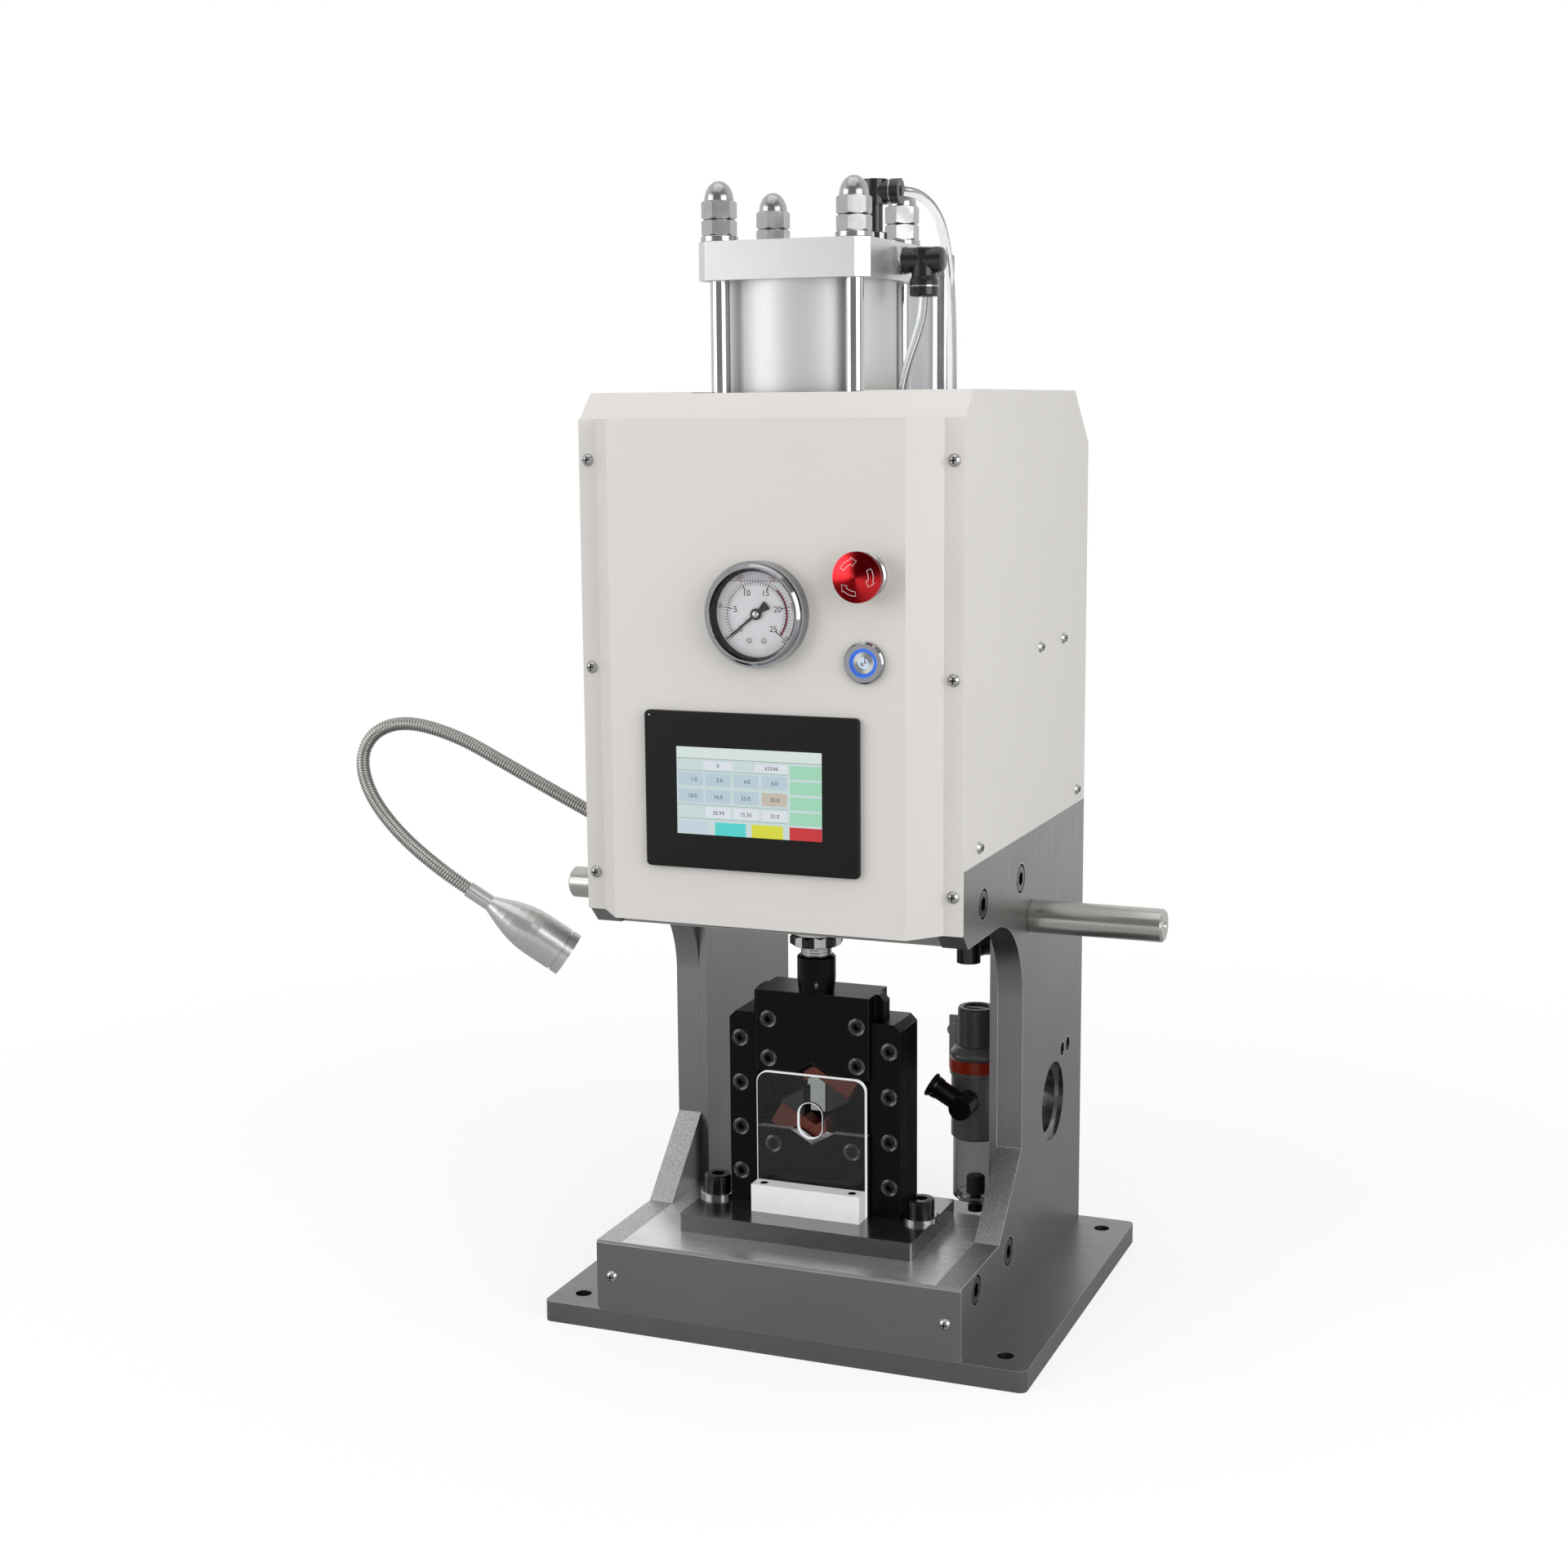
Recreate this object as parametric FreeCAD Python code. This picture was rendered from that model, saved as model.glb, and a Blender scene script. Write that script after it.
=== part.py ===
import FreeCAD
import Part
import math
import os

# Terminal crimping machine, in millimetres. X runs to the right, Y to the back and Z up.
# The origin is the centre of the base plate's bolt pattern, on its underside.

# Base plate
BASE_WIDTH = 332.0
BASE_DEPTH = 286.0
BASE_THICKNESS = 14.0
BASE_CORNER_RADIUS = 5.0
BASE_HOLE_RADIUS = 5.5
BASE_HOLE_INSET_X = 19.0
BASE_HOLE_INSET_Y = 21.0

# Frame of two arched side plates, posts behind the arch, a bed and a head
FRAME_INSET = 41.0
FRAME_BACK_INSET = 2.0
FRAME_HEIGHT = 310.5
SIDE_THICKNESS = 17.0
POST_THICKNESS = 5.7
THROAT_DEPTH = 131.0
BED_HEIGHT = 48.2
HEAD_HEIGHT = 50.0
HEAD_SETBACK = 13.0
HEAD_TAIL = 32.0
SLOPE_DEPTH = 50.5
SLOPE_HEIGHT = 49.8
ARCH_RADIUS = 60.0
NOSE_CHAMFER = 10.5
PORT_SETBACK = 75.5
PORT_HEIGHT = 122.9
PORT_RADIUS = 28.0
PORT_STEP = 5.0
SMALL_PORT_RADIUS = 5.5
SMALL_PORT_HEIGHT = 154.0
SMALL_PORT_SETBACKS = (36.7, 51.5)

# M12 socket screws of the frame and the die
BIG_SCREW_RADIUS = 6.0
BIG_HEAD_RADIUS = 9.0
BIG_HEAD_HEIGHT = 12.0
BIG_SCREW_GRIP = 20.0
COUNTERBORE_CLEARANCE = 1.0
TOP_SCREW_SETBACKS = (40.5, 123.7)
LOW_SCREW_SETBACKS = (30.2, 102.3)
TOP_SCREW_RISE = 22.3
LOW_SCREW_DROP = 11.6

# Sheet cover in front of the foot
FOOT_SHEET = 2.0
FOOT_BOTTOM_GAP = 0.5
FOOT_EDGE_BEVEL = 1.4
FOOT_CORNER_RADIUS = 4.0

# Pan-head screws of the sheet-metal parts
PAN_SCREW_RADIUS = 2.0
PAN_HEAD_RADIUS = 4.0
PAN_HEAD_HEIGHT = 2.6
PAN_SCREW_LENGTH = 7.0
FOOT_SCREW_INSET = 10.5
FOOT_SCREW_HEIGHT = 38.4
PANEL_SCREW_INSET = 6.0
PANEL_SCREW_HEIGHTS = (309.0, 440.0, 569.0)
SHELL_SCREWS = ((31.2, 333.9), (262.7, 334.3), (165.5, 443.9), (222.9, 444.4))

# Support bars on both sides of the head
BAR_RADIUS = 11.0
BAR_LENGTH = 89.0
BAR_SETBACK = 152.0
BAR_HEIGHT = 266.3
BAR_CHAMFER = 1.5
BAR_GROOVE_WIDTH = 1.2
BAR_GROOVE_DEPTH = 0.8
BAR_SPIGOT_RADIUS = 7.0
BAR_FLAT_LENGTH = 20.0
BAR_FLAT_DEPTH = 1.2
BAR_CENTRE_HOLE_RADIUS = 3.0
BAR_CENTRE_HOLE_DEPTH = 5.0

# Sheet-metal case
SHELL_SHEET = 1.5
SHELL_HEIGHT = 285.5
SHELL_FRONT_CHAMFER_DEPTH = 15.2
SHELL_FRONT_CHAMFER_HEIGHT = 16.0
SHELL_REAR_CHAMFER_DEPTH = 37.5
SHELL_REAR_CHAMFER_HEIGHT = 35.5
SHELL_LIP = 15.0
SHELL_OPENING = 127.0
SHELL_OPENING_RADIUS = 10.0
PANEL_SHEET = 2.5
PANEL_BOTTOM = 285.0
PANEL_RAISE = 20.5
TRAY_FLANGE_INSET = 12.0
TRAY_FACE_INSET = 29.0

# Operator terminal
TERMINAL_CENTRE_X = -2.0
TERMINAL_CENTRE_Z = 369.5
TERMINAL_WIDTH = 140.0
TERMINAL_HEIGHT = 97.0
TERMINAL_BEZEL = 4.5
TERMINAL_BODY_INSET = 7.0
TERMINAL_BODY_DEPTH = 26.0
TERMINAL_CORNER_RADIUS = 3.0
TERMINAL_EDGE_BEVEL = 1.0
SCREEN_WIDTH = 95.0
SCREEN_HEIGHT = 53.9
SCREEN_OFFSET_X = -0.9
SCREEN_RECESS = 1.0
SCREEN_THICKNESS = 0.6
CUTOUT_CLEARANCE = 0.2

# Pressure gauge
GAUGE_X = 3.6
GAUGE_Z = 478.5
GAUGE_BEZEL_RADIUS = 32.0
GAUGE_BEZEL_PROUD = 12.0
GAUGE_BEZEL_STEP = 1.6
GAUGE_BODY_RADIUS = 29.5
GAUGE_BODY_DEPTH = 24.0
GAUGE_DIAL_RADIUS = 27.0
GAUGE_DIAL_DEPTH = 8.0
GAUGE_STEM_RADIUS = 7.0
GAUGE_STEM_LENGTH = 9.0
NEEDLE_ANGLE = 218.7
NEEDLE_LENGTH = 24.6
NEEDLE_TAIL = 9.2
NEEDLE_TAIL_HALF_WIDTH = 1.6
NEEDLE_WAIST = 2.5
NEEDLE_WAIST_HALF_WIDTH = 0.8
NEEDLE_TIP_HALF_WIDTH = 0.3
NEEDLE_HUB_RADIUS = 3.4
NEEDLE_THICKNESS = 0.8
NEEDLE_LIFT = 0.9
NEEDLE_PIN_RADIUS = 1.0
NEEDLE_CLEARANCE = 0.05

# Push buttons
BUTTON_BODY_RADIUS = 11.0
BUTTON_BODY_DEPTH = 24.0
BUTTON_NUT_RADIUS = 15.0
BUTTON_NUT_HEIGHT = 4.0
STOP_INSET = 53.6
STOP_Z = 502.5
STOP_COLLAR_RADIUS = 13.5
STOP_COLLAR_HEIGHT = 4.0
STOP_STEM_RADIUS = 7.0
STOP_HEAD_RADIUS = 15.0
STOP_HEAD_GAP = 6.5
STOP_HEAD_HEIGHT = 8.5
STOP_HEAD_DOME = 3.0
STOP_HEAD_BEVEL = 2.0
STOP_POST_RADIUS = 4.0
STOP_STEM_DEPTH = 14.0
POWER_INSET = 54.0
POWER_Z = 451.2
POWER_FLANGE_RADIUS = 12.5
POWER_FLANGE_HEIGHT = 4.0
POWER_CAP_RADIUS = 8.2
POWER_CAP_RECESS = 0.8
POWER_CAP_HEIGHT = 6.0
POWER_WELL_DEPTH = 11.0
BUTTON_CLEARANCE = 0.1

# Air cylinder above the head, on the ram's axis
RAM_SETBACK = 78.0
CYLINDER_SIDE = 112.0
CYLINDER_CORNER_CHAMFER = 7.5
CYLINDER_CAP_HEIGHT = 30.0
CYLINDER_TOP_HEIGHT = 23.5
BARREL_LENGTH = 322.5
BARREL_RADIUS = 52.5
BARREL_BORE_RADIUS = 50.0
TIE_ROD_RADIUS = 6.0
TIE_ROD_OFFSET = 44.0
TIE_ROD_GRIP = 25.0
TIE_ROD_END = 27.0
WASHER_HEIGHT = 3.4
WASHER_RADIUS = 11.5
NUT_FLATS = 19.0
NUT_HEIGHT = 10.0
ACORN_HEX_HEIGHT = 11.2
ACORN_DOME_RADIUS = 9.25
ACORN_DOME_HEIGHT = 12.3

# Ram, from the piston down to the slider
PISTON_HEIGHT = 28.0
PISTON_REST_GAP = 8.0
RAM_RADIUS = 15.0
RAM_STROKE = 31.5
RAM_CLEARANCE = 0.05
RAM_NUT_TOP = 261.0
RAM_NUT_HEIGHT = 7.6
RAM_NUT_FLATS = 30.0
RAM_THREAD_RADIUS = 9.9
COUPLING_RADIUS = 12.65
COUPLING_NECK_RADIUS = 11.6
COUPLING_HEIGHT = 24.8
COUPLING_THREAD_DEPTH = 15.0
COUPLING_SPIGOT_RADIUS = 7.0
COUPLING_SPIGOT_LENGTH = 12.0
COUPLING_PIN_HOLE_RADIUS = 2.2
COUPLING_PIN_HOLE_HEIGHT = 6.6
COUPLING_PIN_ANGLES = (20.0, 110.0)
COUPLING_CHAMFER = 1.2

# Die set on the bed
DIE_PLATE_LEDGE = 21.0
DIE_PLATE_DEPTH = 90.0
DIE_PLATE_THICKNESS = 12.2
DIE_BOLT_INSET = 8.8
DIE_WASHER_RADIUS = 12.0
DIE_WASHER_HEIGHT = 2.5
GUIDE_HALF_WIDTH = 39.7
GUIDE_WIDTH = 20.3
GUIDE_HEIGHT = 130.8
GUIDE_DEPTH = 25.5
GUIDE_OFFSET_Y = 3.5
GUIDE_CHAMFER = 4.5
EAR_SLOT_WIDTH = 6.6
EAR_SLOT_DEPTH = 10.3
GIB_THICKNESS = 9.5
SLIDE_CLEARANCE = 0.25
SMALL_SCREW_RADIUS = 3.0
SMALL_HEAD_RADIUS = 5.0
SMALL_HEAD_HEIGHT = 6.0
SMALL_SCREW_GRIP = 10.0
SMALL_COUNTERBORE_GAP = 0.3
GIB_SCREW_OFFSET = 52.4
GIB_SCREW_FIRST = 20.8
GIB_SCREW_PITCH = 30.6
GIB_SCREW_COUNT = 4
BLOCK_FRONT_OFFSET = 9.0
BLOCK_REAR_OFFSET = 27.0
LOWER_BLOCK_HEIGHT = 54.6
LOWER_SCREW_OFFSET = 27.7
LOWER_SCREW_DROP = 11.2
SLIDER_BOTTOM = 166.8
SLIDER_HEIGHT = 55.2
SLIDER_CHAMFER = 4.2
SLIDER_SCREW_OFFSET = 31.0
SLIDER_SCREW_RISES = (9.1, 35.6)

# Six jaws that slide along one another's faces round a hexagon
JAW_SEAT_HEIGHT = 57.2
JAW_THICKNESS = 16.0
JAW_LENGTH = 27.0
JAW_DEPTH = 13.0
JAW_CLOSED_APOTHEM = 1.0
JAW_OPEN_APOTHEM = 8.0
JAW_GAP = 0.12
LIP_THICKNESS = 5.3
LIP_CHAMFER = 2.8
LIP_HALF_WIDTH = 9.8
RELIEF_MARGIN = 1.5

# Clear guard in front of the jaws
GUARD_THICKNESS = 3.0
GUARD_GAP = 0.3
GUARD_HALF_WIDTH = 38.3
GUARD_HEIGHT = 93.1
GUARD_CORNER_RADIUS = 7.5
GUARD_SLOT_X = -0.5
GUARD_SLOT_RISE = 62.4
GUARD_SLOT_WIDTH = 17.0
GUARD_SLOT_HEIGHT = 24.0
CLAMP_HALF_WIDTH = 38.0
CLAMP_DEPTH = 12.0
CLAMP_HEIGHT = 18.6
CLAMP_SCREW_OFFSET = 31.0
CLAMP_SCREW_RADIUS = 1.5
CLAMP_HEAD_RADIUS = 2.75
CLAMP_HEAD_HEIGHT = 3.0

# Air filter and regulator inside the right side plate
REGULATOR_INSET = 32.8
REGULATOR_SETBACK = 77.5
BOWL_BOTTOM = 45.0
BOWL_TOP = 92.0
BOWL_RADIUS = 16.0
BOWL_WALL = 2.0
BODY_TOP = 137.0
BODY_RADIUS = 17.5
BODY_BEVEL = 1.5
BOSS_PROUD = 1.5
RING_HEIGHT = 13.0
RING_RADIUS = 18.5
RING_BEVEL = 1.0
NECK_RADIUS = 9.0
KNOB_RADIUS = 13.0
KNOB_HEIGHT = 32.5
KNOB_RECESS_RADIUS = 9.0
KNOB_RECESS_DEPTH = 2.0
KNOB_GAP = 0.3
KNOB_BEVEL = 1.0
KNOB_FLUTES = 24
KNOB_FLUTE_RADIUS = 0.8
STEM_RADIUS = 4.0
STEM_HEIGHT = 12.0
TURN_CLEARANCE = 0.08
BRACKET_SHEET = 3.0
BRACKET_WALL_GAP = 20.0
BRACKET_HEIGHT = 38.0
BRACKET_LEFT_REACH = 26.5
BRACKET_FLANGE_DEPTH = 30.0
THUMB_RADIUS = 4.5
THUMB_HEIGHT = 8.0
THUMB_STUD_RADIUS = 2.5
THUMB_INSET = 5.5
THUMB_DROP = 8.5
DRAIN_RADIUS = 4.0
DRAIN_HEAD_RADIUS = 5.5
DRAIN_LENGTH = 14.0
DRAIN_TRAVEL = 3.0
DRAIN_GAP = 0.3
DRAIN_LIFT = 1.0
ELBOW_RADIUS = 7.0
ELBOW_HUB_RADIUS = 8.0
ELBOW_COLLAR_RADIUS = 7.6
ELBOW_COLLAR_LENGTH = 5.0
REGULATOR_ELBOW_Z = 122.0
REGULATOR_ELBOW_HUB = 20.0
REGULATOR_ELBOW_ARM = 25.0
REGULATOR_ELBOW_ANGLE = 151.0
HEAD_ELBOW_INSET = 20.3
HEAD_ELBOW_SETBACK = 18.0
HEAD_ELBOW_STEM = 24.5
HEAD_ELBOW_HUB = 18.0
HEAD_ELBOW_ARM = 24.0
HEAD_ELBOW_ANGLE = 70.0
FITTING_HEX_FLATS = 14.0
FITTING_HEX_HEIGHT = 6.0

# Fittings, hoses and oil tank above the case
HOSE_RADIUS = 3.0
HOSE_DEPTH_IN_ELBOW = 6.0
FITTING_STEM_RADIUS = 5.0
HOSE_HOLE_REACH = 31.0
HOSE_HOLE_OFFSET_Y = 26.5
HOSE_HOLE_CLEARANCE = 0.3
SIDE_FITTING_HEX_FLATS = 17.0
SIDE_FITTING_HEX_LENGTH = 5.0
SIDE_ELBOW_REACH = 12.5
SIDE_ELBOW_DROP = 22.0
SIDE_ELBOW_RADIUS = 7.6
SIDE_COLLAR_RADIUS = 9.0
TOP_ELBOW_X = 40.0
TOP_ELBOW_OFFSET_Y = 4.0
TOP_ELBOW_STEM = 23.0
TOP_ELBOW_HEIGHT = 15.0
TOP_ELBOW_ARM = 17.0
TANK_CENTRE_X = 3.0
TANK_WIDTH = 80.0
TANK_GAP = 9.5
TANK_DEPTH = 53.0
TANK_HEIGHT = 68.0
TANK_CORNER_RADIUS = 6.0
TANK_TOP_BEVEL = 2.0
BREATHER_GAP = 9.5
BREATHER_SETBACK = 41.0
BREATHER_STEM_RADIUS = 4.0
BREATHER_STEM_HEIGHT = 74.0
BREATHER_HEX_FLATS = 13.0
BREATHER_HEX_HEIGHT = 14.0
BREATHER_CAP_RADIUS = 5.0
BREATHER_CAP_HEIGHT = 5.0

# Work lamp on a bendable steel neck
LAMP_NECK_RADIUS = 4.4
LAMP_NECK_ROUTE = (
    (43.0, 332.0), (40.0, 349.0), (36.5, 368.5), (33.5, 386.0),
    (29.0, 395.5), (24.5, 389.0), (20.5, 370.5), (10.9, 347.2),
    (1.6, 323.7), (-4.9, 302.0), (1.3, 290.3))
LAMP_NECK_REACH = (
    6.0, 40.0, 78.0, 112.0,
    147.5, 171.0, 180.7, 168.6,
    141.1, 105.1, 89.5)
LAMP_SOCKET_RADIUS = 7.0
LAMP_SOCKET_LENGTH = 8.0
LAMP_FERRULE_RADIUS = 5.2
LAMP_FERRULE_LENGTH = 17.0
LAMP_OGIVE_LENGTH = 36.0
LAMP_BODY_RADIUS = 15.0
LAMP_BODY_LENGTH = 20.0
LAMP_RING_LENGTH = 5.5
LAMP_GROOVE = 1.2
LAMP_MOUTH_RADIUS = 12.5
LAMP_MOUTH_DEPTH = 3.0

# Places that follow from the sizes above
base_top = BASE_THICKNESS
frame_front = -BASE_DEPTH / 2
frame_back = BASE_DEPTH / 2 - FRAME_BACK_INSET
frame_top = base_top + FRAME_HEIGHT
bed_top = base_top + BED_HEIGHT
head_bottom = frame_top - HEAD_HEIGHT
column_front = frame_front + THROAT_DEPTH
side_outer = BASE_WIDTH / 2 - FRAME_INSET
side_inner = side_outer - SIDE_THICKNESS
post_inner = side_inner - POST_THICKNESS
head_elbow_x = post_inner - HEAD_ELBOW_INSET
head_elbow_y = column_front + HEAD_ELBOW_SETBACK
regulator_x = post_inner - REGULATOR_INSET
regulator_y = column_front + REGULATOR_SETBACK
stop_x = side_outer - STOP_INSET
power_x = side_outer - POWER_INSET
ram_y = frame_front + RAM_SETBACK
tank_front = ram_y + BARREL_RADIUS + TANK_GAP
shell_top = frame_top + SHELL_HEIGHT
flange_front = frame_front - PANEL_SHEET
face_front = flange_front - PANEL_RAISE
panel_top = shell_top - SHELL_FRONT_CHAMFER_HEIGHT
cap_top = frame_top + CYLINDER_CAP_HEIGHT
barrel_top = cap_top + BARREL_LENGTH
cylinder_top = barrel_top + CYLINDER_TOP_HEIGHT
die_plate_top = bed_top + DIE_PLATE_THICKNESS
die_plate_half = GUIDE_HALF_WIDTH + GUIDE_WIDTH + DIE_PLATE_LEDGE
die_bolt_x = die_plate_half - DIE_BOLT_INSET
guide_front = ram_y + GUIDE_OFFSET_Y
guide_back = guide_front + GUIDE_DEPTH
guide_top = die_plate_top + GUIDE_HEIGHT
block_front = ram_y - BLOCK_FRONT_OFFSET
block_back = ram_y + BLOCK_REAR_OFFSET
slider_top = SLIDER_BOTTOM + SLIDER_HEIGHT
coupling_top = slider_top + COUPLING_HEIGHT
guard_back = block_front - GUARD_GAP
guard_front = guard_back - GUARD_THICKNESS
regulator_neck = BODY_TOP + RING_HEIGHT
regulator_boss = regulator_y - BODY_RADIUS - BOSS_PROUD
jaw_front = block_front + LIP_THICKNESS + JAW_GAP
jaw_back = jaw_front + JAW_DEPTH
pocket_front = jaw_front - JAW_GAP
pocket_back = jaw_back + JAW_GAP
jaw_seat = die_plate_top + JAW_SEAT_HEIGHT
jaw_tilt = math.radians(30)
jaw_slope = math.tan(jaw_tilt)
jaw_side = JAW_THICKNESS / math.cos(jaw_tilt)
jaw_slide = (JAW_OPEN_APOTHEM - JAW_CLOSED_APOTHEM) / math.cos(jaw_tilt)
closed_height = 2 * JAW_CLOSED_APOTHEM / math.cos(jaw_tilt)
closed_centre = jaw_seat + closed_height / 2


def vector(x, y, z):
    """Return a point or direction."""
    return FreeCAD.Vector(x, y, z)


def box(x_range, y_range, z_range):
    """Return a box between two limits on each axis."""
    size = [limits[1] - limits[0] for limits in (x_range, y_range, z_range)]
    corner = vector(x_range[0], y_range[0], z_range[0])
    return Part.makeBox(size[0], size[1], size[2], corner)


def cylinder(radius, start, end):
    """Return a round bar from one point to another."""
    direction = end.sub(start)
    return Part.makeCylinder(radius, direction.Length, start, direction)


def polygon_face(points):
    """Return a flat face with straight edges through the points."""
    return Part.Face(Part.makePolygon(points + [points[0]]))


def prism_x(outline, x_range):
    """Extrude a (y, z) outline between two x limits."""
    face = polygon_face([vector(x_range[0], y, z) for y, z in outline])
    return face.extrude(vector(x_range[1] - x_range[0], 0, 0))


def prism_y(outline, y_range):
    """Extrude an (x, z) outline between two y limits."""
    face = polygon_face([vector(x, y_range[0], z) for x, z in outline])
    return face.extrude(vector(0, y_range[1] - y_range[0], 0))


def prism_z(outline, z_range):
    """Extrude an (x, y) outline between two z limits."""
    face = polygon_face([vector(x, y, z_range[0]) for x, y in outline])
    return face.extrude(vector(0, 0, z_range[1] - z_range[0]))


def placed(shape, position, direction):
    """Move a shape built along +Z to a position, with +Z turned to a direction."""
    result = shape.copy()
    turn = FreeCAD.Rotation(vector(0, 0, 1), direction)
    result.Placement = FreeCAD.Placement(position, turn)
    return result


def mirrored(shape):
    """Return the shape mirrored from one side of the machine to the other."""
    return shape.mirror(vector(0, 0, 0), vector(1, 0, 0))


def turned(profile):
    """Revolve an outline of (radius, height) points about the Z axis."""
    face = polygon_face([vector(radius, 0, height) for radius, height in profile])
    return face.revolve(vector(0, 0, 0), vector(0, 0, 1), 360)


def hexagon_bar(flats, height):
    """Return a hexagonal bar that stands on the XY plane."""
    radius = flats / math.sqrt(3)
    angles = [math.radians(60 * step) for step in range(6)]
    outline = [(radius * math.cos(a), radius * math.sin(a)) for a in angles]
    return prism_z(outline, (0, height))


def edges_along(shape, axis):
    """Return the straight edges that run along one axis."""
    chosen = []
    for edge in shape.Edges:
        if edge.Curve.TypeId == "Part::GeomLine":
            if abs(abs(edge.tangentAt(edge.FirstParameter).dot(axis)) - 1) < 1e-6:
                chosen.append(edge)
    return chosen


def rounded_block(x_range, y_range, z_range, radius, axis):
    """Return a box whose four edges along an axis are rounded."""
    block = box(x_range, y_range, z_range)
    return block.makeFillet(radius, edges_along(block, axis))


def socket_screw(radius, length, head_radius, head_height):
    """Return a cap screw with its head's underside at z = 0 and its shank below."""
    head = Part.makeCylinder(head_radius, head_height)
    rim = [edge for edge in head.Edges if abs(edge.BoundBox.ZMin - head_height) < 1e-6]
    head = head.makeChamfer(0.08 * head_radius, rim)
    key = hexagon_bar(0.93 * head_radius, 0.55 * head_height)
    key.translate(vector(0, 0, 0.45 * head_height))
    shank = Part.makeCylinder(radius, length, vector(0, 0, -length))
    return head.cut(key).fuse(shank).removeSplitter()


def pan_screw():
    """Return a pan-head screw with a domed head above z = 0 and its shank below."""
    rise = PAN_HEAD_HEIGHT
    sphere_radius = (PAN_HEAD_RADIUS ** 2 + rise ** 2) / (2 * rise)
    ball = Part.makeSphere(sphere_radius, vector(0, 0, rise - sphere_radius))
    head = ball.common(Part.makeCylinder(PAN_HEAD_RADIUS, rise))
    shank = Part.makeCylinder(PAN_SCREW_RADIUS, PAN_SCREW_LENGTH, vector(0, 0, -PAN_SCREW_LENGTH))
    return head.fuse(shank)


def washer(radius, bore, height):
    """Return a flat washer that lies on z = 0."""
    return Part.makeCylinder(radius, height).cut(Part.makeCylinder(bore, height))


def base_plate():
    """Flat ground plate with a hole near each corner."""
    half_width = BASE_WIDTH / 2
    half_depth = BASE_DEPTH / 2
    plate = rounded_block((-half_width, half_width), (-half_depth, half_depth),
                          (0, base_top), BASE_CORNER_RADIUS, vector(0, 0, 1))
    hole_x = half_width - BASE_HOLE_INSET_X
    hole_y = half_depth - BASE_HOLE_INSET_Y
    for x in (-hole_x, hole_x):
        for y in (-hole_y, hole_y):
            hole = cylinder(BASE_HOLE_RADIUS, vector(x, y, 0), vector(x, y, base_top))
            plate = plate.cut(hole)
    return plate


def frame_screw_places():
    """Return the (y, z) places of the screws through each side plate."""
    top = [(frame_front + setback, head_bottom + TOP_SCREW_RISE) for setback in TOP_SCREW_SETBACKS]
    low = [(frame_front + setback, bed_top - LOW_SCREW_DROP) for setback in LOW_SCREW_SETBACKS]
    return top + low


def frame_screw_holes():
    """Return the threaded holes that the frame screws leave in the bed and the head."""
    holes = []
    reach = side_inner - BIG_SCREW_GRIP
    for y, z in frame_screw_places():
        holes.append(cylinder(BIG_SCREW_RADIUS, vector(reach, y, z), vector(side_inner, y, z)))
        holes.append(cylinder(BIG_SCREW_RADIUS, vector(-side_inner, y, z), vector(-reach, y, z)))
    return Part.makeCompound(holes)


def tie_rod_places():
    """Return the (x, y) places of the four tie rods."""
    offsets = (-TIE_ROD_OFFSET, TIE_ROD_OFFSET)
    return [(x, ram_y + y) for y in offsets for x in offsets]


def bed_block():
    """Solid bed between the side plates that carries the die set."""
    bed = box((-side_inner, side_inner), (frame_front, column_front), (base_top, bed_top))
    bed = bed.cut(frame_screw_holes())
    for side in (-1, 1):
        top = vector(side * die_bolt_x, ram_y, bed_top)
        bottom = vector(side * die_bolt_x, ram_y, bed_top - BIG_SCREW_GRIP)
        bed = bed.cut(cylinder(BIG_SCREW_RADIUS, bottom, top))
    return bed


def head_block():
    """Head between the side plates, bored for the ram and threaded for the tie rods."""
    front = frame_front + HEAD_SETBACK
    wide = box((-side_inner, side_inner), (front, column_front), (head_bottom, frame_top))
    tail = box((-post_inner, post_inner), (column_front, column_front + HEAD_TAIL),
               (head_bottom, frame_top))
    head = wide.fuse(tail).removeSplitter()
    head = head.cut(frame_screw_holes())
    bore = RAM_RADIUS + RAM_CLEARANCE
    head = head.cut(cylinder(bore, vector(0, ram_y, head_bottom), vector(0, ram_y, frame_top)))
    for x, y in tie_rod_places():
        bottom = vector(x, y, frame_top - TIE_ROD_GRIP)
        head = head.cut(cylinder(TIE_ROD_RADIUS, bottom, vector(x, y, frame_top)))
    return head


def side_plate_outline():
    """Return the wire of the arched side plate, in its inner plane."""
    x = side_inner
    arch_y = column_front - ARCH_RADIUS
    arch_z = head_bottom - ARCH_RADIUS
    nose_y = frame_front + NOSE_CHAMFER
    middle = ARCH_RADIUS * math.cos(math.radians(45))
    points = [
        vector(x, arch_y, head_bottom), vector(x, nose_y, head_bottom),
        vector(x, frame_front, head_bottom + NOSE_CHAMFER), vector(x, frame_front, frame_top),
        vector(x, frame_back, frame_top), vector(x, frame_back, base_top),
        vector(x, frame_front, base_top), vector(x, frame_front, bed_top),
        vector(x, column_front - SLOPE_DEPTH, bed_top),
        vector(x, column_front, bed_top + SLOPE_HEIGHT), vector(x, column_front, arch_z)]
    edges = [Part.LineSegment(a, b).toShape() for a, b in zip(points, points[1:])]
    crown = Part.Arc(points[-1], vector(x, arch_y + middle, arch_z + middle), points[0])
    return Part.Wire(edges + [crown.toShape()])


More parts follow.
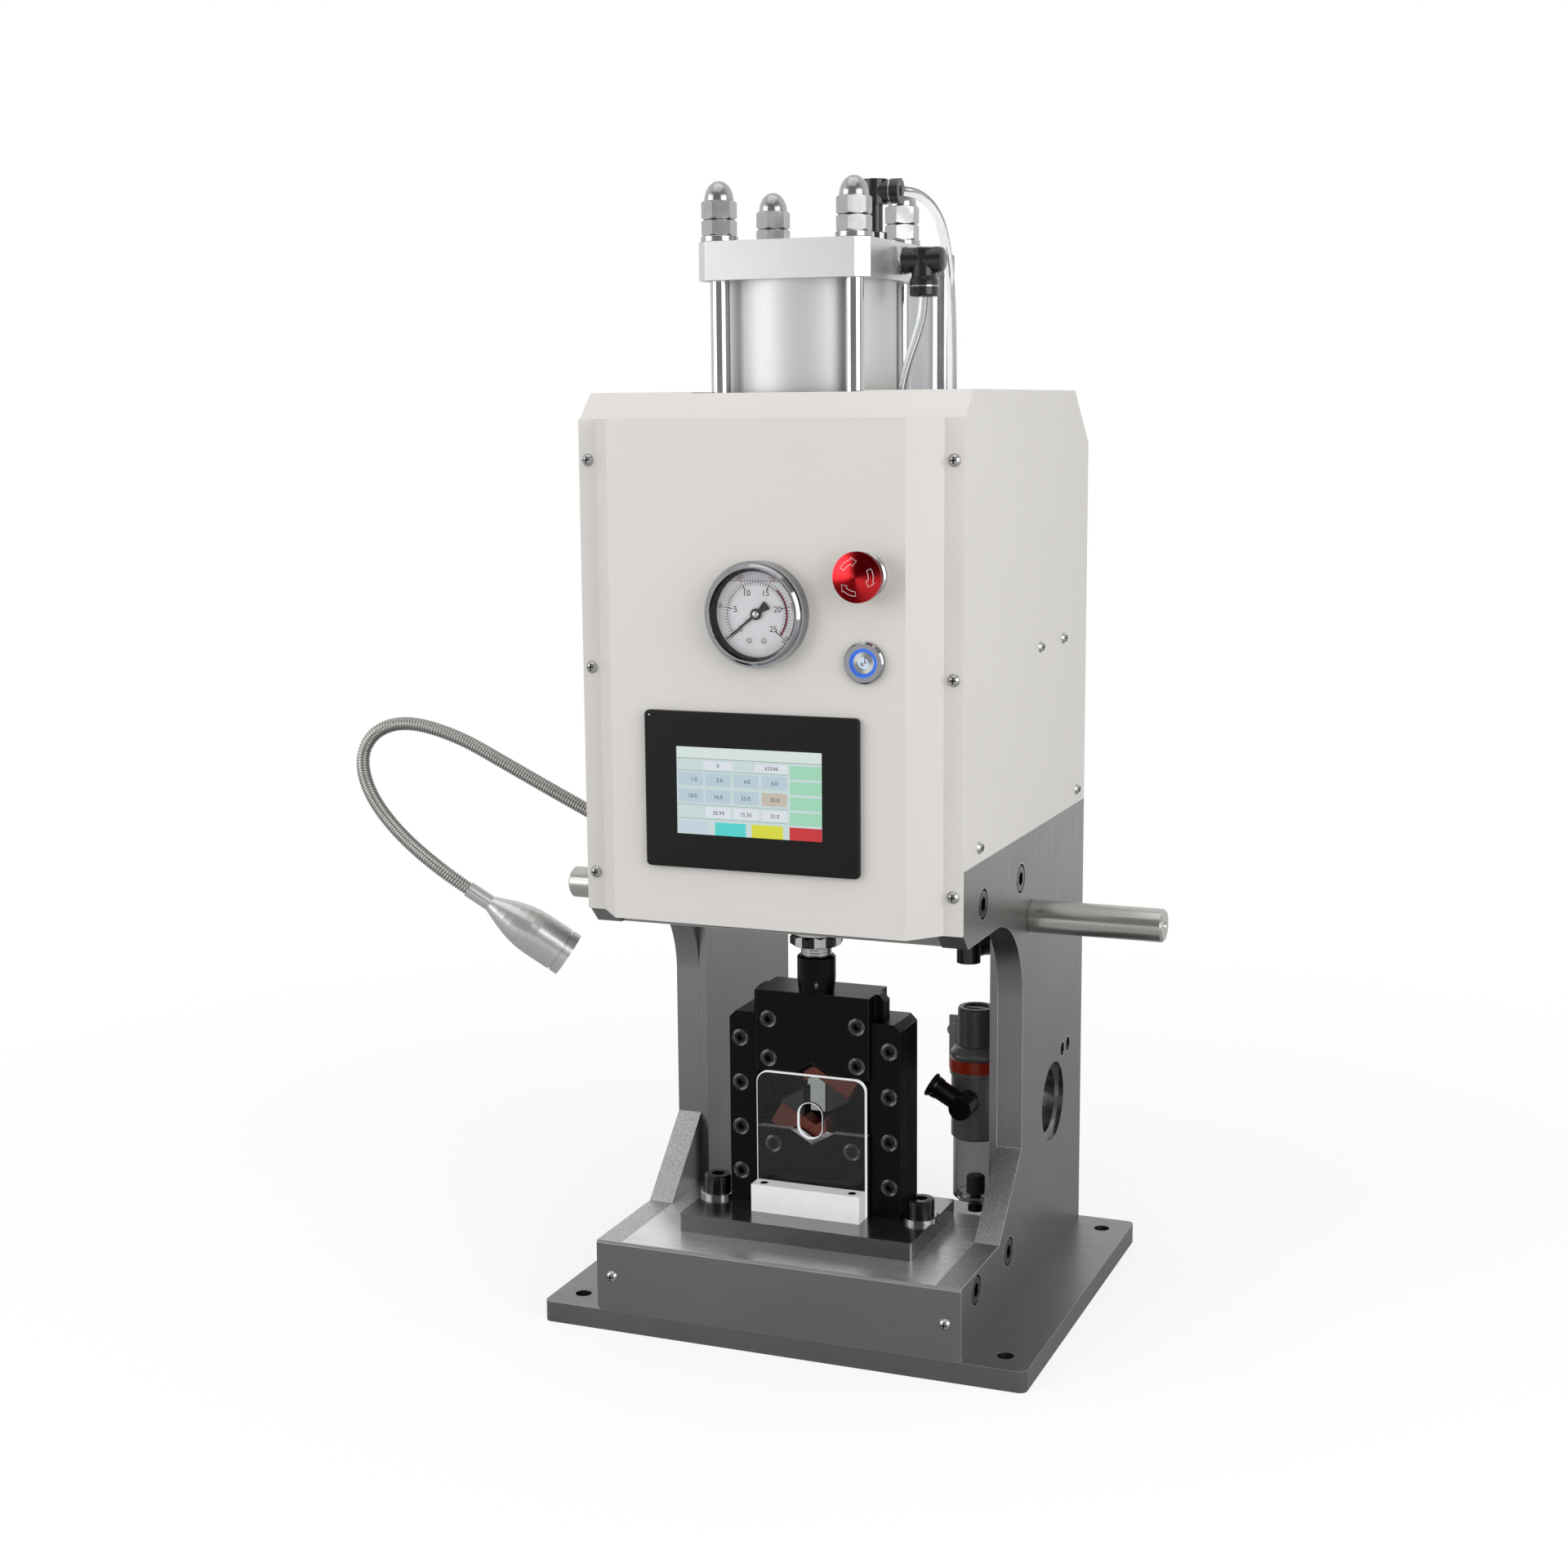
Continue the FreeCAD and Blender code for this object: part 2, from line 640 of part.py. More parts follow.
def side_plate():
    """Right side plate with counterbored screw holes, the bar's seat and no ports."""
    plate = Part.Face(side_plate_outline()).extrude(vector(SIDE_THICKNESS, 0, 0))
    bore = BIG_SCREW_RADIUS + COUNTERBORE_CLEARANCE / 2
    head_seat = side_outer - BIG_HEAD_HEIGHT
    for y, z in frame_screw_places():
        inner = vector(side_inner, y, z)
        outer = vector(side_outer, y, z)
        plate = plate.cut(cylinder(bore, inner, outer))
        plate = plate.cut(cylinder(BIG_HEAD_RADIUS + COUNTERBORE_CLEARANCE,
                                   vector(head_seat, y, z), outer))
    bar_y = frame_front + BAR_SETBACK
    plate = plate.cut(cylinder(BAR_SPIGOT_RADIUS, vector(side_inner, bar_y, BAR_HEIGHT),
                               vector(side_outer, bar_y, BAR_HEIGHT)))
    return plate.cut(front_screw_holes())


def right_side_plate():
    """Right side plate with the round port and two small ports at the back."""
    plate = side_plate()
    port_y = frame_back - PORT_SETBACK
    plate = plate.cut(cylinder(PORT_RADIUS, vector(side_inner, port_y, PORT_HEIGHT),
                               vector(side_outer, port_y, PORT_HEIGHT)))
    for setback in SMALL_PORT_SETBACKS:
        inner = vector(side_inner, frame_back - setback, SMALL_PORT_HEIGHT)
        outer = vector(side_outer, frame_back - setback, SMALL_PORT_HEIGHT)
        plate = plate.cut(cylinder(SMALL_PORT_RADIUS, inner, outer))
    return plate


def inner_post():
    """Plate behind the arch, flush against the inside of the right side plate."""
    return box((post_inner, side_inner), (column_front, frame_back), (base_top, frame_top))


def right_inner_post():
    """Right post with a narrower port, so that the side plate's port shows a step."""
    port_y = frame_back - PORT_SETBACK
    port = cylinder(PORT_RADIUS - PORT_STEP, vector(post_inner, port_y, PORT_HEIGHT),
                    vector(side_inner, port_y, PORT_HEIGHT))
    return inner_post().cut(port)


def front_screw_places():
    """Return the (x, y, z) seats of the pan-head screws that face the front."""
    places = []
    for side in (-1, 1):
        foot_x = side * (side_outer - FOOT_SCREW_INSET)
        places.append((foot_x, frame_front - FOOT_SHEET, FOOT_SCREW_HEIGHT))
        for z in PANEL_SCREW_HEIGHTS:
            places.append((side * (side_outer - PANEL_SCREW_INSET), flange_front, z))
    return places


def side_screw_places():
    """Return the (x, y, z) seats of the pan-head screws on the case's sides."""
    return [(side * side_outer, frame_front + setback, z)
            for side in (-1, 1) for setback, z in SHELL_SCREWS]


def front_screw_holes():
    """Return the holes of the screws that face the front."""
    return Part.makeCompound([
        cylinder(PAN_SCREW_RADIUS, vector(x, y, z), vector(x, y + PAN_SCREW_LENGTH, z))
        for x, y, z in front_screw_places()])


def side_screw_holes():
    """Return the holes of the screws on the case's sides."""
    holes = []
    for x, y, z in side_screw_places():
        inward = -PAN_SCREW_LENGTH if x > 0 else PAN_SCREW_LENGTH
        holes.append(cylinder(PAN_SCREW_RADIUS, vector(x, y, z), vector(x + inward, y, z)))
    return Part.makeCompound(holes)


def panel_screws():
    """All pan-head screws of the foot cover, the front panel and the case."""
    screws = [placed(pan_screw(), vector(x, y, z), vector(0, -1, 0))
              for x, y, z in front_screw_places()]
    for x, y, z in side_screw_places():
        outward = vector(1, 0, 0) if x > 0 else vector(-1, 0, 0)
        screws.append(placed(pan_screw(), vector(x, y, z), outward))
    return Part.makeCompound(screws)


def socket_screws():
    """M12 screws of the frame, and the two die bolts on their washers."""
    length = SIDE_THICKNESS - BIG_HEAD_HEIGHT + BIG_SCREW_GRIP
    frame_screw = socket_screw(BIG_SCREW_RADIUS, length, BIG_HEAD_RADIUS, BIG_HEAD_HEIGHT)
    seat = side_outer - BIG_HEAD_HEIGHT
    solids = []
    for y, z in frame_screw_places():
        solids.append(placed(frame_screw, vector(seat, y, z), vector(1, 0, 0)))
        solids.append(placed(frame_screw, vector(-seat, y, z), vector(-1, 0, 0)))
    bolt_length = DIE_WASHER_HEIGHT + DIE_PLATE_THICKNESS + BIG_SCREW_GRIP
    bolt = socket_screw(BIG_SCREW_RADIUS, bolt_length, BIG_HEAD_RADIUS, BIG_HEAD_HEIGHT)
    ring = washer(DIE_WASHER_RADIUS, BIG_SCREW_RADIUS, DIE_WASHER_HEIGHT)
    for side in (-1, 1):
        x = side * die_bolt_x
        solids.append(placed(ring, vector(x, ram_y, die_plate_top), vector(0, 0, 1)))
        solids.append(placed(bolt, vector(x, ram_y, die_plate_top + DIE_WASHER_HEIGHT),
                             vector(0, 0, 1)))
    return Part.makeCompound(solids)


def foot_front_cover():
    """Thin plate in front of the bed, bevelled along its top and rounded below."""
    back = frame_front
    front = frame_front - FOOT_SHEET
    bottom = base_top + FOOT_BOTTOM_GAP
    outline = [(back, bottom), (back, bed_top), (front + FOOT_EDGE_BEVEL, bed_top),
               (front, bed_top - FOOT_EDGE_BEVEL), (front, bottom)]
    sheet = prism_x(outline, (-side_outer, side_outer))
    lower = [edge for edge in edges_along(sheet, vector(0, 1, 0))
             if abs(edge.BoundBox.ZMin - bottom) < 1e-6]
    return sheet.makeFillet(FOOT_CORNER_RADIUS, lower).cut(front_screw_holes())


def support_bars():
    """Two round bars with a milled flat, screwed into the side plates."""
    bar = turned([(0, -SIDE_THICKNESS), (BAR_SPIGOT_RADIUS, -SIDE_THICKNESS),
                  (BAR_SPIGOT_RADIUS, 0), (BAR_RADIUS - BAR_GROOVE_DEPTH, 0),
                  (BAR_RADIUS - BAR_GROOVE_DEPTH, BAR_GROOVE_WIDTH),
                  (BAR_RADIUS, BAR_GROOVE_WIDTH),
                  (BAR_RADIUS, BAR_LENGTH - BAR_CHAMFER),
                  (BAR_RADIUS - BAR_CHAMFER, BAR_LENGTH),
                  (BAR_CENTRE_HOLE_RADIUS, BAR_LENGTH),
                  (0, BAR_LENGTH - BAR_CENTRE_HOLE_DEPTH)])
    top = BAR_RADIUS - BAR_FLAT_DEPTH
    flat = box((-BAR_RADIUS, BAR_RADIUS), (top, BAR_RADIUS), (BAR_GROOVE_WIDTH, BAR_FLAT_LENGTH))
    bar = bar.cut(flat)
    y = frame_front + BAR_SETBACK
    right = placed(bar, vector(side_outer, y, BAR_HEIGHT), vector(1, 0, 0))
    return Part.makeCompound([right, mirrored(right)])


def mitre(run, rise, offset):
    """Return how far a fold's corner moves along the run when both sides move inwards."""
    return offset * (math.hypot(run, rise) - run) / rise


def case_outline(offset):
    """Return the case's (y, z) side outline, moved inwards by a sheet's thickness."""
    front_depth = SHELL_FRONT_CHAMFER_DEPTH
    front_height = SHELL_FRONT_CHAMFER_HEIGHT
    rear_depth = SHELL_REAR_CHAMFER_DEPTH
    rear_height = SHELL_REAR_CHAMFER_HEIGHT
    front = frame_front + offset
    back = frame_back - offset
    top = shell_top - offset
    return [
        (front, frame_top), (back, frame_top),
        (back, shell_top - rear_height - mitre(rear_height, rear_depth, offset)),
        (frame_back - rear_depth - mitre(rear_depth, rear_height, offset), top),
        (frame_front + front_depth + mitre(front_depth, front_height, offset), top),
        (front, shell_top - front_height - mitre(front_height, front_depth, offset))]


def cover_shell():
    """Folded case open below and in front, with lips for the panel and a top opening."""
    outer = prism_x(case_outline(0), (-side_outer, side_outer))
    inner_half = side_outer - SHELL_SHEET
    hollow = prism_x(case_outline(SHELL_SHEET), (-inner_half, inner_half))
    window_half = side_outer - SHELL_LIP
    window = box((-window_half, window_half), (frame_front, frame_front + SHELL_SHEET),
                 (frame_top, panel_top - SHELL_LIP))
    half = SHELL_OPENING / 2
    opening = rounded_block((-half, half), (ram_y - half, ram_y + half),
                            (shell_top - SHELL_SHEET, shell_top), SHELL_OPENING_RADIUS,
                            vector(0, 0, 1))
    shell = outer.cut(hollow).cut(window).cut(opening).cut(top_hose_hole())
    return shell.cut(front_screw_holes()).cut(side_screw_holes()).cut(lamp_root_hole())


def tray_outline(offset):
    """Return the raised tray's (x, y) outline, moved inwards by a sheet's thickness."""
    slant = TRAY_FACE_INSET - TRAY_FLANGE_INSET
    root = side_outer - TRAY_FLANGE_INSET - offset * math.hypot(slant, PANEL_RAISE) / PANEL_RAISE
    face = side_outer - TRAY_FACE_INSET - mitre(slant, PANEL_RAISE, offset)
    return [(-root, frame_front), (-root, flange_front), (-face, face_front + offset),
            (face, face_front + offset), (root, flange_front), (root, frame_front)]


def front_panel():
    """Front panel: a flange with a raised tray, pierced for the controls."""
    flange = box((-side_outer, side_outer), (flange_front, frame_front),
                 (PANEL_BOTTOM, panel_top))
    raised = prism_z(tray_outline(0), (PANEL_BOTTOM, panel_top))
    hollow = prism_z(tray_outline(PANEL_SHEET),
                     (PANEL_BOTTOM + PANEL_SHEET, panel_top - PANEL_SHEET))
    panel = flange.fuse(raised).removeSplitter().cut(hollow)
    body_x, body_z = terminal_body_limits(CUTOUT_CLEARANCE)
    panel = panel.cut(box(body_x, (face_front, face_front + PANEL_SHEET), body_z))
    for x, z, radius in ((GAUGE_X, GAUGE_Z, GAUGE_BODY_RADIUS + CUTOUT_CLEARANCE),
                         (stop_x, STOP_Z, BUTTON_BODY_RADIUS + CUTOUT_CLEARANCE),
                         (power_x, POWER_Z, BUTTON_BODY_RADIUS + CUTOUT_CLEARANCE)):
        panel = panel.cut(cylinder(radius, vector(x, face_front, z),
                                   vector(x, face_front + PANEL_SHEET, z)))
    return panel.cut(front_screw_holes())


def terminal_body_limits(clearance):
    """Return the x and z limits of the terminal's body behind its bezel."""
    half_width = TERMINAL_WIDTH / 2 - TERMINAL_BODY_INSET + clearance
    half_height = TERMINAL_HEIGHT / 2 - TERMINAL_BODY_INSET + clearance
    return ((TERMINAL_CENTRE_X - half_width, TERMINAL_CENTRE_X + half_width),
            (TERMINAL_CENTRE_Z - half_height, TERMINAL_CENTRE_Z + half_height))


def screen_limits():
    """Return the x and z limits of the terminal's screen."""
    centre_x = TERMINAL_CENTRE_X + SCREEN_OFFSET_X
    return ((centre_x - SCREEN_WIDTH / 2, centre_x + SCREEN_WIDTH / 2),
            (TERMINAL_CENTRE_Z - SCREEN_HEIGHT / 2, TERMINAL_CENTRE_Z + SCREEN_HEIGHT / 2))


def terminal_case():
    """Terminal housing with its bezel on the panel and a recess for the screen."""
    half_width = TERMINAL_WIDTH / 2
    half_height = TERMINAL_HEIGHT / 2
    bezel_front = face_front - TERMINAL_BEZEL
    bezel = rounded_block((TERMINAL_CENTRE_X - half_width, TERMINAL_CENTRE_X + half_width),
                          (bezel_front, face_front),
                          (TERMINAL_CENTRE_Z - half_height, TERMINAL_CENTRE_Z + half_height),
                          TERMINAL_CORNER_RADIUS, vector(0, 1, 0))
    rim = [edge for edge in bezel.Edges if edge.BoundBox.YMax < bezel_front + 1e-6]
    bezel = bezel.makeChamfer(TERMINAL_EDGE_BEVEL, rim)
    body_x, body_z = terminal_body_limits(0)
    body = box(body_x, (face_front, face_front + TERMINAL_BODY_DEPTH), body_z)
    screen_x, screen_z = screen_limits()
    recess = box(screen_x, (bezel_front, bezel_front + SCREEN_RECESS), screen_z)
    return bezel.fuse(body).cut(recess)


def terminal_screen():
    """Flat display plate that lies in the terminal's recess."""
    floor = face_front - TERMINAL_BEZEL + SCREEN_RECESS
    screen_x, screen_z = screen_limits()
    return box(screen_x, (floor - SCREEN_THICKNESS, floor), screen_z)


def facing_front(shape, x, z):
    """Place a shape built along +Z so that it stands out of the panel's face."""
    return placed(shape, vector(x, face_front, z), vector(0, -1, 0))


def gauge_case():
    """Gauge cup with a stepped bezel, the dial as its floor and a pin for the needle."""
    dial = GAUGE_BEZEL_PROUD - GAUGE_DIAL_DEPTH
    pin_top = dial + NEEDLE_LIFT + NEEDLE_THICKNESS + NEEDLE_CLEARANCE
    cup = turned([
        (0, -GAUGE_BODY_DEPTH - GAUGE_STEM_LENGTH),
        (GAUGE_STEM_RADIUS, -GAUGE_BODY_DEPTH - GAUGE_STEM_LENGTH),
        (GAUGE_STEM_RADIUS, -GAUGE_BODY_DEPTH),
        (GAUGE_BODY_RADIUS - GAUGE_BEZEL_STEP, -GAUGE_BODY_DEPTH),
        (GAUGE_BODY_RADIUS, -GAUGE_BODY_DEPTH + GAUGE_BEZEL_STEP),
        (GAUGE_BODY_RADIUS, 0), (GAUGE_BEZEL_RADIUS, 0),
        (GAUGE_BEZEL_RADIUS, GAUGE_BEZEL_PROUD - 2 * GAUGE_BEZEL_STEP),
        (GAUGE_BEZEL_RADIUS - GAUGE_BEZEL_STEP, GAUGE_BEZEL_PROUD - 2 * GAUGE_BEZEL_STEP),
        (GAUGE_BEZEL_RADIUS - GAUGE_BEZEL_STEP, GAUGE_BEZEL_PROUD - GAUGE_BEZEL_STEP),
        (GAUGE_BEZEL_RADIUS - 2 * GAUGE_BEZEL_STEP, GAUGE_BEZEL_PROUD),
        (GAUGE_DIAL_RADIUS + GAUGE_BEZEL_STEP / 2, GAUGE_BEZEL_PROUD),
        (GAUGE_DIAL_RADIUS, GAUGE_BEZEL_PROUD - GAUGE_BEZEL_STEP),
        (GAUGE_DIAL_RADIUS, dial), (NEEDLE_PIN_RADIUS, dial),
        (NEEDLE_PIN_RADIUS, pin_top), (0, pin_top)])
    return facing_front(cup, GAUGE_X, GAUGE_Z)


def gauge_needle():
    """Pointer with a tail and a hub that turns on the gauge's pin."""
    bottom = GAUGE_BEZEL_PROUD - GAUGE_DIAL_DEPTH + NEEDLE_LIFT
    side = [(-NEEDLE_TAIL, NEEDLE_TAIL_HALF_WIDTH), (-NEEDLE_WAIST, NEEDLE_WAIST_HALF_WIDTH),
            (NEEDLE_LENGTH, NEEDLE_TIP_HALF_WIDTH)]
    outline = side + [(x, -y) for x, y in reversed(side)]
    pointer = prism_z(outline, (bottom, bottom + NEEDLE_THICKNESS))
    pointer.rotate(vector(0, 0, 0), vector(0, 0, 1), NEEDLE_ANGLE)
    hub = Part.makeCylinder(NEEDLE_HUB_RADIUS, NEEDLE_THICKNESS, vector(0, 0, bottom))
    bore = Part.makeCylinder(NEEDLE_PIN_RADIUS + NEEDLE_CLEARANCE, NEEDLE_THICKNESS,
                             vector(0, 0, bottom))
    needle = pointer.fuse(hub).cut(bore).removeSplitter()
    return facing_front(needle, GAUGE_X, GAUGE_Z)


def button_body(flange_radius, flange_height, well_radius, well_depth):
    """Return a panel button's body along +Z: flange, barrel, rear nut and a well."""
    barrel = Part.makeCylinder(BUTTON_BODY_RADIUS, BUTTON_BODY_DEPTH,
                               vector(0, 0, -BUTTON_BODY_DEPTH))
    flange = Part.makeCylinder(flange_radius, flange_height)
    rim = [edge for edge in flange.Edges if abs(edge.BoundBox.ZMin - flange_height) < 1e-6]
    flange = flange.makeChamfer(flange_height / 4, rim)
    nut = hexagon_bar(2 * BUTTON_NUT_RADIUS * math.cos(math.pi / 6), BUTTON_NUT_HEIGHT)
    nut.translate(vector(0, 0, -PANEL_SHEET - BUTTON_NUT_HEIGHT))
    well = Part.makeCylinder(well_radius, well_depth, vector(0, 0, flange_height - well_depth))
    return barrel.fuse(flange).fuse(nut).removeSplitter().cut(well)


def stop_collar():
    """Silver collar and barrel of the emergency stop."""
    well = STOP_COLLAR_HEIGHT + STOP_STEM_DEPTH
    body = button_body(STOP_COLLAR_RADIUS, STOP_COLLAR_HEIGHT,
                       STOP_STEM_RADIUS + BUTTON_CLEARANCE, well)
    return facing_front(body, stop_x, STOP_Z)


def stop_stem():
    """Push stem of the emergency stop, with a post that the head turns on."""
    shoulder = STOP_COLLAR_HEIGHT + STOP_HEAD_GAP
    stem = Part.makeCylinder(STOP_STEM_RADIUS, shoulder + STOP_STEM_DEPTH / 2,
                             vector(0, 0, -STOP_STEM_DEPTH / 2))
    post = Part.makeCylinder(STOP_POST_RADIUS, STOP_HEAD_HEIGHT / 2, vector(0, 0, shoulder))
    return facing_front(stem.fuse(post).removeSplitter(), stop_x, STOP_Z)


def stop_head():
    """Mushroom head of the emergency stop, with a domed face and a bevelled underside."""
    bottom = STOP_COLLAR_HEIGHT + STOP_HEAD_GAP
    top = bottom + STOP_HEAD_HEIGHT
    well_top = bottom + STOP_HEAD_HEIGHT / 2 + BUTTON_CLEARANCE
    post = STOP_POST_RADIUS + BUTTON_CLEARANCE
    rim_top = top - STOP_HEAD_DOME
    dome_radius = (STOP_HEAD_RADIUS ** 2 + STOP_HEAD_DOME ** 2) / (2 * STOP_HEAD_DOME)
    middle_x = STOP_HEAD_RADIUS / 2
    middle_z = top - dome_radius + math.sqrt(dome_radius ** 2 - middle_x ** 2)
    points = [
        vector(0, 0, top), vector(0, 0, well_top), vector(post, 0, well_top),
        vector(post, 0, bottom), vector(STOP_HEAD_RADIUS - STOP_HEAD_BEVEL, 0, bottom),
        vector(STOP_HEAD_RADIUS, 0, bottom + STOP_HEAD_BEVEL),
        vector(STOP_HEAD_RADIUS, 0, rim_top)]
    edges = [Part.LineSegment(a, b).toShape() for a, b in zip(points, points[1:])]
    edges.append(Part.Arc(points[-1], vector(middle_x, 0, middle_z), points[0]).toShape())
    head = Part.Face(Part.Wire(edges)).revolve(vector(0, 0, 0), vector(0, 0, 1), 360)
    return facing_front(head, stop_x, STOP_Z)


def power_button_body():
    """Chrome flange and barrel of the power button."""
    body = button_body(POWER_FLANGE_RADIUS, POWER_FLANGE_HEIGHT,
                       POWER_CAP_RADIUS + BUTTON_CLEARANCE, POWER_WELL_DEPTH)
    return facing_front(body, power_x, POWER_Z)


def power_button_cap():
    """Cap of the power button, slightly below its flange."""
    top = POWER_FLANGE_HEIGHT - POWER_CAP_RECESS
    cap = Part.makeCylinder(POWER_CAP_RADIUS, POWER_CAP_HEIGHT,
                            vector(0, 0, top - POWER_CAP_HEIGHT))
    rim = [edge for edge in cap.Edges if abs(edge.BoundBox.ZMin - top) < 1e-6]
    return facing_front(cap.makeChamfer(POWER_CAP_RECESS / 2, rim), power_x, POWER_Z)


def cylinder_square(z_range):
    """Return a square end cap of the cylinder with chamfered corners."""
    half = CYLINDER_SIDE / 2
    block = box((-half, half), (ram_y - half, ram_y + half), z_range)
    return block.makeChamfer(CYLINDER_CORNER_CHAMFER, edges_along(block, vector(0, 0, 1)))


def tie_rod_holes(z_range):
    """Return the tie rods' own volume between two heights."""
    return Part.makeCompound([
        cylinder(TIE_ROD_RADIUS, vector(x, y, z_range[0]), vector(x, y, z_range[1]))
        for x, y in tie_rod_places()])


def cylinder_base_cap():
    """Lower end cap, bored for the ram's rod."""
    z_range = (frame_top, cap_top)
    bore = cylinder(RAM_RADIUS + RAM_CLEARANCE, vector(0, ram_y, frame_top),
                    vector(0, ram_y, cap_top))
    return cylinder_square(z_range).cut(tie_rod_holes(z_range)).cut(bore)


def cylinder_barrel():
    """Barrel between the two end caps."""
    bottom = vector(0, ram_y, cap_top)
    top = vector(0, ram_y, barrel_top)
    return cylinder(BARREL_RADIUS, bottom, top).cut(cylinder(BARREL_BORE_RADIUS, bottom, top))


def cylinder_top_plate():
    """Upper end cap with the tie-rod holes."""
    z_range = (barrel_top, cylinder_top)
    return cylinder_square(z_range).cut(tie_rod_holes(z_range))


def tie_rods():
    """Four rods that pull the end caps together, threaded into the head."""
    z_range = (frame_top - TIE_ROD_GRIP, cylinder_top + TIE_ROD_END)
    return tie_rod_holes(z_range)


def tie_rod_nuts():
    """Washer, hexagon nut and acorn nut on each tie rod."""
    ring = washer(WASHER_RADIUS, TIE_ROD_RADIUS, WASHER_HEIGHT)
    bore = Part.makeCylinder(TIE_ROD_RADIUS, NUT_HEIGHT)
    nut = chamfered_hexagon(NUT_FLATS, NUT_HEIGHT).cut(bore)
    depth = TIE_ROD_END - WASHER_HEIGHT - NUT_HEIGHT
    dome_top = ACORN_HEX_HEIGHT + ACORN_DOME_HEIGHT
    sphere = Part.makeSphere(ACORN_DOME_RADIUS, vector(0, 0, dome_top - ACORN_DOME_RADIUS))
    neck = Part.makeCylinder(ACORN_DOME_RADIUS, dome_top - ACORN_DOME_RADIUS)
    dome = neck.fuse(sphere.common(box((-ACORN_DOME_RADIUS, ACORN_DOME_RADIUS),
                                       (-ACORN_DOME_RADIUS, ACORN_DOME_RADIUS),
                                       (dome_top - ACORN_DOME_RADIUS, dome_top))))
    acorn = chamfered_hexagon(NUT_FLATS, ACORN_HEX_HEIGHT).fuse(dome)
    acorn = acorn.cut(Part.makeCylinder(TIE_ROD_RADIUS, depth))
    solids = []
    for x, y in tie_rod_places():
        level = cylinder_top
        for piece, height in ((ring, WASHER_HEIGHT), (nut, NUT_HEIGHT), (acorn, 0)):
            solids.append(placed(piece, vector(x, y, level), vector(0, 0, 1)))
            level += height
    return Part.makeCompound(solids)


def chamfered_hexagon(flats, height):
    """Return a hexagon nut blank whose corners are turned off at both ends."""
    corner = flats / math.sqrt(3)
    cut = (corner - flats / 2) / math.tan(math.radians(60))
    limit = turned([(0, 0), (flats / 2, 0), (corner, cut), (corner, height - cut),
                    (flats / 2, height), (0, height)])
    return hexagon_bar(flats, height).common(limit)


def ram_rod():
    """Piston, rod, lock nut and threaded end in one piece that moves."""
    piston_top = barrel_top - PISTON_REST_GAP
    piston_bottom = piston_top - PISTON_HEIGHT
    thread_end = coupling_top - COUPLING_THREAD_DEPTH
    nut_bottom = RAM_NUT_TOP - RAM_NUT_HEIGHT
    piston = Part.makeCylinder(BARREL_BORE_RADIUS - RAM_CLEARANCE, PISTON_HEIGHT,
                               vector(0, ram_y, piston_bottom))
    rod = Part.makeCylinder(RAM_RADIUS, piston_bottom - RAM_NUT_TOP,
                            vector(0, ram_y, RAM_NUT_TOP))
    thread = Part.makeCylinder(RAM_THREAD_RADIUS, RAM_NUT_TOP - thread_end,
                               vector(0, ram_y, thread_end))
    nut = placed(chamfered_hexagon(RAM_NUT_FLATS, RAM_NUT_HEIGHT),
                 vector(0, ram_y, nut_bottom), vector(0, 0, 1))
    return piston.fuse(rod).fuse(nut).fuse(thread).removeSplitter()


def ram_coupling():
    """Round coupling between the ram's thread and the slider, with pin holes."""
    shoulder = COUPLING_HEIGHT / 3
    body = turned([
        (0, -COUPLING_SPIGOT_LENGTH), (COUPLING_SPIGOT_RADIUS, -COUPLING_SPIGOT_LENGTH),
        (COUPLING_SPIGOT_RADIUS, 0), (COUPLING_NECK_RADIUS, 0),
        (COUPLING_RADIUS, shoulder), (COUPLING_RADIUS, COUPLING_HEIGHT - COUPLING_CHAMFER),
        (COUPLING_RADIUS - COUPLING_CHAMFER, COUPLING_HEIGHT),
        (RAM_THREAD_RADIUS, COUPLING_HEIGHT),
        (RAM_THREAD_RADIUS, COUPLING_HEIGHT - COUPLING_THREAD_DEPTH),
        (0, COUPLING_HEIGHT - COUPLING_THREAD_DEPTH)])
    for angle in COUPLING_PIN_ANGLES:
        reach = vector(COUPLING_RADIUS * math.cos(math.radians(angle)),
                       COUPLING_RADIUS * math.sin(math.radians(angle)), 0)
        height = vector(0, 0, COUPLING_PIN_HOLE_HEIGHT)
        pin = cylinder(COUPLING_PIN_HOLE_RADIUS, height.sub(reach), height.add(reach))
        body = body.cut(pin)
    return placed(body, vector(0, ram_y, slider_top), vector(0, 0, 1))


def jaw_direction(angle):
    """Return the (x, z) direction at an angle in degrees."""
    return (math.cos(math.radians(angle)), math.sin(math.radians(angle)))


def fixed_jaw_outline():
    """Return the lower fixed jaw as (x, z) from the hexagon's lowest corner.

    Its face runs up to the left; its right end is cut along the next jaw's face.
    """
    along = jaw_direction(150)
    inward = jaw_direction(240)
    end = (JAW_LENGTH * along[0], JAW_LENGTH * along[1])
    foot = (end[0] + JAW_THICKNESS * inward[0], end[1] + JAW_THICKNESS * inward[1])
    heel = jaw_direction(210)
    return [(0, 0), end, foot, (jaw_side * heel[0], jaw_side * heel[1])]


def sliding_jaw_outline():
    """Return the closed lower right jaw as (x, z) from the hexagon's lowest corner."""
    heel = jaw_direction(210)
    end = JAW_CLOSED_APOTHEM
    rise = end * jaw_slope
    return [(end, rise), (jaw_side * heel[0], jaw_side * heel[1]), (0, -jaw_side),
            (end, rise - jaw_side)]


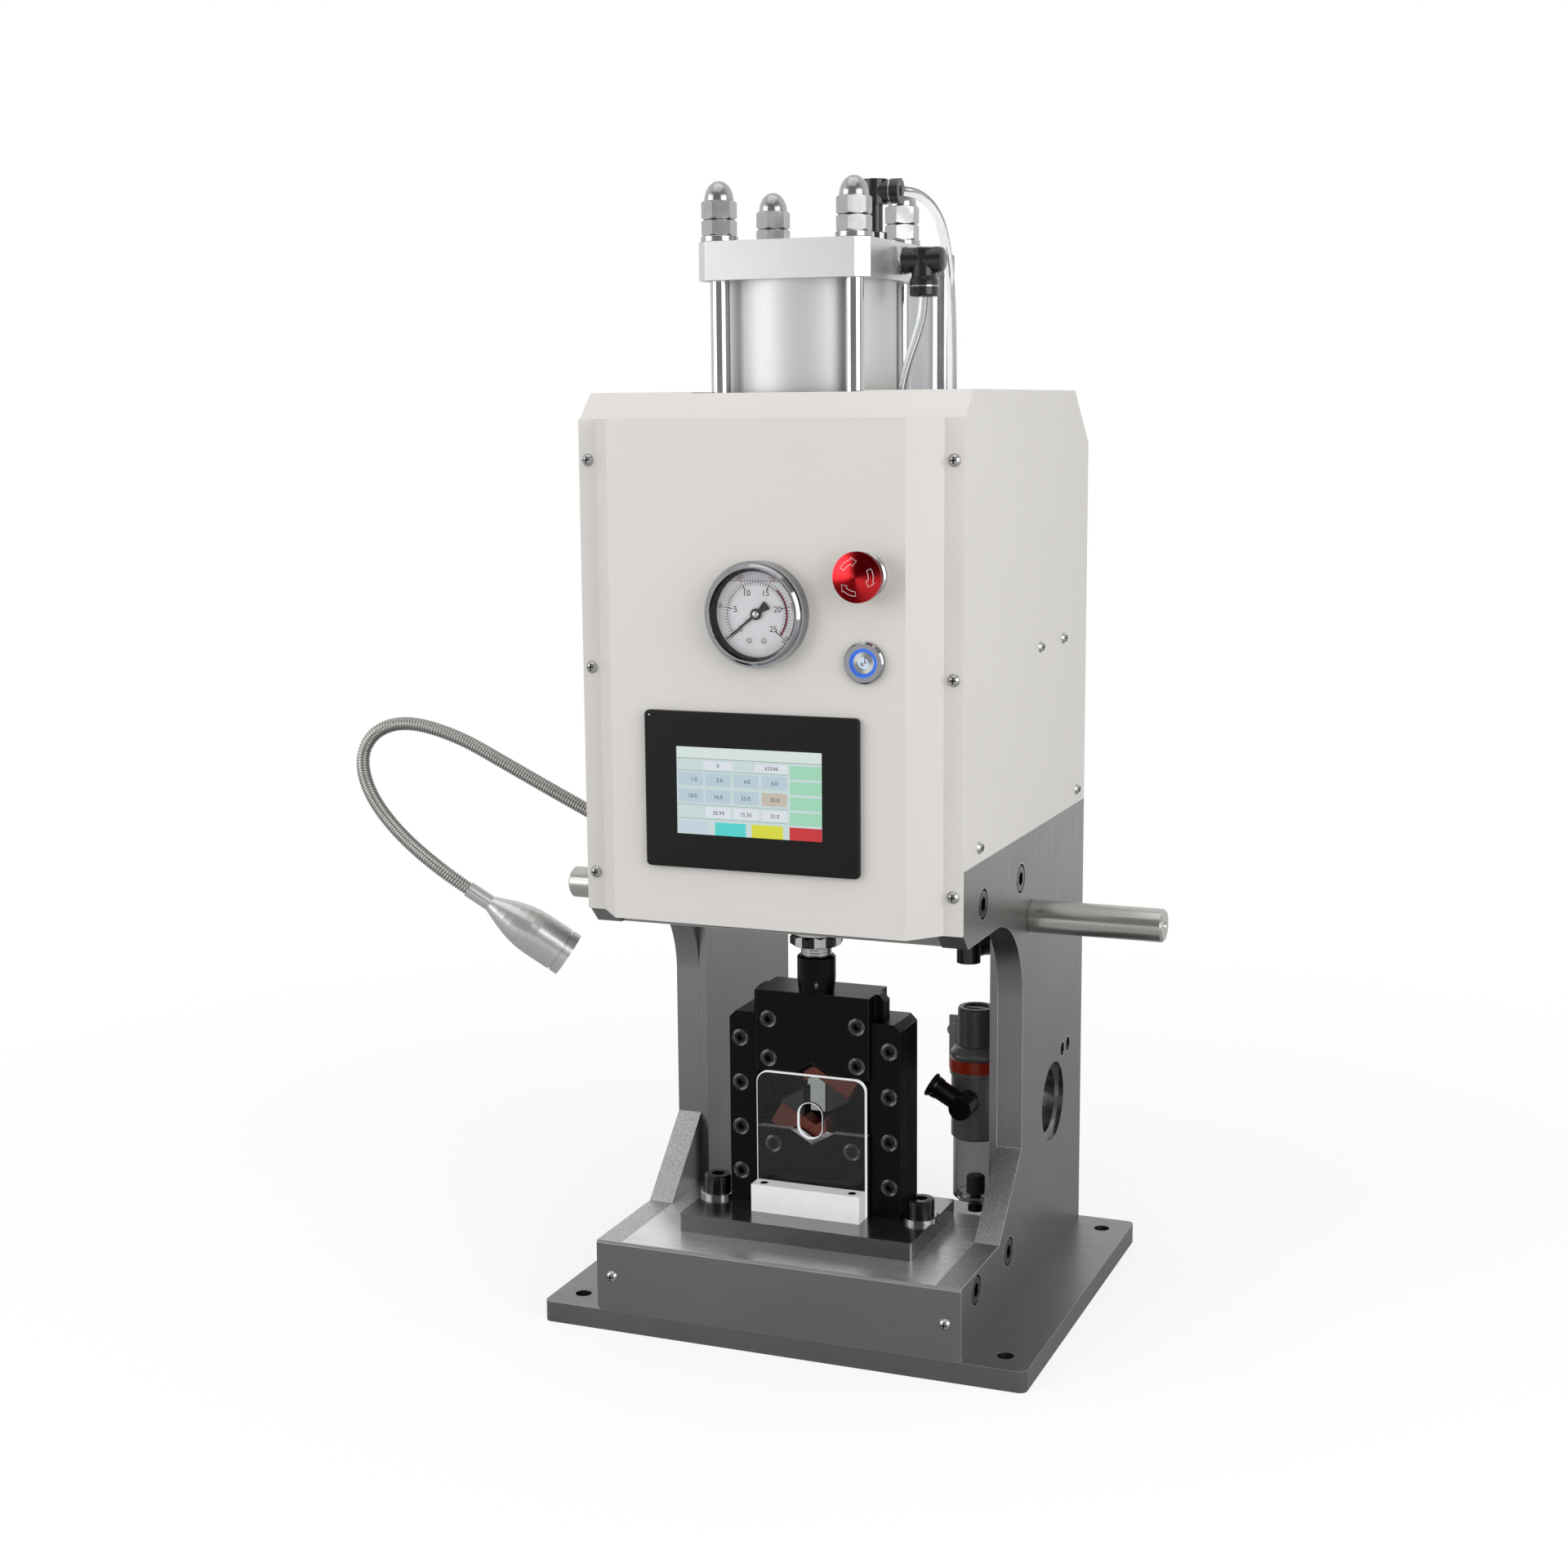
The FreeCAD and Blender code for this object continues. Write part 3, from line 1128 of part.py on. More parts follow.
def left_jaw_outline():
    """Return the closed left jaw, a triangle that stands on the fixed jaw's face."""
    end = -JAW_CLOSED_APOTHEM
    base = -end * jaw_slope
    span = jaw_side + closed_height
    tip = -span / 2 / jaw_slope
    return [(end, base), (end, span - base), (tip, span / 2)]


def inset(outline, gap):
    """Move every side of a convex outline inwards by a gap."""
    centre_x = sum(point[0] for point in outline) / len(outline)
    centre_z = sum(point[1] for point in outline) / len(outline)
    lines = []
    for (x0, z0), (x1, z1) in zip(outline, outline[1:] + outline[:1]):
        length = math.hypot(x1 - x0, z1 - z0)
        nx, nz = (z1 - z0) / length, (x0 - x1) / length
        if nx * (centre_x - x0) + nz * (centre_z - z0) < 0:
            nx, nz = -nx, -nz
        lines.append((nx, nz, nx * x0 + nz * z0 + gap))
    corners = []
    for (a, b, c), (d, e, f) in zip(lines[-1:] + lines[:-1], lines):
        determinant = a * e - b * d
        corners.append(((c * e - b * f) / determinant, (a * f - c * d) / determinant))
    return corners


def jaw(outline):
    """Extrude a jaw from its outline about the hexagon's lowest corner."""
    return prism_y([(x, z + jaw_seat) for x, z in outline], (jaw_front, jaw_back))


def upper(shape):
    """Turn a closed lower jaw half a turn about the jaws' centre, then open the slider."""
    result = shape.copy()
    result.rotate(vector(0, 0, closed_centre), vector(0, 1, 0), 180)
    result.translate(vector(0, 0, RAM_STROKE))
    return result


def opened(shape, angle):
    """Slide a closed jaw back to its open place along a direction."""
    result = shape.copy()
    along = jaw_direction(angle)
    result.translate(vector(jaw_slide * along[0], 0, jaw_slide * along[1]))
    return result


def jaw_bottom_left():
    """Jaw fixed in the lower die block."""
    return jaw(fixed_jaw_outline())


def jaw_bottom_right():
    """Lower right jaw that slides down its pocket as the slider closes."""
    return opened(jaw(inset(sliding_jaw_outline(), JAW_GAP)), 30)


def jaw_left():
    """Left jaw that slides down the fixed jaw's face as the slider closes."""
    return opened(jaw(inset(left_jaw_outline(), JAW_GAP)), 150)


def jaw_top_right():
    """Jaw fixed in the slider, the lower fixed jaw turned by half a turn."""
    return upper(jaw_bottom_left())


def jaw_top_left():
    """Upper left jaw that slides in the slider."""
    return opened(upper(jaw(inset(sliding_jaw_outline(), JAW_GAP))), 210)


def jaw_right():
    """Right jaw that slides along the upper fixed jaw's face."""
    return opened(upper(jaw(inset(left_jaw_outline(), JAW_GAP))), 330)


def lower_pocket():
    """Return the space that the lower block leaves for the jaws and the terminal.

    It holds the jaws' pocket, the notch through both lips with its bevel, and the
    room that the upper fixed jaw's end needs when the slider is down.
    """
    top = die_plate_top + LOWER_BLOCK_HEIGHT
    floor = jaw_seat - jaw_side
    half = (top - floor) / jaw_slope
    pocket = prism_y([(0, floor), (half, top), (-half, top)], (pocket_front, pocket_back))
    notch_floor = top - LIP_HALF_WIDTH * jaw_slope
    notch = prism_y([(0, notch_floor), (LIP_HALF_WIDTH, top), (-LIP_HALF_WIDTH, top)],
                    (block_front, block_back))
    end_x = JAW_LENGTH * math.cos(jaw_tilt)
    end_z = jaw_seat + closed_height - JAW_LENGTH / 2
    reach = end_x + JAW_THICKNESS / 2 + RELIEF_MARGIN
    relief = box((end_x - JAW_THICKNESS / 2, reach), (pocket_front, pocket_back),
                 (end_z - RELIEF_MARGIN, top))
    return Part.makeCompound([pocket, notch, relief]), notch_floor, top


def notch_bevel(y_front, notch_floor, top):
    """Return the bevel round the notch in a lip's front face."""
    drop = LIP_CHAMFER / math.cos(jaw_tilt)
    wires = []
    for y, grow in ((y_front, drop), (y_front + LIP_CHAMFER, 0)):
        floor = notch_floor - grow
        half = (top - floor) / jaw_slope
        wires.append(Part.makePolygon([vector(0, y, floor), vector(half, y, top),
                                       vector(-half, y, top), vector(0, y, floor)]))
    return Part.makeLoft(wires, True, True)


def front_head_holes(places, y_face):
    """Return counterbores for small cap screws whose heads lie below a front face."""
    holes = []
    for x, z in places:
        head_back = y_face + SMALL_HEAD_HEIGHT
        holes.append(cylinder(SMALL_HEAD_RADIUS + SMALL_COUNTERBORE_GAP,
                              vector(x, y_face, z), vector(x, head_back, z)))
        holes.append(cylinder(SMALL_SCREW_RADIUS, vector(x, head_back, z),
                              vector(x, head_back + SMALL_SCREW_GRIP, z)))
    return Part.makeCompound(holes)


def front_head_screws(places, y_face):
    """Return small cap screws seated in their counterbores."""
    screw = socket_screw(SMALL_SCREW_RADIUS, SMALL_SCREW_GRIP, SMALL_HEAD_RADIUS,
                         SMALL_HEAD_HEIGHT)
    return [placed(screw, vector(x, y_face + SMALL_HEAD_HEIGHT, z), vector(0, -1, 0))
            for x, z in places]


def lower_screw_places():
    """Return the (x, z) places of the screws in the lower block."""
    z = die_plate_top + LOWER_BLOCK_HEIGHT - LOWER_SCREW_DROP
    return [(-LOWER_SCREW_OFFSET, z), (LOWER_SCREW_OFFSET, z)]


def slider_screw_places():
    """Return the (x, z) places of the screws in the slider."""
    return [(side * SLIDER_SCREW_OFFSET, SLIDER_BOTTOM + rise)
            for side in (-1, 1) for rise in SLIDER_SCREW_RISES]


def gib_screw_places():
    """Return the (x, z) places of the screws through the gib plates."""
    first = die_plate_top + GIB_SCREW_FIRST
    return [(side * GIB_SCREW_OFFSET, first + GIB_SCREW_PITCH * step)
            for side in (-1, 1) for step in range(GIB_SCREW_COUNT)]


def lower_die_block():
    """Lower die block with the V pocket of the jaws between two lips."""
    half = GUIDE_HALF_WIDTH - SLIDE_CLEARANCE
    top = die_plate_top + LOWER_BLOCK_HEIGHT
    block = box((-half, half), (block_front, block_back), (die_plate_top, top))
    space, notch_floor, top = lower_pocket()
    block = block.cut(space).cut(notch_bevel(block_front, notch_floor, top))
    return block.cut(front_head_holes(lower_screw_places(), block_front))


def slider_block():
    """Slider with its ears in the guides and the turned pocket of the upper jaws."""
    half = GUIDE_HALF_WIDTH - SLIDE_CLEARANCE
    ear_half = half + EAR_SLOT_WIDTH
    ear_front = guide_front + SLIDE_CLEARANCE
    ear_back = guide_front + EAR_SLOT_DEPTH - SLIDE_CLEARANCE
    body = box((-half, half), (block_front, block_back), (SLIDER_BOTTOM, slider_top))
    corner = ear_half - SLIDER_CHAMFER
    shoulder = slider_top - SLIDER_CHAMFER
    ears = prism_y([(-ear_half, SLIDER_BOTTOM), (ear_half, SLIDER_BOTTOM),
                    (ear_half, shoulder), (corner, slider_top),
                    (-corner, slider_top), (-ear_half, shoulder)], (ear_front, ear_back))
    block = body.fuse(ears).removeSplitter()
    space = upper_space()
    block = block.cut(space)
    block = block.cut(front_head_holes(slider_screw_places(), block_front))
    spigot = cylinder(COUPLING_SPIGOT_RADIUS,
                      vector(0, ram_y, slider_top - COUPLING_SPIGOT_LENGTH),
                      vector(0, ram_y, slider_top))
    return block.cut(spigot)


def upper_space():
    """Return the jaws' space in the slider, the lower one turned and lifted."""
    space, notch_floor, top = lower_pocket()
    bevel = notch_bevel(block_front, notch_floor, top)
    turned_space = upper(Part.makeCompound([space, bevel]))
    turned_top = 2 * closed_centre - top + RAM_STROKE
    turned_space.translate(vector(0, 0, SLIDER_BOTTOM - turned_top))
    return Part.makeCompound([turned_space, upper_pocket()])


def upper_pocket():
    """Return the jaws' own pocket in the slider, up to its inverted V."""
    apex = jaw_seat + closed_height + jaw_side + RAM_STROKE
    half = (apex - SLIDER_BOTTOM) / jaw_slope
    pocket = prism_y([(0, apex), (half, SLIDER_BOTTOM), (-half, SLIDER_BOTTOM)],
                     (pocket_front, pocket_back))
    end_x = JAW_LENGTH * math.cos(jaw_tilt)
    end_z = jaw_seat + JAW_LENGTH / 2 + RAM_STROKE
    reach = end_x + JAW_THICKNESS / 2 + RELIEF_MARGIN
    relief = box((-reach, JAW_THICKNESS / 2 - end_x), (pocket_front, pocket_back),
                 (SLIDER_BOTTOM, end_z + RELIEF_MARGIN))
    return Part.makeCompound([pocket, relief])


def slider_screws():
    """Four cap screws in the slider's face."""
    return Part.makeCompound(front_head_screws(slider_screw_places(), block_front))


def die_base_plate():
    """Plate under the die set, bolted to the bed at both ends."""
    half_width = die_plate_half
    half_depth = DIE_PLATE_DEPTH / 2
    plate = box((-half_width, half_width), (ram_y - half_depth, ram_y + half_depth),
                (bed_top, die_plate_top))
    edges = edges_along(plate, vector(0, 0, 1))
    plate = plate.makeChamfer(DIE_PLATE_THICKNESS / 10, edges)
    for side in (-1, 1):
        plate = plate.cut(cylinder(BIG_SCREW_RADIUS,
                                   vector(side * die_bolt_x, ram_y, bed_top),
                                   vector(side * die_bolt_x, ram_y, die_plate_top)))
    return plate.cut(clamp_screw_shanks())


def guide_outline(x_inner):
    """Return a guide's (x, z) outline with its outer top corner cut off."""
    x_outer = GUIDE_HALF_WIDTH + GUIDE_WIDTH
    return [(x_inner, die_plate_top), (x_outer, die_plate_top),
            (x_outer, guide_top - GUIDE_CHAMFER), (x_outer - GUIDE_CHAMFER, guide_top),
            (x_inner, guide_top)]


def die_column():
    """Right guide column with the slot for the slider's ear."""
    column = prism_y(guide_outline(GUIDE_HALF_WIDTH), (guide_front, guide_back))
    slot = box((GUIDE_HALF_WIDTH, GUIDE_HALF_WIDTH + EAR_SLOT_WIDTH),
               (guide_front, guide_front + EAR_SLOT_DEPTH), (die_plate_top, guide_top))
    return column.cut(slot).cut(gib_screw_holes())


def gib_screw_holes():
    """Return the counterbored holes of all the gib screws."""
    return front_head_holes(gib_screw_places(), guide_front - GIB_THICKNESS)


def gib_plates():
    """Two keeper plates in front of the guide columns."""
    plate = prism_y(guide_outline(GUIDE_HALF_WIDTH), (guide_front - GIB_THICKNESS, guide_front))
    plate = plate.cut(gib_screw_holes())
    return Part.makeCompound([plate, mirrored(plate)])


def die_screws():
    """Cap screws of the gib plates and the lower block, and the guard clamp's two."""
    screws = front_head_screws(gib_screw_places(), guide_front - GIB_THICKNESS)
    screws += front_head_screws(lower_screw_places(), block_front)
    length = CLAMP_HEIGHT - CLAMP_HEAD_HEIGHT + DIE_PLATE_THICKNESS / 2
    small = socket_screw(CLAMP_SCREW_RADIUS, length, CLAMP_HEAD_RADIUS, CLAMP_HEAD_HEIGHT)
    seat = die_plate_top + CLAMP_HEIGHT - CLAMP_HEAD_HEIGHT
    for side in (-1, 1):
        screws.append(placed(small, vector(side * CLAMP_SCREW_OFFSET, clamp_middle(), seat),
                             vector(0, 0, 1)))
    return Part.makeCompound(screws)


def clamp_middle():
    """Return the y of the guard clamp's screws."""
    return guard_front - CLAMP_DEPTH / 2


def clamp_screw_shanks():
    """Return the shanks of the guard clamp's screws, down into the die plate."""
    bottom = die_plate_top - DIE_PLATE_THICKNESS / 2
    top = die_plate_top + CLAMP_HEIGHT
    return Part.makeCompound([
        cylinder(CLAMP_SCREW_RADIUS, vector(side * CLAMP_SCREW_OFFSET, clamp_middle(), bottom),
                 vector(side * CLAMP_SCREW_OFFSET, clamp_middle(), top))
        for side in (-1, 1)])


def guard_sheet():
    """Clear sheet in front of the jaws with an oval slot for the terminal."""
    sheet = box((-GUARD_HALF_WIDTH, GUARD_HALF_WIDTH), (guard_front, guard_back),
                (die_plate_top, die_plate_top + GUARD_HEIGHT))
    upper_edges = [edge for edge in edges_along(sheet, vector(0, 1, 0))
                   if edge.BoundBox.ZMin > die_plate_top + 1]
    sheet = sheet.makeFillet(GUARD_CORNER_RADIUS, upper_edges)
    centre_z = die_plate_top + GUARD_SLOT_RISE
    radius = GUARD_SLOT_WIDTH / 2
    rise = GUARD_SLOT_HEIGHT / 2 - radius
    slot = box((GUARD_SLOT_X - radius, GUARD_SLOT_X + radius), (guard_front, guard_back),
               (centre_z - rise, centre_z + rise))
    for z in (centre_z - rise, centre_z + rise):
        slot = slot.fuse(cylinder(radius, vector(GUARD_SLOT_X, guard_front, z),
                                  vector(GUARD_SLOT_X, guard_back, z)))
    return sheet.cut(slot)


def guard_clamp():
    """Block that presses the guard's foot against the lower die block."""
    block = box((-CLAMP_HALF_WIDTH, CLAMP_HALF_WIDTH), (guard_front - CLAMP_DEPTH, guard_front),
                (die_plate_top, die_plate_top + CLAMP_HEIGHT))
    top = die_plate_top + CLAMP_HEIGHT
    for side in (-1, 1):
        seat = vector(side * CLAMP_SCREW_OFFSET, clamp_middle(), top - CLAMP_HEAD_HEIGHT)
        mouth = vector(side * CLAMP_SCREW_OFFSET, clamp_middle(), top)
        block = block.cut(cylinder(CLAMP_HEAD_RADIUS + CUTOUT_CLEARANCE, seat, mouth))
    return block.cut(clamp_screw_shanks())


def at_regulator(shape):
    """Move a shape from the Z axis to the regulator's axis."""
    shape.translate(vector(regulator_x, regulator_y, 0))
    return shape


def regulator_body():
    """Regulator body with its wider ring, neck and stem, and the elbow's port."""
    stem_top = regulator_neck + BRACKET_SHEET + STEM_HEIGHT
    body = at_regulator(turned([
        (0, BOWL_TOP), (BODY_RADIUS - BODY_BEVEL, BOWL_TOP), (BODY_RADIUS, BOWL_TOP + BODY_BEVEL),
        (BODY_RADIUS, BODY_TOP), (RING_RADIUS, BODY_TOP + RING_BEVEL),
        (RING_RADIUS, regulator_neck - RING_BEVEL), (RING_RADIUS - RING_BEVEL, regulator_neck),
        (NECK_RADIUS, regulator_neck), (NECK_RADIUS, regulator_neck + BRACKET_SHEET),
        (STEM_RADIUS, regulator_neck + BRACKET_SHEET), (STEM_RADIUS, stem_top),
        (0, stem_top)]))
    boss = cylinder(ELBOW_HUB_RADIUS, vector(regulator_x, regulator_y, REGULATOR_ELBOW_Z),
                    vector(regulator_x, regulator_boss, REGULATOR_ELBOW_Z))
    return body.fuse(boss).removeSplitter()


def regulator_bowl():
    """Clear bowl under the body, round at the bottom, with a drain seat."""
    outer = BOWL_RADIUS
    inner = BOWL_RADIUS - BOWL_WALL
    drain = DRAIN_RADIUS + TURN_CLEARANCE
    taper = BOWL_RADIUS / 4
    bowl = turned([
        (drain, BOWL_BOTTOM), (outer - taper, BOWL_BOTTOM), (outer, BOWL_BOTTOM + taper),
        (outer, BOWL_TOP), (inner, BOWL_TOP), (inner, BOWL_BOTTOM + taper + BOWL_WALL),
        (inner - taper, BOWL_BOTTOM + BOWL_WALL), (drain, BOWL_BOTTOM + BOWL_WALL)])
    return at_regulator(bowl)


def drain_valve():
    """Push-type drain valve in the bottom of the bowl."""
    bottom = BOWL_BOTTOM + BOWL_WALL + DRAIN_LIFT + DRAIN_TRAVEL - DRAIN_LENGTH
    seat = BOWL_BOTTOM - DRAIN_TRAVEL - DRAIN_GAP
    valve = turned([(0, bottom), (DRAIN_HEAD_RADIUS, bottom), (DRAIN_HEAD_RADIUS, seat),
                    (DRAIN_RADIUS, seat), (DRAIN_RADIUS, bottom + DRAIN_LENGTH),
                    (0, bottom + DRAIN_LENGTH)])
    return at_regulator(valve)


def regulator_knob():
    """Fluted knob that turns on the regulator's stem, recessed on top."""
    bottom = regulator_neck + BRACKET_SHEET + KNOB_GAP
    top = bottom + KNOB_HEIGHT
    bore = STEM_RADIUS + TURN_CLEARANCE
    bore_top = regulator_neck + BRACKET_SHEET + STEM_HEIGHT + TURN_CLEARANCE
    knob = turned([
        (bore, bottom), (KNOB_RADIUS, bottom), (KNOB_RADIUS, top - KNOB_BEVEL),
        (KNOB_RADIUS - KNOB_BEVEL, top), (KNOB_RECESS_RADIUS, top),
        (KNOB_RECESS_RADIUS, top - KNOB_RECESS_DEPTH), (0, top - KNOB_RECESS_DEPTH),
        (0, bore_top), (bore, bore_top)])
    flutes = []
    for step in range(KNOB_FLUTES):
        angle = 2 * math.pi * step / KNOB_FLUTES
        x = KNOB_RADIUS * math.cos(angle)
        y = KNOB_RADIUS * math.sin(angle)
        flutes.append(cylinder(KNOB_FLUTE_RADIUS, vector(x, y, bottom),
                               vector(x, y, top - 2 * KNOB_RECESS_DEPTH)))
    return at_regulator(knob.cut(Part.makeCompound(flutes)))


def regulator_bracket():
    """Bent bracket from the regulator's neck to the inner post, with a thumb screw."""
    shelf_bottom = regulator_neck
    shelf_top = regulator_neck + BRACKET_SHEET
    wall_front = regulator_y + BRACKET_WALL_GAP
    wall_back = wall_front + BRACKET_SHEET
    left = regulator_x - BRACKET_LEFT_REACH
    bottom = shelf_top - BRACKET_HEIGHT / 2
    top = bottom + BRACKET_HEIGHT
    wall = box((left, post_inner), (wall_front, wall_back), (bottom, top))
    shelf = box((regulator_x - KNOB_RADIUS, regulator_x + KNOB_RADIUS),
                (regulator_y - KNOB_RADIUS, wall_front), (shelf_bottom, shelf_top))
    neck = cylinder(NECK_RADIUS, vector(regulator_x, regulator_y, shelf_bottom),
                    vector(regulator_x, regulator_y, shelf_top))
    front_corners = [edge for edge in edges_along(shelf, vector(0, 0, 1))
                     if edge.BoundBox.YMax < regulator_y]
    shelf = shelf.makeFillet(KNOB_RADIUS / 2, front_corners)
    flange = box((post_inner - BRACKET_SHEET, post_inner),
                 (wall_back - BRACKET_FLANGE_DEPTH, wall_back), (bottom, top))
    bracket = wall.fuse(shelf).fuse(flange).removeSplitter().cut(neck)
    thumb_x = left + THUMB_INSET
    thumb_z = top - THUMB_DROP
    stud = cylinder(THUMB_STUD_RADIUS, vector(thumb_x, wall_front, thumb_z),
                    vector(thumb_x, wall_back, thumb_z))
    thumb = cylinder(THUMB_RADIUS, vector(thumb_x, wall_front - THUMB_HEIGHT, thumb_z),
                     vector(thumb_x, wall_front, thumb_z)).fuse(stud).removeSplitter()
    return Part.makeCompound([bracket.cut(stud), thumb])


def push_in_elbow(hub_height, arm_length, arm_angle, radius, hub_radius, collar_radius):
    """Return an elbow along +Z with an arm at an angle in its XY plane and a hose socket."""
    axis = hub_height / 2
    angle = math.radians(arm_angle)
    direction = vector(math.cos(angle), math.sin(angle), 0)
    start = vector(0, 0, axis)
    end = start.add(vector(direction.x * arm_length, direction.y * arm_length, 0))
    inner = end.sub(vector(direction.x * ELBOW_COLLAR_LENGTH,
                           direction.y * ELBOW_COLLAR_LENGTH, 0))
    hub = Part.makeCylinder(hub_radius, hub_height)
    arm = cylinder(radius, start, end)
    collar = cylinder(collar_radius, inner, end)
    socket_start = end.sub(vector(direction.x * HOSE_DEPTH_IN_ELBOW,
                                  direction.y * HOSE_DEPTH_IN_ELBOW, 0))
    socket = cylinder(HOSE_RADIUS, socket_start, end)
    return hub.fuse(arm).fuse(collar).removeSplitter().cut(socket)


def regulator_elbow():
    """Push-in elbow on the front of the regulator, pointing up to the left."""
    elbow = push_in_elbow(REGULATOR_ELBOW_HUB, REGULATOR_ELBOW_ARM, REGULATOR_ELBOW_ANGLE,
                          ELBOW_RADIUS, ELBOW_HUB_RADIUS, ELBOW_COLLAR_RADIUS)
    return placed(elbow, vector(regulator_x, regulator_boss, REGULATOR_ELBOW_Z),
                  vector(0, -1, 0))


def head_elbow():
    """Elbow under the head with a hexagon on its stem, pointing back."""
    stem_bottom = head_bottom - HEAD_ELBOW_STEM
    stem = cylinder(FITTING_STEM_RADIUS, vector(head_elbow_x, head_elbow_y, stem_bottom),
                    vector(head_elbow_x, head_elbow_y, head_bottom))
    hexagon = placed(chamfered_hexagon(FITTING_HEX_FLATS, FITTING_HEX_HEIGHT),
                     vector(head_elbow_x, head_elbow_y, stem_bottom), vector(0, 0, 1))
    elbow = push_in_elbow(HEAD_ELBOW_HUB, HEAD_ELBOW_ARM, HEAD_ELBOW_ANGLE,
                          ELBOW_RADIUS, ELBOW_HUB_RADIUS, ELBOW_COLLAR_RADIUS)
    elbow.translate(vector(head_elbow_x, head_elbow_y, stem_bottom - HEAD_ELBOW_HUB))
    return stem.fuse(hexagon).fuse(elbow).removeSplitter()


def side_elbow_axis():
    """Return the height of the side elbow and the x of its vertical arm."""
    height = barrel_top + CYLINDER_TOP_HEIGHT / 2
    seat = CYLINDER_SIDE / 2
    return height, seat + SIDE_FITTING_HEX_LENGTH + SIDE_ELBOW_REACH


def side_elbow():
    """Elbow on the right of the cylinder's top plate, pointing down."""
    height, arm_x = side_elbow_axis()
    seat = CYLINDER_SIDE / 2
    hexagon = placed(chamfered_hexagon(SIDE_FITTING_HEX_FLATS, SIDE_FITTING_HEX_LENGTH),
                     vector(seat, ram_y, height), vector(1, 0, 0))
    body = cylinder(ELBOW_RADIUS, vector(seat + SIDE_FITTING_HEX_LENGTH, ram_y, height),
                    vector(arm_x, ram_y, height))
    end = vector(arm_x, ram_y, height - SIDE_ELBOW_DROP)
    arm = cylinder(SIDE_ELBOW_RADIUS, vector(arm_x, ram_y, height + SIDE_ELBOW_RADIUS), end)
    collar = cylinder(SIDE_COLLAR_RADIUS, end, end.add(vector(0, 0, 2 * ELBOW_COLLAR_LENGTH)))
    socket = cylinder(HOSE_RADIUS, end, end.add(vector(0, 0, HOSE_DEPTH_IN_ELBOW)))
    return hexagon.fuse(body).fuse(arm).fuse(collar).removeSplitter().cut(socket)


def top_elbow():
    """Elbow on top of the cylinder, pointing to the right."""
    y = ram_y + TOP_ELBOW_OFFSET_Y
    seat = vector(TOP_ELBOW_X, y, cylinder_top)
    stem = cylinder(FITTING_STEM_RADIUS, seat, seat.add(vector(0, 0, TOP_ELBOW_STEM)))
    hexagon = placed(chamfered_hexagon(FITTING_HEX_FLATS, FITTING_HEX_HEIGHT), seat,
                     vector(0, 0, 1))
    elbow = push_in_elbow(TOP_ELBOW_HEIGHT, TOP_ELBOW_ARM, 0, ELBOW_RADIUS,
                          ELBOW_HUB_RADIUS, ELBOW_COLLAR_RADIUS)
    elbow.translate(seat.add(vector(0, 0, TOP_ELBOW_STEM)))
    return stem.fuse(hexagon).fuse(elbow).removeSplitter()


def rounded_path(points):
    """Join points by straight runs and tangent arcs; return the wire and its radii."""
    edges = []
    radii = []
    start = points[0]
    for before, corner, after in zip(points, points[1:], points[2:]):
        back = before.sub(corner)
        ahead = after.sub(corner)
        shorter = min(back.Length, ahead.Length)
        turn = math.pi - back.getAngle(ahead)
        setback = 0.45 * shorter
        radius = setback / math.tan(turn / 2)
        radii.append(radius)
        back.normalize()
        ahead.normalize()
        arc_start = corner.add(vector(back.x * setback, back.y * setback, back.z * setback))
        arc_end = corner.add(vector(ahead.x * setback, ahead.y * setback, ahead.z * setback))
        middle = back.add(ahead)
        middle.normalize()
        bulge = radius / math.cos(turn / 2) - radius
        arc_middle = corner.add(vector(middle.x * bulge, middle.y * bulge, middle.z * bulge))
        edges.append(Part.LineSegment(start, arc_start).toShape())
        edges.append(Part.Arc(arc_start, arc_middle, arc_end).toShape())
        start = arc_end
    edges.append(Part.LineSegment(start, points[-1]).toShape())
    return Part.Wire(edges), radii


def tube_along(points, radius):
    """Sweep a round bar along a rounded path."""
    path, radii = rounded_path(points)
    direction = points[1].sub(points[0])
    circle = Part.Wire(Part.makeCircle(radius, points[0], direction))
    tube = path.makePipeShell([circle], True, False)
    expected = math.pi * radius ** 2 * path.Length
    print("route %.1f mm, smallest radius %.1f mm, volume ratio %.4f"
          % (path.Length, min(radii), tube.Volume / expected))
    return tube


def side_hose():
    """Clear hose from the side elbow down into the case's top opening."""
    height, x = side_elbow_axis()
    z = height - SIDE_ELBOW_DROP + HOSE_DEPTH_IN_ELBOW
    points = [vector(x, ram_y, z), vector(x, ram_y, z - 15),
              vector(x - 5.5, ram_y, z - 32), vector(x - 10.8, ram_y, z - 48),
              vector(x - 13.8, ram_y, z - 62), vector(x - 14.5, ram_y, z - 80),
              vector(x - 14.6, ram_y, z - 98)]
    return tube_along(points, HOSE_RADIUS)


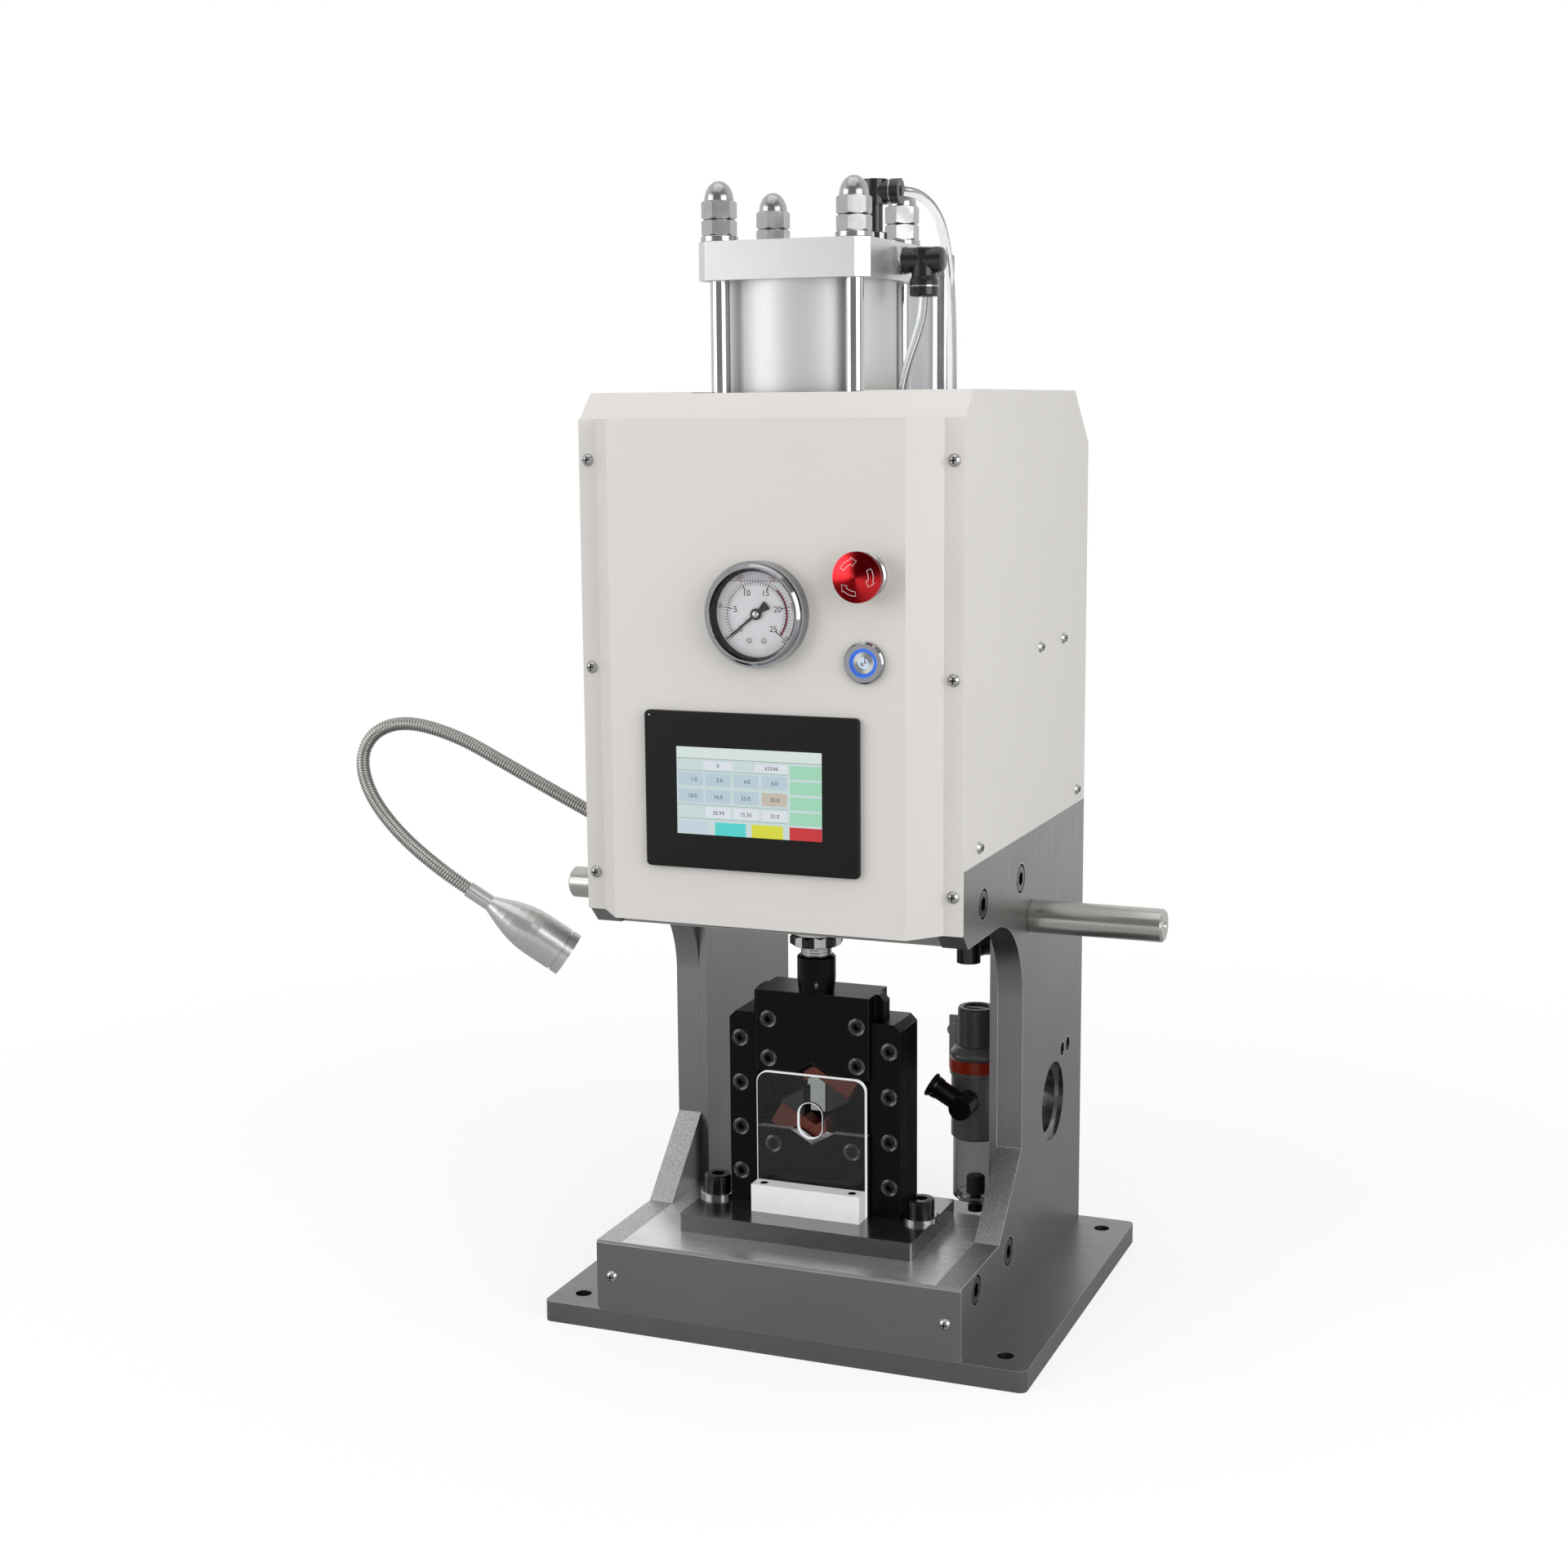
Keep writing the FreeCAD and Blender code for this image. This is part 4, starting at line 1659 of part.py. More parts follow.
def top_hose():
    """Clear hose from the top elbow over the edge and down through the case's top."""
    x = TOP_ELBOW_X + TOP_ELBOW_ARM - HOSE_DEPTH_IN_ELBOW
    y = ram_y + TOP_ELBOW_OFFSET_Y
    z = cylinder_top + TOP_ELBOW_STEM + TOP_ELBOW_HEIGHT / 2
    points = [vector(x, y, z), vector(x + 11.5, y, z),
              vector(x + 21.5, y + 2.6, z - 5.2), vector(x + 27.5, y + 7.3, z - 14.6),
              vector(x + 30.2, y + 14.3, z - 28.8), vector(x + 31, y + 22, z - 53.6),
              vector(x + HOSE_HOLE_REACH, y + HOSE_HOLE_OFFSET_Y, z - 97),
              vector(x + HOSE_HOLE_REACH, y + HOSE_HOLE_OFFSET_Y, z - 140)]
    return tube_along(points, HOSE_RADIUS)


def top_hose_hole():
    """Return the hole in the case's top that the upper hose passes through."""
    x = TOP_ELBOW_X + TOP_ELBOW_ARM - HOSE_DEPTH_IN_ELBOW + HOSE_HOLE_REACH
    y = ram_y + TOP_ELBOW_OFFSET_Y + HOSE_HOLE_OFFSET_Y
    return cylinder(HOSE_RADIUS + HOSE_HOLE_CLEARANCE, vector(x, y, shell_top - SHELL_SHEET),
                    vector(x, y, shell_top))


def oil_tank():
    """Light oil tank that stands on the case behind the cylinder."""
    half = TANK_WIDTH / 2
    tank = rounded_block((TANK_CENTRE_X - half, TANK_CENTRE_X + half),
                         (tank_front, tank_front + TANK_DEPTH),
                         (shell_top, shell_top + TANK_HEIGHT), TANK_CORNER_RADIUS,
                         vector(0, 0, 1))
    rim = [edge for edge in tank.Edges
           if edge.BoundBox.ZMin > shell_top + TANK_HEIGHT - 1e-6]
    return tank.makeChamfer(TANK_TOP_BEVEL, rim)


def breather_plug():
    """Breather on a thin stem beside the tank, with a hexagon and a round cap."""
    seat = vector(TANK_CENTRE_X + TANK_WIDTH / 2 + BREATHER_GAP, tank_front + BREATHER_SETBACK,
                  shell_top)
    hex_bottom = seat.add(vector(0, 0, BREATHER_STEM_HEIGHT))
    cap_bottom = hex_bottom.add(vector(0, 0, BREATHER_HEX_HEIGHT))
    stem = cylinder(BREATHER_STEM_RADIUS, seat, hex_bottom)
    hexagon = placed(chamfered_hexagon(BREATHER_HEX_FLATS, BREATHER_HEX_HEIGHT), hex_bottom,
                     vector(0, 0, 1))
    cap = cylinder(BREATHER_CAP_RADIUS, cap_bottom,
                   cap_bottom.add(vector(0, 0, BREATHER_CAP_HEIGHT)))
    return stem.fuse(hexagon).fuse(cap).removeSplitter()


def lamp_points():
    """Return the route of the lamp's neck from the case to the head."""
    return [vector(-side_outer - reach, frame_front + setback, z)
            for reach, (setback, z) in zip(LAMP_NECK_REACH, LAMP_NECK_ROUTE)]


def lamp_root():
    """Return the centre of the lamp's socket on the case's left side."""
    start = lamp_points()[0]
    return vector(-side_outer, start.y, start.z)


def lamp_root_hole():
    """Return the hole in the case that the lamp's socket passes through."""
    return cylinder(LAMP_NECK_RADIUS, lamp_root(), lamp_root().add(vector(SHELL_SHEET, 0, 0)))


def lamp_neck():
    """Bendable steel neck with the socket that holds it to the case."""
    neck = tube_along(lamp_points(), LAMP_NECK_RADIUS)
    root = lamp_root()
    socket = cylinder(LAMP_SOCKET_RADIUS, root, root.sub(vector(LAMP_SOCKET_LENGTH, 0, 0)))
    spigot = cylinder(LAMP_NECK_RADIUS, root, root.add(vector(SHELL_SHEET, 0, 0)))
    return neck.fuse(socket).fuse(spigot).removeSplitter()


def lamp_head():
    """Turned lamp head with a ferrule, a rounded shoulder, a groove and a front ring."""
    points = lamp_points()
    direction = points[-1].sub(points[-2])
    direction.normalize()
    shoulder = LAMP_FERRULE_LENGTH + LAMP_OGIVE_LENGTH
    ring = shoulder + LAMP_BODY_LENGTH
    front = ring + LAMP_RING_LENGTH
    steps = 6
    ogive = []
    for step in range(steps + 1):
        share = step / steps
        bulge = math.sin(share * math.pi / 2)
        radius = LAMP_FERRULE_RADIUS + (LAMP_BODY_RADIUS - LAMP_FERRULE_RADIUS) * bulge
        ogive.append((radius, LAMP_FERRULE_LENGTH + share * LAMP_OGIVE_LENGTH))
    profile = [(0, 0), (LAMP_FERRULE_RADIUS, 0)] + ogive + [
        (LAMP_BODY_RADIUS, ring - LAMP_GROOVE),
        (LAMP_BODY_RADIUS - LAMP_GROOVE, ring - LAMP_GROOVE),
        (LAMP_BODY_RADIUS - LAMP_GROOVE, ring), (LAMP_BODY_RADIUS, ring),
        (LAMP_BODY_RADIUS, front), (LAMP_MOUTH_RADIUS, front),
        (LAMP_MOUTH_RADIUS, front - LAMP_MOUTH_DEPTH), (0, front - LAMP_MOUTH_DEPTH)]
    return placed(turned(profile), points[-1], direction)


def all_nodes():
    """Return every node's name with its shape."""
    right_column = die_column()
    left_plate = mirrored(side_plate())
    return {
        "base_plate": base_plate(),
        "bed_block": bed_block(),
        "foot_front_cover": foot_front_cover(),
        "left_side_plate": left_plate,
        "right_side_plate": right_side_plate(),
        "left_inner_post": mirrored(inner_post()),
        "right_inner_post": right_inner_post(),
        "head_block": head_block(),
        "socket_screws": socket_screws(),
        "support_bars": support_bars(),
        "cover_shell": cover_shell(),
        "front_panel": front_panel(),
        "panel_screws": panel_screws(),
        "gauge_case": gauge_case(),
        "gauge_needle": gauge_needle(),
        "stop_collar": stop_collar(),
        "stop_stem": stop_stem(),
        "stop_head": stop_head(),
        "power_button_body": power_button_body(),
        "power_button_cap": power_button_cap(),
        "terminal_case": terminal_case(),
        "terminal_screen": terminal_screen(),
        "cylinder_base_cap": cylinder_base_cap(),
        "cylinder_barrel": cylinder_barrel(),
        "cylinder_top_plate": cylinder_top_plate(),
        "tie_rods": tie_rods(),
        "tie_rod_nuts": tie_rod_nuts(),
        "side_elbow": side_elbow(),
        "top_elbow": top_elbow(),
        "side_hose": side_hose(),
        "top_hose": top_hose(),
        "oil_tank": oil_tank(),
        "breather_plug": breather_plug(),
        "ram_rod": ram_rod(),
        "ram_coupling": ram_coupling(),
        "slider_block": slider_block(),
        "slider_screws": slider_screws(),
        "die_base_plate": die_base_plate(),
        "die_column_left": mirrored(right_column),
        "die_column_right": right_column,
        "gib_plates": gib_plates(),
        "die_screws": die_screws(),
        "lower_die_block": lower_die_block(),
        "jaw_bottom_left": jaw_bottom_left(),
        "jaw_bottom_right": jaw_bottom_right(),
        "jaw_left": jaw_left(),
        "jaw_right": jaw_right(),
        "jaw_top_left": jaw_top_left(),
        "jaw_top_right": jaw_top_right(),
        "guard_sheet": guard_sheet(),
        "guard_clamp": guard_clamp(),
        "regulator_bracket": regulator_bracket(),
        "regulator_body": regulator_body(),
        "regulator_bowl": regulator_bowl(),
        "regulator_knob": regulator_knob(),
        "drain_valve": drain_valve(),
        "regulator_elbow": regulator_elbow(),
        "head_elbow": head_elbow(),
        "lamp_neck": lamp_neck(),
        "lamp_head": lamp_head(),
    }


os.makedirs("parts", exist_ok=True)
for node, shape in all_nodes().items():
    shape.exportStep("parts/%s.step" % node)
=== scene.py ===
"""Looks of a bench crimping machine: an arched steel frame that carries a cased hydraulic head, a die
set with sliding jaws, a control panel, an air regulator and a bendable work lamp.

Sizes are in millimetres. The origin is the centre of the base plate's underside, with X to the right, Y
to the back and Z up.
"""
from __future__ import annotations

import logging
import math
from dataclasses import dataclass
from enum import Enum
from typing import Iterable, Sequence

import bmesh
import bpy
from mathutils import Matrix, Vector

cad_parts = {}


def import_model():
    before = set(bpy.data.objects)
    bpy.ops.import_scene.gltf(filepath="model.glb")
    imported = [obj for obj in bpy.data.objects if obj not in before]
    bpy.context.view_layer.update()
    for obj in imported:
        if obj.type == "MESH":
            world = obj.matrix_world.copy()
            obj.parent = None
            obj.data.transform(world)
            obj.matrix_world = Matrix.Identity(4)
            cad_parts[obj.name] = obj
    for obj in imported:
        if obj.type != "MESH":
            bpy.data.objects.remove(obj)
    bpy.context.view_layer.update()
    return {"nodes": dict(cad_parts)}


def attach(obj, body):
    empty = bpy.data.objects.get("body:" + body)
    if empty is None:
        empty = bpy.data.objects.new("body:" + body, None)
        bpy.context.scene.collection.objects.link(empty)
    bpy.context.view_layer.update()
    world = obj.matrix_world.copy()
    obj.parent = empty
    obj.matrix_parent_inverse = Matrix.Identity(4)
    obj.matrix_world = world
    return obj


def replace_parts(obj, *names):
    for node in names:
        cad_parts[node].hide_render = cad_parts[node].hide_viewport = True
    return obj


MM = 0.001
log = logging.getLogger("crimping_machine")

Point = tuple[float, float, float]
Flat = tuple[float, float]
Socket = bpy.types.NodeSocket
Tree = bpy.types.NodeTree
UP, DOWN, FRONT, RIGHT, LEFT = (0, 0, 1), (0, 0, -1), (0, -1, 0), (1, 0, 0), (-1, 0, 0)
# Level faces of a side plate below this height belong to its rough-cut foot.
FOOT_TOP = 80.0
# Y of the ram's axis, and of the faces of the die's blocks.
RAM_Y = -65
DIE_FACE_Y = -74


def linear(hex_colour: str) -> tuple[float, float, float, float]:
    """Turn an sRGB hex colour into linear light.

    Args:
        hex_colour: six hex digits.

    Returns:
        Red, green, blue and a full alpha.
    """
    def channel(index: int) -> float:
        """Return one channel in linear light."""
        value = int(hex_colour[index:index + 2], 16) / 255
        return value / 12.92 if value <= 0.04045 else ((value + 0.055) / 1.055) ** 2.4
    return channel(0), channel(2), channel(4), 1.0


def add_node(tree: Tree, kind: str, inputs: dict | None = None, **settings) -> bpy.types.Node:
    """Add one node with its settings, and fill or link its inputs.

    Args:
        tree: the shader or geometry tree.
        kind: the node's type.
        inputs: an input's name or place to a value or to another node's output.
        settings: the node's own properties.

    Returns:
        The new node.
    """
    node = tree.nodes.new(kind)
    for name, value in settings.items():
        setattr(node, name, value)
    for key, value in (inputs or {}).items():
        if isinstance(value, Socket):
            tree.links.new(value, node.inputs[key])
        else:
            node.inputs[key].default_value = value
    return node


def calc(tree: Tree, operation: str, *values: float | Socket, **settings) -> Socket:
    """Return the result of one sum.

    Args:
        tree: the shader or geometry tree.
        operation: the sum's name.
        values: its numbers.
        settings: the node's other properties.

    Returns:
        The result's socket.
    """
    node = add_node(tree, "ShaderNodeMath", dict(enumerate(values)), operation=operation, **settings)
    return node.outputs[0]


def blend(tree: Tree, share: Socket, first: str | Socket, second: str | Socket) -> Socket:
    """Return the mix of two colours.

    Args:
        tree: the shader tree.
        share: the second colour's share.
        first: a colour, as six hex digits or a socket.
        second: the other colour.

    Returns:
        The mixed colour's socket.
    """
    tones = [linear(tone) if isinstance(tone, str) else tone for tone in (first, second)]
    return add_node(tree, "ShaderNodeMix", {0: share, 6: tones[0], 7: tones[1]}, data_type="RGBA").outputs[2]


def remap(tree: Tree, value: Socket, span: Flat, result: Flat, smooth: bool = False) -> Socket:
    """Return a value stretched from one span to another.

    Args:
        tree: the shader tree.
        value: the value.
        span: where the result starts and ends.
        result: the result at both.
        smooth: whether it starts and ends softly.

    Returns:
        The result's socket.
    """
    return add_node(tree, "ShaderNodeMapRange", {
        "Value": value, "From Min": span[0], "From Max": span[1], "To Min": result[0], "To Max": result[1]},
        interpolation_type="SMOOTHSTEP" if smooth else "LINEAR").outputs[0]


class Grain(Enum):
    """Which way the marks of a surface run, as the marks' length in grain widths along X, Y and Z."""
    EVEN = (1.0, 1.0, 1.0)
    ALONG_X = (40.0, 1.0, 1.0)
    UPRIGHT = (1.0, 1.0, 40.0)
    TURNED_ON_X = (1.0, 18.0, 18.0)
    TURNED_ON_Z = (18.0, 18.0, 1.0)


class Surface:
    """What a piece looks like, as a named material that is made once."""

    name: str

    def material(self) -> bpy.types.Material:
        """Return this surface's material, made at the first call.

        Returns:
            The material.
        """
        found = bpy.data.materials.get(self.name)
        if found:
            return found
        material = bpy.data.materials.new(self.name)
        material.use_nodes = True
        tree = material.node_tree
        tree.nodes.clear()
        shader = self.shader(tree, add_node(tree, "ShaderNodeTexCoord").outputs["Object"])
        add_node(tree, "ShaderNodeOutputMaterial", {"Surface": shader.outputs[0]})
        return material

    def shader(self, tree: Tree, place: Socket) -> bpy.types.Node:
        """Wire the surface.

        Args:
            tree: the material's tree.
            place: the place on the piece, in metres.

        Returns:
            The surface shader.
        """
        raise NotImplementedError


@dataclass(frozen=True)
class Finish(Surface):
    """A finish, as the colours, shine and fine marks of a real surface.

    colour and shade are the two tones of slow mottling, mottle_mm is its size, grain_mm is the width of
    the surface's marks and depth_mm their depth.
    """
    name: str
    colour: str
    shade: str
    metallic: float = 0.0
    roughness: float = 0.4
    specular: float = 0.5
    mottle_mm: float = 60.0
    grain: Grain = Grain.EVEN
    grain_mm: float = 0.6
    depth_mm: float = 0.01
    gloss_spread: float = 0.08
    coat: float = 0.0
    sparkle: bool = False

    def shader(self, tree: Tree, place: Socket) -> bpy.types.Node:
        """Wire the mottling, the marks and the change of shine.

        Args:
            tree: the material's tree.
            place: the place on the piece, in metres.

        Returns:
            The surface shader.
        """
        slow = add_node(tree, "ShaderNodeTexNoise", {"Vector": place, "Scale": 1 / (self.mottle_mm * MM),
                                                     "Detail": 3.0, "Roughness": 0.55})
        tint = blend(tree, slow.outputs[0], self.colour, self.shade)
        stretch = tuple(1 / (self.grain_mm * MM * run) for run in self.grain.value)
        lined = add_node(tree, "ShaderNodeMapping", {"Vector": place, "Scale": stretch})
        marks = add_node(tree, "ShaderNodeTexNoise", {"Vector": lined.outputs[0], "Scale": 1.0,
                                                      "Detail": 4.0, "Roughness": 0.6}).outputs[0]
        shine = remap(tree, marks, (0.3, 0.7), (max(self.roughness - self.gloss_spread, 0.02),
                                                self.roughness + self.gloss_spread))
        normal = add_node(tree, "ShaderNodeBump", {"Height": marks, "Strength": 0.6,
                                                   "Distance": self.depth_mm * MM}).outputs[0]
        if self.sparkle:
            tint, shine, normal = self.cut_slope(tree, place, tint, shine, normal)
        return add_node(tree, "ShaderNodeBsdfPrincipled", {
            "Base Color": tint, "Roughness": shine, "Normal": normal, "Metallic": self.metallic, "IOR": 1.5,
            "Specular IOR Level": self.specular, "Coat Weight": self.coat, "Coat Roughness": 0.15})

    @staticmethod
    def cut_slope(tree: Tree, place: Socket, tint: Socket, shine: Socket,
                  normal: Socket) -> tuple[Socket, Socket, Socket]:
        """Give the plate's sloping foot, and the flat top below it, the coarse grain of a rough cut, with its
        glitter painted in as speckles of light and dark colour.

        Args:
            tree: the material's tree.
            place: the place on the piece.
            tint: the colour elsewhere.
            shine: the roughness elsewhere.
            normal: the surface direction elsewhere.

        Returns:
            The three sockets with the cut mixed in.
        """
        facing = add_node(tree, "ShaderNodeNewGeometry").outputs["True Normal"]
        aim = add_node(tree, "ShaderNodeVectorMath", {0: facing, 1: (0.0, -0.7, 0.71)},
                       operation="DOT_PRODUCT")
        slope = calc(tree, "GREATER_THAN", aim.outputs["Value"], 0.97)
        upright = add_node(tree, "ShaderNodeSeparateXYZ", {0: facing}).outputs[2]
        height = add_node(tree, "ShaderNodeSeparateXYZ", {0: place}).outputs[2]
        flat = calc(tree, "MULTIPLY", calc(tree, "GREATER_THAN", upright, 0.97),
                    calc(tree, "LESS_THAN", height, FOOT_TOP * MM))
        cut = calc(tree, "MAXIMUM", slope, flat)
        # Painted glitter: speckles from light to dark grey stand for the glints of the cut, over a real
        # coarse bump.
        grit = add_node(tree, "ShaderNodeTexVoronoi", {"Vector": place, "Scale": 1 / (0.7 * MM)})
        bright = blend(tree, grit.outputs["Distance"], "D2D2D3", "7C7C7D")
        rough = add_node(tree, "ShaderNodeMix", {0: cut, 2: shine, 3: 0.36})
        bump = add_node(tree, "ShaderNodeBump", {"Height": grit.outputs["Distance"], "Strength": 0.5,
                                                 "Distance": 0.12 * MM, "Normal": normal})
        facets = add_node(tree, "ShaderNodeMix", {0: cut, 4: normal, 5: bump.outputs[0]}, data_type="VECTOR")
        return blend(tree, cut, tint, bright), rough.outputs[0], facets.outputs[1]


@dataclass(frozen=True)
class Radial(Surface):
    """A face turned on a lathe: its shine runs out from the middle in soft wedges.

    The tool's fine rings lie across the radius, so the light gathers in fans. The fans here are a painted
    sheen: a change of the metal's tone with the angle round the axis, which looks the same from everywhere.
    """
    name: str
    colour: str
    shade: str
    centre: Point
    fans: float = 2.0
    turn_deg: float = 30.0
    roughness: float = 0.25

    def shader(self, tree: Tree, place: Socket) -> bpy.types.Node:
        """Wire the fans of painted sheen and the fine rings.

        Args:
            tree: the material's tree.
            place: the place on the piece, in metres.

        Returns:
            The surface shader.
        """
        local = add_node(tree, "ShaderNodeVectorMath", {0: place, 1: tuple(c * MM for c in self.centre)},
                         operation="SUBTRACT").outputs[0]
        axes = add_node(tree, "ShaderNodeSeparateXYZ", {0: local}).outputs
        angle = calc(tree, "ARCTAN2", axes["Z"], axes["X"])
        wave = calc(tree, "COSINE", calc(tree, "MULTIPLY_ADD", angle, self.fans, math.radians(self.turn_deg)))
        painted_sheen = remap(tree, wave, (-0.7, 1.0), (0.0, 1.0), smooth=True)
        reach = add_node(tree, "ShaderNodeVectorMath", {0: local}, operation="LENGTH").outputs["Value"]
        ripple = calc(tree, "SINE", calc(tree, "MULTIPLY", reach, 2 * math.pi / (0.35 * MM)))
        bump = add_node(tree, "ShaderNodeBump", {"Height": ripple, "Strength": 0.25, "Distance": 0.004 * MM})
        return add_node(tree, "ShaderNodeBsdfPrincipled", {
            "Base Color": blend(tree, painted_sheen, self.shade, self.colour), "Metallic": 1.0,
            "Roughness": self.roughness, "Normal": bump.outputs[0]})


@dataclass(frozen=True)
class Clear(Surface):
    """A clear plastic: light goes through it, and its edges and bends catch white lines."""
    name: str
    colour: str
    roughness: float = 0.05
    ior: float = 1.49
    clearness: float = 1.0
    cloud_mm: float = 12.0

    def shader(self, tree: Tree, place: Socket) -> bpy.types.Node:
        """Wire the clear body and its slight haze.

        Args:
            tree: the material's tree.
            place: the place on the piece, in metres.

        Returns:
            The surface shader.
        """
        cloud = add_node(tree, "ShaderNodeTexNoise", {"Vector": place, "Scale": 1 / (self.cloud_mm * MM),
                                                      "Detail": 2.0}).outputs[0]
        gloss = remap(tree, cloud, (0.0, 1.0), (self.roughness, self.roughness * 2.2))
        return add_node(tree, "ShaderNodeBsdfPrincipled", {
            "Base Color": linear(self.colour), "Roughness": gloss, "IOR": self.ior,
            "Transmission Weight": self.clearness})


@dataclass(frozen=True)
class Lit(Surface):
    """A lit surface: a display's coloured field or a lamp, seen through a thin gloss. Here it also gives
    painted light: the glow of the guard's cut edges and the blue light on the power button's bezel.
    """
    name: str
    colour: str
    glow: float = 0.85
    dot_mm: float = 0.35

    def shader(self, tree: Tree, place: Socket) -> bpy.types.Node:
        """Wire the light and its fine dots.

        Args:
            tree: the material's tree.
            place: the place on the piece, in metres.

        Returns:
            The surface shader.
        """
        dots = add_node(tree, "ShaderNodeTexNoise", {"Vector": place, "Scale": 1 / (self.dot_mm * MM),
                                                     "Detail": 1.0}).outputs[0]
        light = remap(tree, dots, (0.0, 1.0), (self.glow * 0.92, self.glow * 1.06))
        return add_node(tree, "ShaderNodeBsdfPrincipled", {
            "Base Color": linear("050505"), "Roughness": 0.25, "Specular IOR Level": 0.2,
            "Emission Color": linear(self.colour), "Emission Strength": light})


# Ground mild steel plate: a dull grey mirror with faint marks along the grinding.
PLATE_STEEL = Finish("ground_steel_plate", "8C8C8B", "767676", metallic=1.0, roughness=0.34,
                     mottle_mm=90, grain=Grain.UPRIGHT, grain_mm=0.9, depth_mm=0.003, sparkle=True)
# The milled base: the same grey with the cutter's long fine marks.
BASE_STEEL = Finish("milled_steel_base", "828283", "6E6E6F", metallic=1.0, roughness=0.34,
                    mottle_mm=60, grain=Grain.ALONG_X, grain_mm=0.8, depth_mm=0.004)
# The bed: a much lighter steel than the other plates, a painted sheen that stands for the light on its top.
BED_STEEL = Finish("ground_steel_bed", "EDEFF1", "C4C6C9", metallic=0.85, roughness=0.3,
                   mottle_mm=45, grain=Grain.ALONG_X, grain_mm=0.8, depth_mm=0.005)
# A painted highlight: a thin line of lighter steel on the rounded edges, brighter than the plate that it runs
# along.
EDGE_HIGHLIGHT = Finish("steel_edge_painted_highlight", "C6C6C6", "9C9C9C", metallic=0.6, roughness=0.3, mottle_mm=25,
                     grain_mm=0.5, depth_mm=0.002)
# Where the black skin wore off an edge: a thin dull grey line.
WORN_EDGE = Finish("worn_black_edge", "4C4C4E", "2A2A2B", metallic=0.5, roughness=0.3, mottle_mm=12,
                   grain_mm=0.5, depth_mm=0.002)
# Cold-rolled sheet: an even dull grey with a faint grain along the roll.
COVER_STEEL = Finish("cold_rolled_steel_sheet", "868686", "7A7A7B", metallic=1.0, roughness=0.38,
                     mottle_mm=80, grain=Grain.ALONG_X, grain_mm=0.7, depth_mm=0.003)
# A bore that was turned bright: fine rings round the axis.
BRIGHT_BORE = Finish("bright_turned_bore", "B4B4B2", "8E8E8D", metallic=1.0, roughness=0.2, mottle_mm=9,
                     grain=Grain.TURNED_ON_X, grain_mm=0.5, depth_mm=0.01)
# Bright thin rings round the screws and holes: a painted highlight on the edges of counterbores and screw
# heads.
RIM_HIGHLIGHT = Finish("rim_painted_highlight", "D4D4D4", "A8A8A8", metallic=1.0, roughness=0.18, mottle_mm=3,
                   grain_mm=0.3, depth_mm=0.002)
# Turned steel bar: rings of tool marks give it long soft lines of light.
BAR_STEEL = Finish("turned_steel_bar", "BEBEB9", "A9A9A4", metallic=1.0, roughness=0.22, mottle_mm=40,
                   grain=Grain.TURNED_ON_X, grain_mm=0.4, depth_mm=0.001, gloss_spread=0.03)
# Black oxide on machined steel: a thin dark skin that shines softly at a low angle.
BLACK_OXIDE = Finish("black_oxide_steel", "050506", "090909", roughness=0.3, specular=0.1,
                     mottle_mm=35, grain=Grain.ALONG_X, grain_mm=0.7, depth_mm=0.002)
# The die plate was oiled, so it shines more at a low angle.
OILED_OXIDE = Finish("oiled_black_oxide", "17171A", "202022", metallic=0.1, roughness=0.2, specular=1.0,
                     coat=1.0, mottle_mm=35, grain=Grain.ALONG_X, grain_mm=0.7, depth_mm=0.002)
# Black screw heads: small sharp lights on a smooth black skin.
BLACK_SCREW = Finish("black_oxide_screw", "0A0A0B", "101011", metallic=0.2, roughness=0.16, specular=0.45,
                     mottle_mm=4, grain_mm=0.25, depth_mm=0.003, gloss_spread=0.04)
# Zinc plate: bright, a little cloudy, with the flats' own tone.
ZINC = Finish("zinc_plated_steel", "B4B5B5", "9C9D9D", metallic=1.0, roughness=0.2, mottle_mm=9,
              grain_mm=0.5, depth_mm=0.001, gloss_spread=0.05)
# A raw turned nut: darker than plate, with an oily film.
RAW_NUT = Finish("raw_turned_nut", "343231", "282625", metallic=1.0, roughness=0.24, mottle_mm=8,
                 grain=Grain.TURNED_ON_Z, grain_mm=0.4, depth_mm=0.002)
# Powder coat: a warm light grey with the fine skin of baked powder.
POWDER_COAT = Finish("powder_coat_light_grey", "DAD7D3", "D5D2CD", roughness=0.42, specular=0.35,
                     mottle_mm=120, grain_mm=0.9, depth_mm=0.012, gloss_spread=0.05)
# Drawn and anodised aluminium tube: pale and soft, with no sharp line of light.
DRAWN_ALUMINIUM = Finish("drawn_anodised_aluminium", "CECDCC", "C7C6C5", metallic=0.6, roughness=0.48,
                         mottle_mm=60, grain=Grain.UPRIGHT, grain_mm=0.9, depth_mm=0.001, gloss_spread=0.03)
# End plates, sawn and brushed: pale, with faint long marks.
PLATE_ALUMINIUM = Finish("brushed_aluminium_plate", "D4D4D4", "CBCBCB", metallic=0.85, roughness=0.38,
                         mottle_mm=40, grain=Grain.ALONG_X, grain_mm=0.6, depth_mm=0.001, gloss_spread=0.03)
# The clamp is bead blasted under its brushing, so it spreads the light nearly as paint does.
CLAMP_ALUMINIUM = Finish("blasted_aluminium_clamp", "FBFAFC", "EAE9EC", metallic=0.0, roughness=0.35,
                         mottle_mm=9, grain=Grain.ALONG_X, grain_mm=0.5, depth_mm=0.012)
# Hard chrome: hard bright lines down each rod.
HARD_CHROME = Finish("hard_chrome_rod", "C6C6C6", "B4B4B4", metallic=1.0, roughness=0.1, mottle_mm=20,
                     grain_mm=0.5, depth_mm=0.001, gloss_spread=0.03)
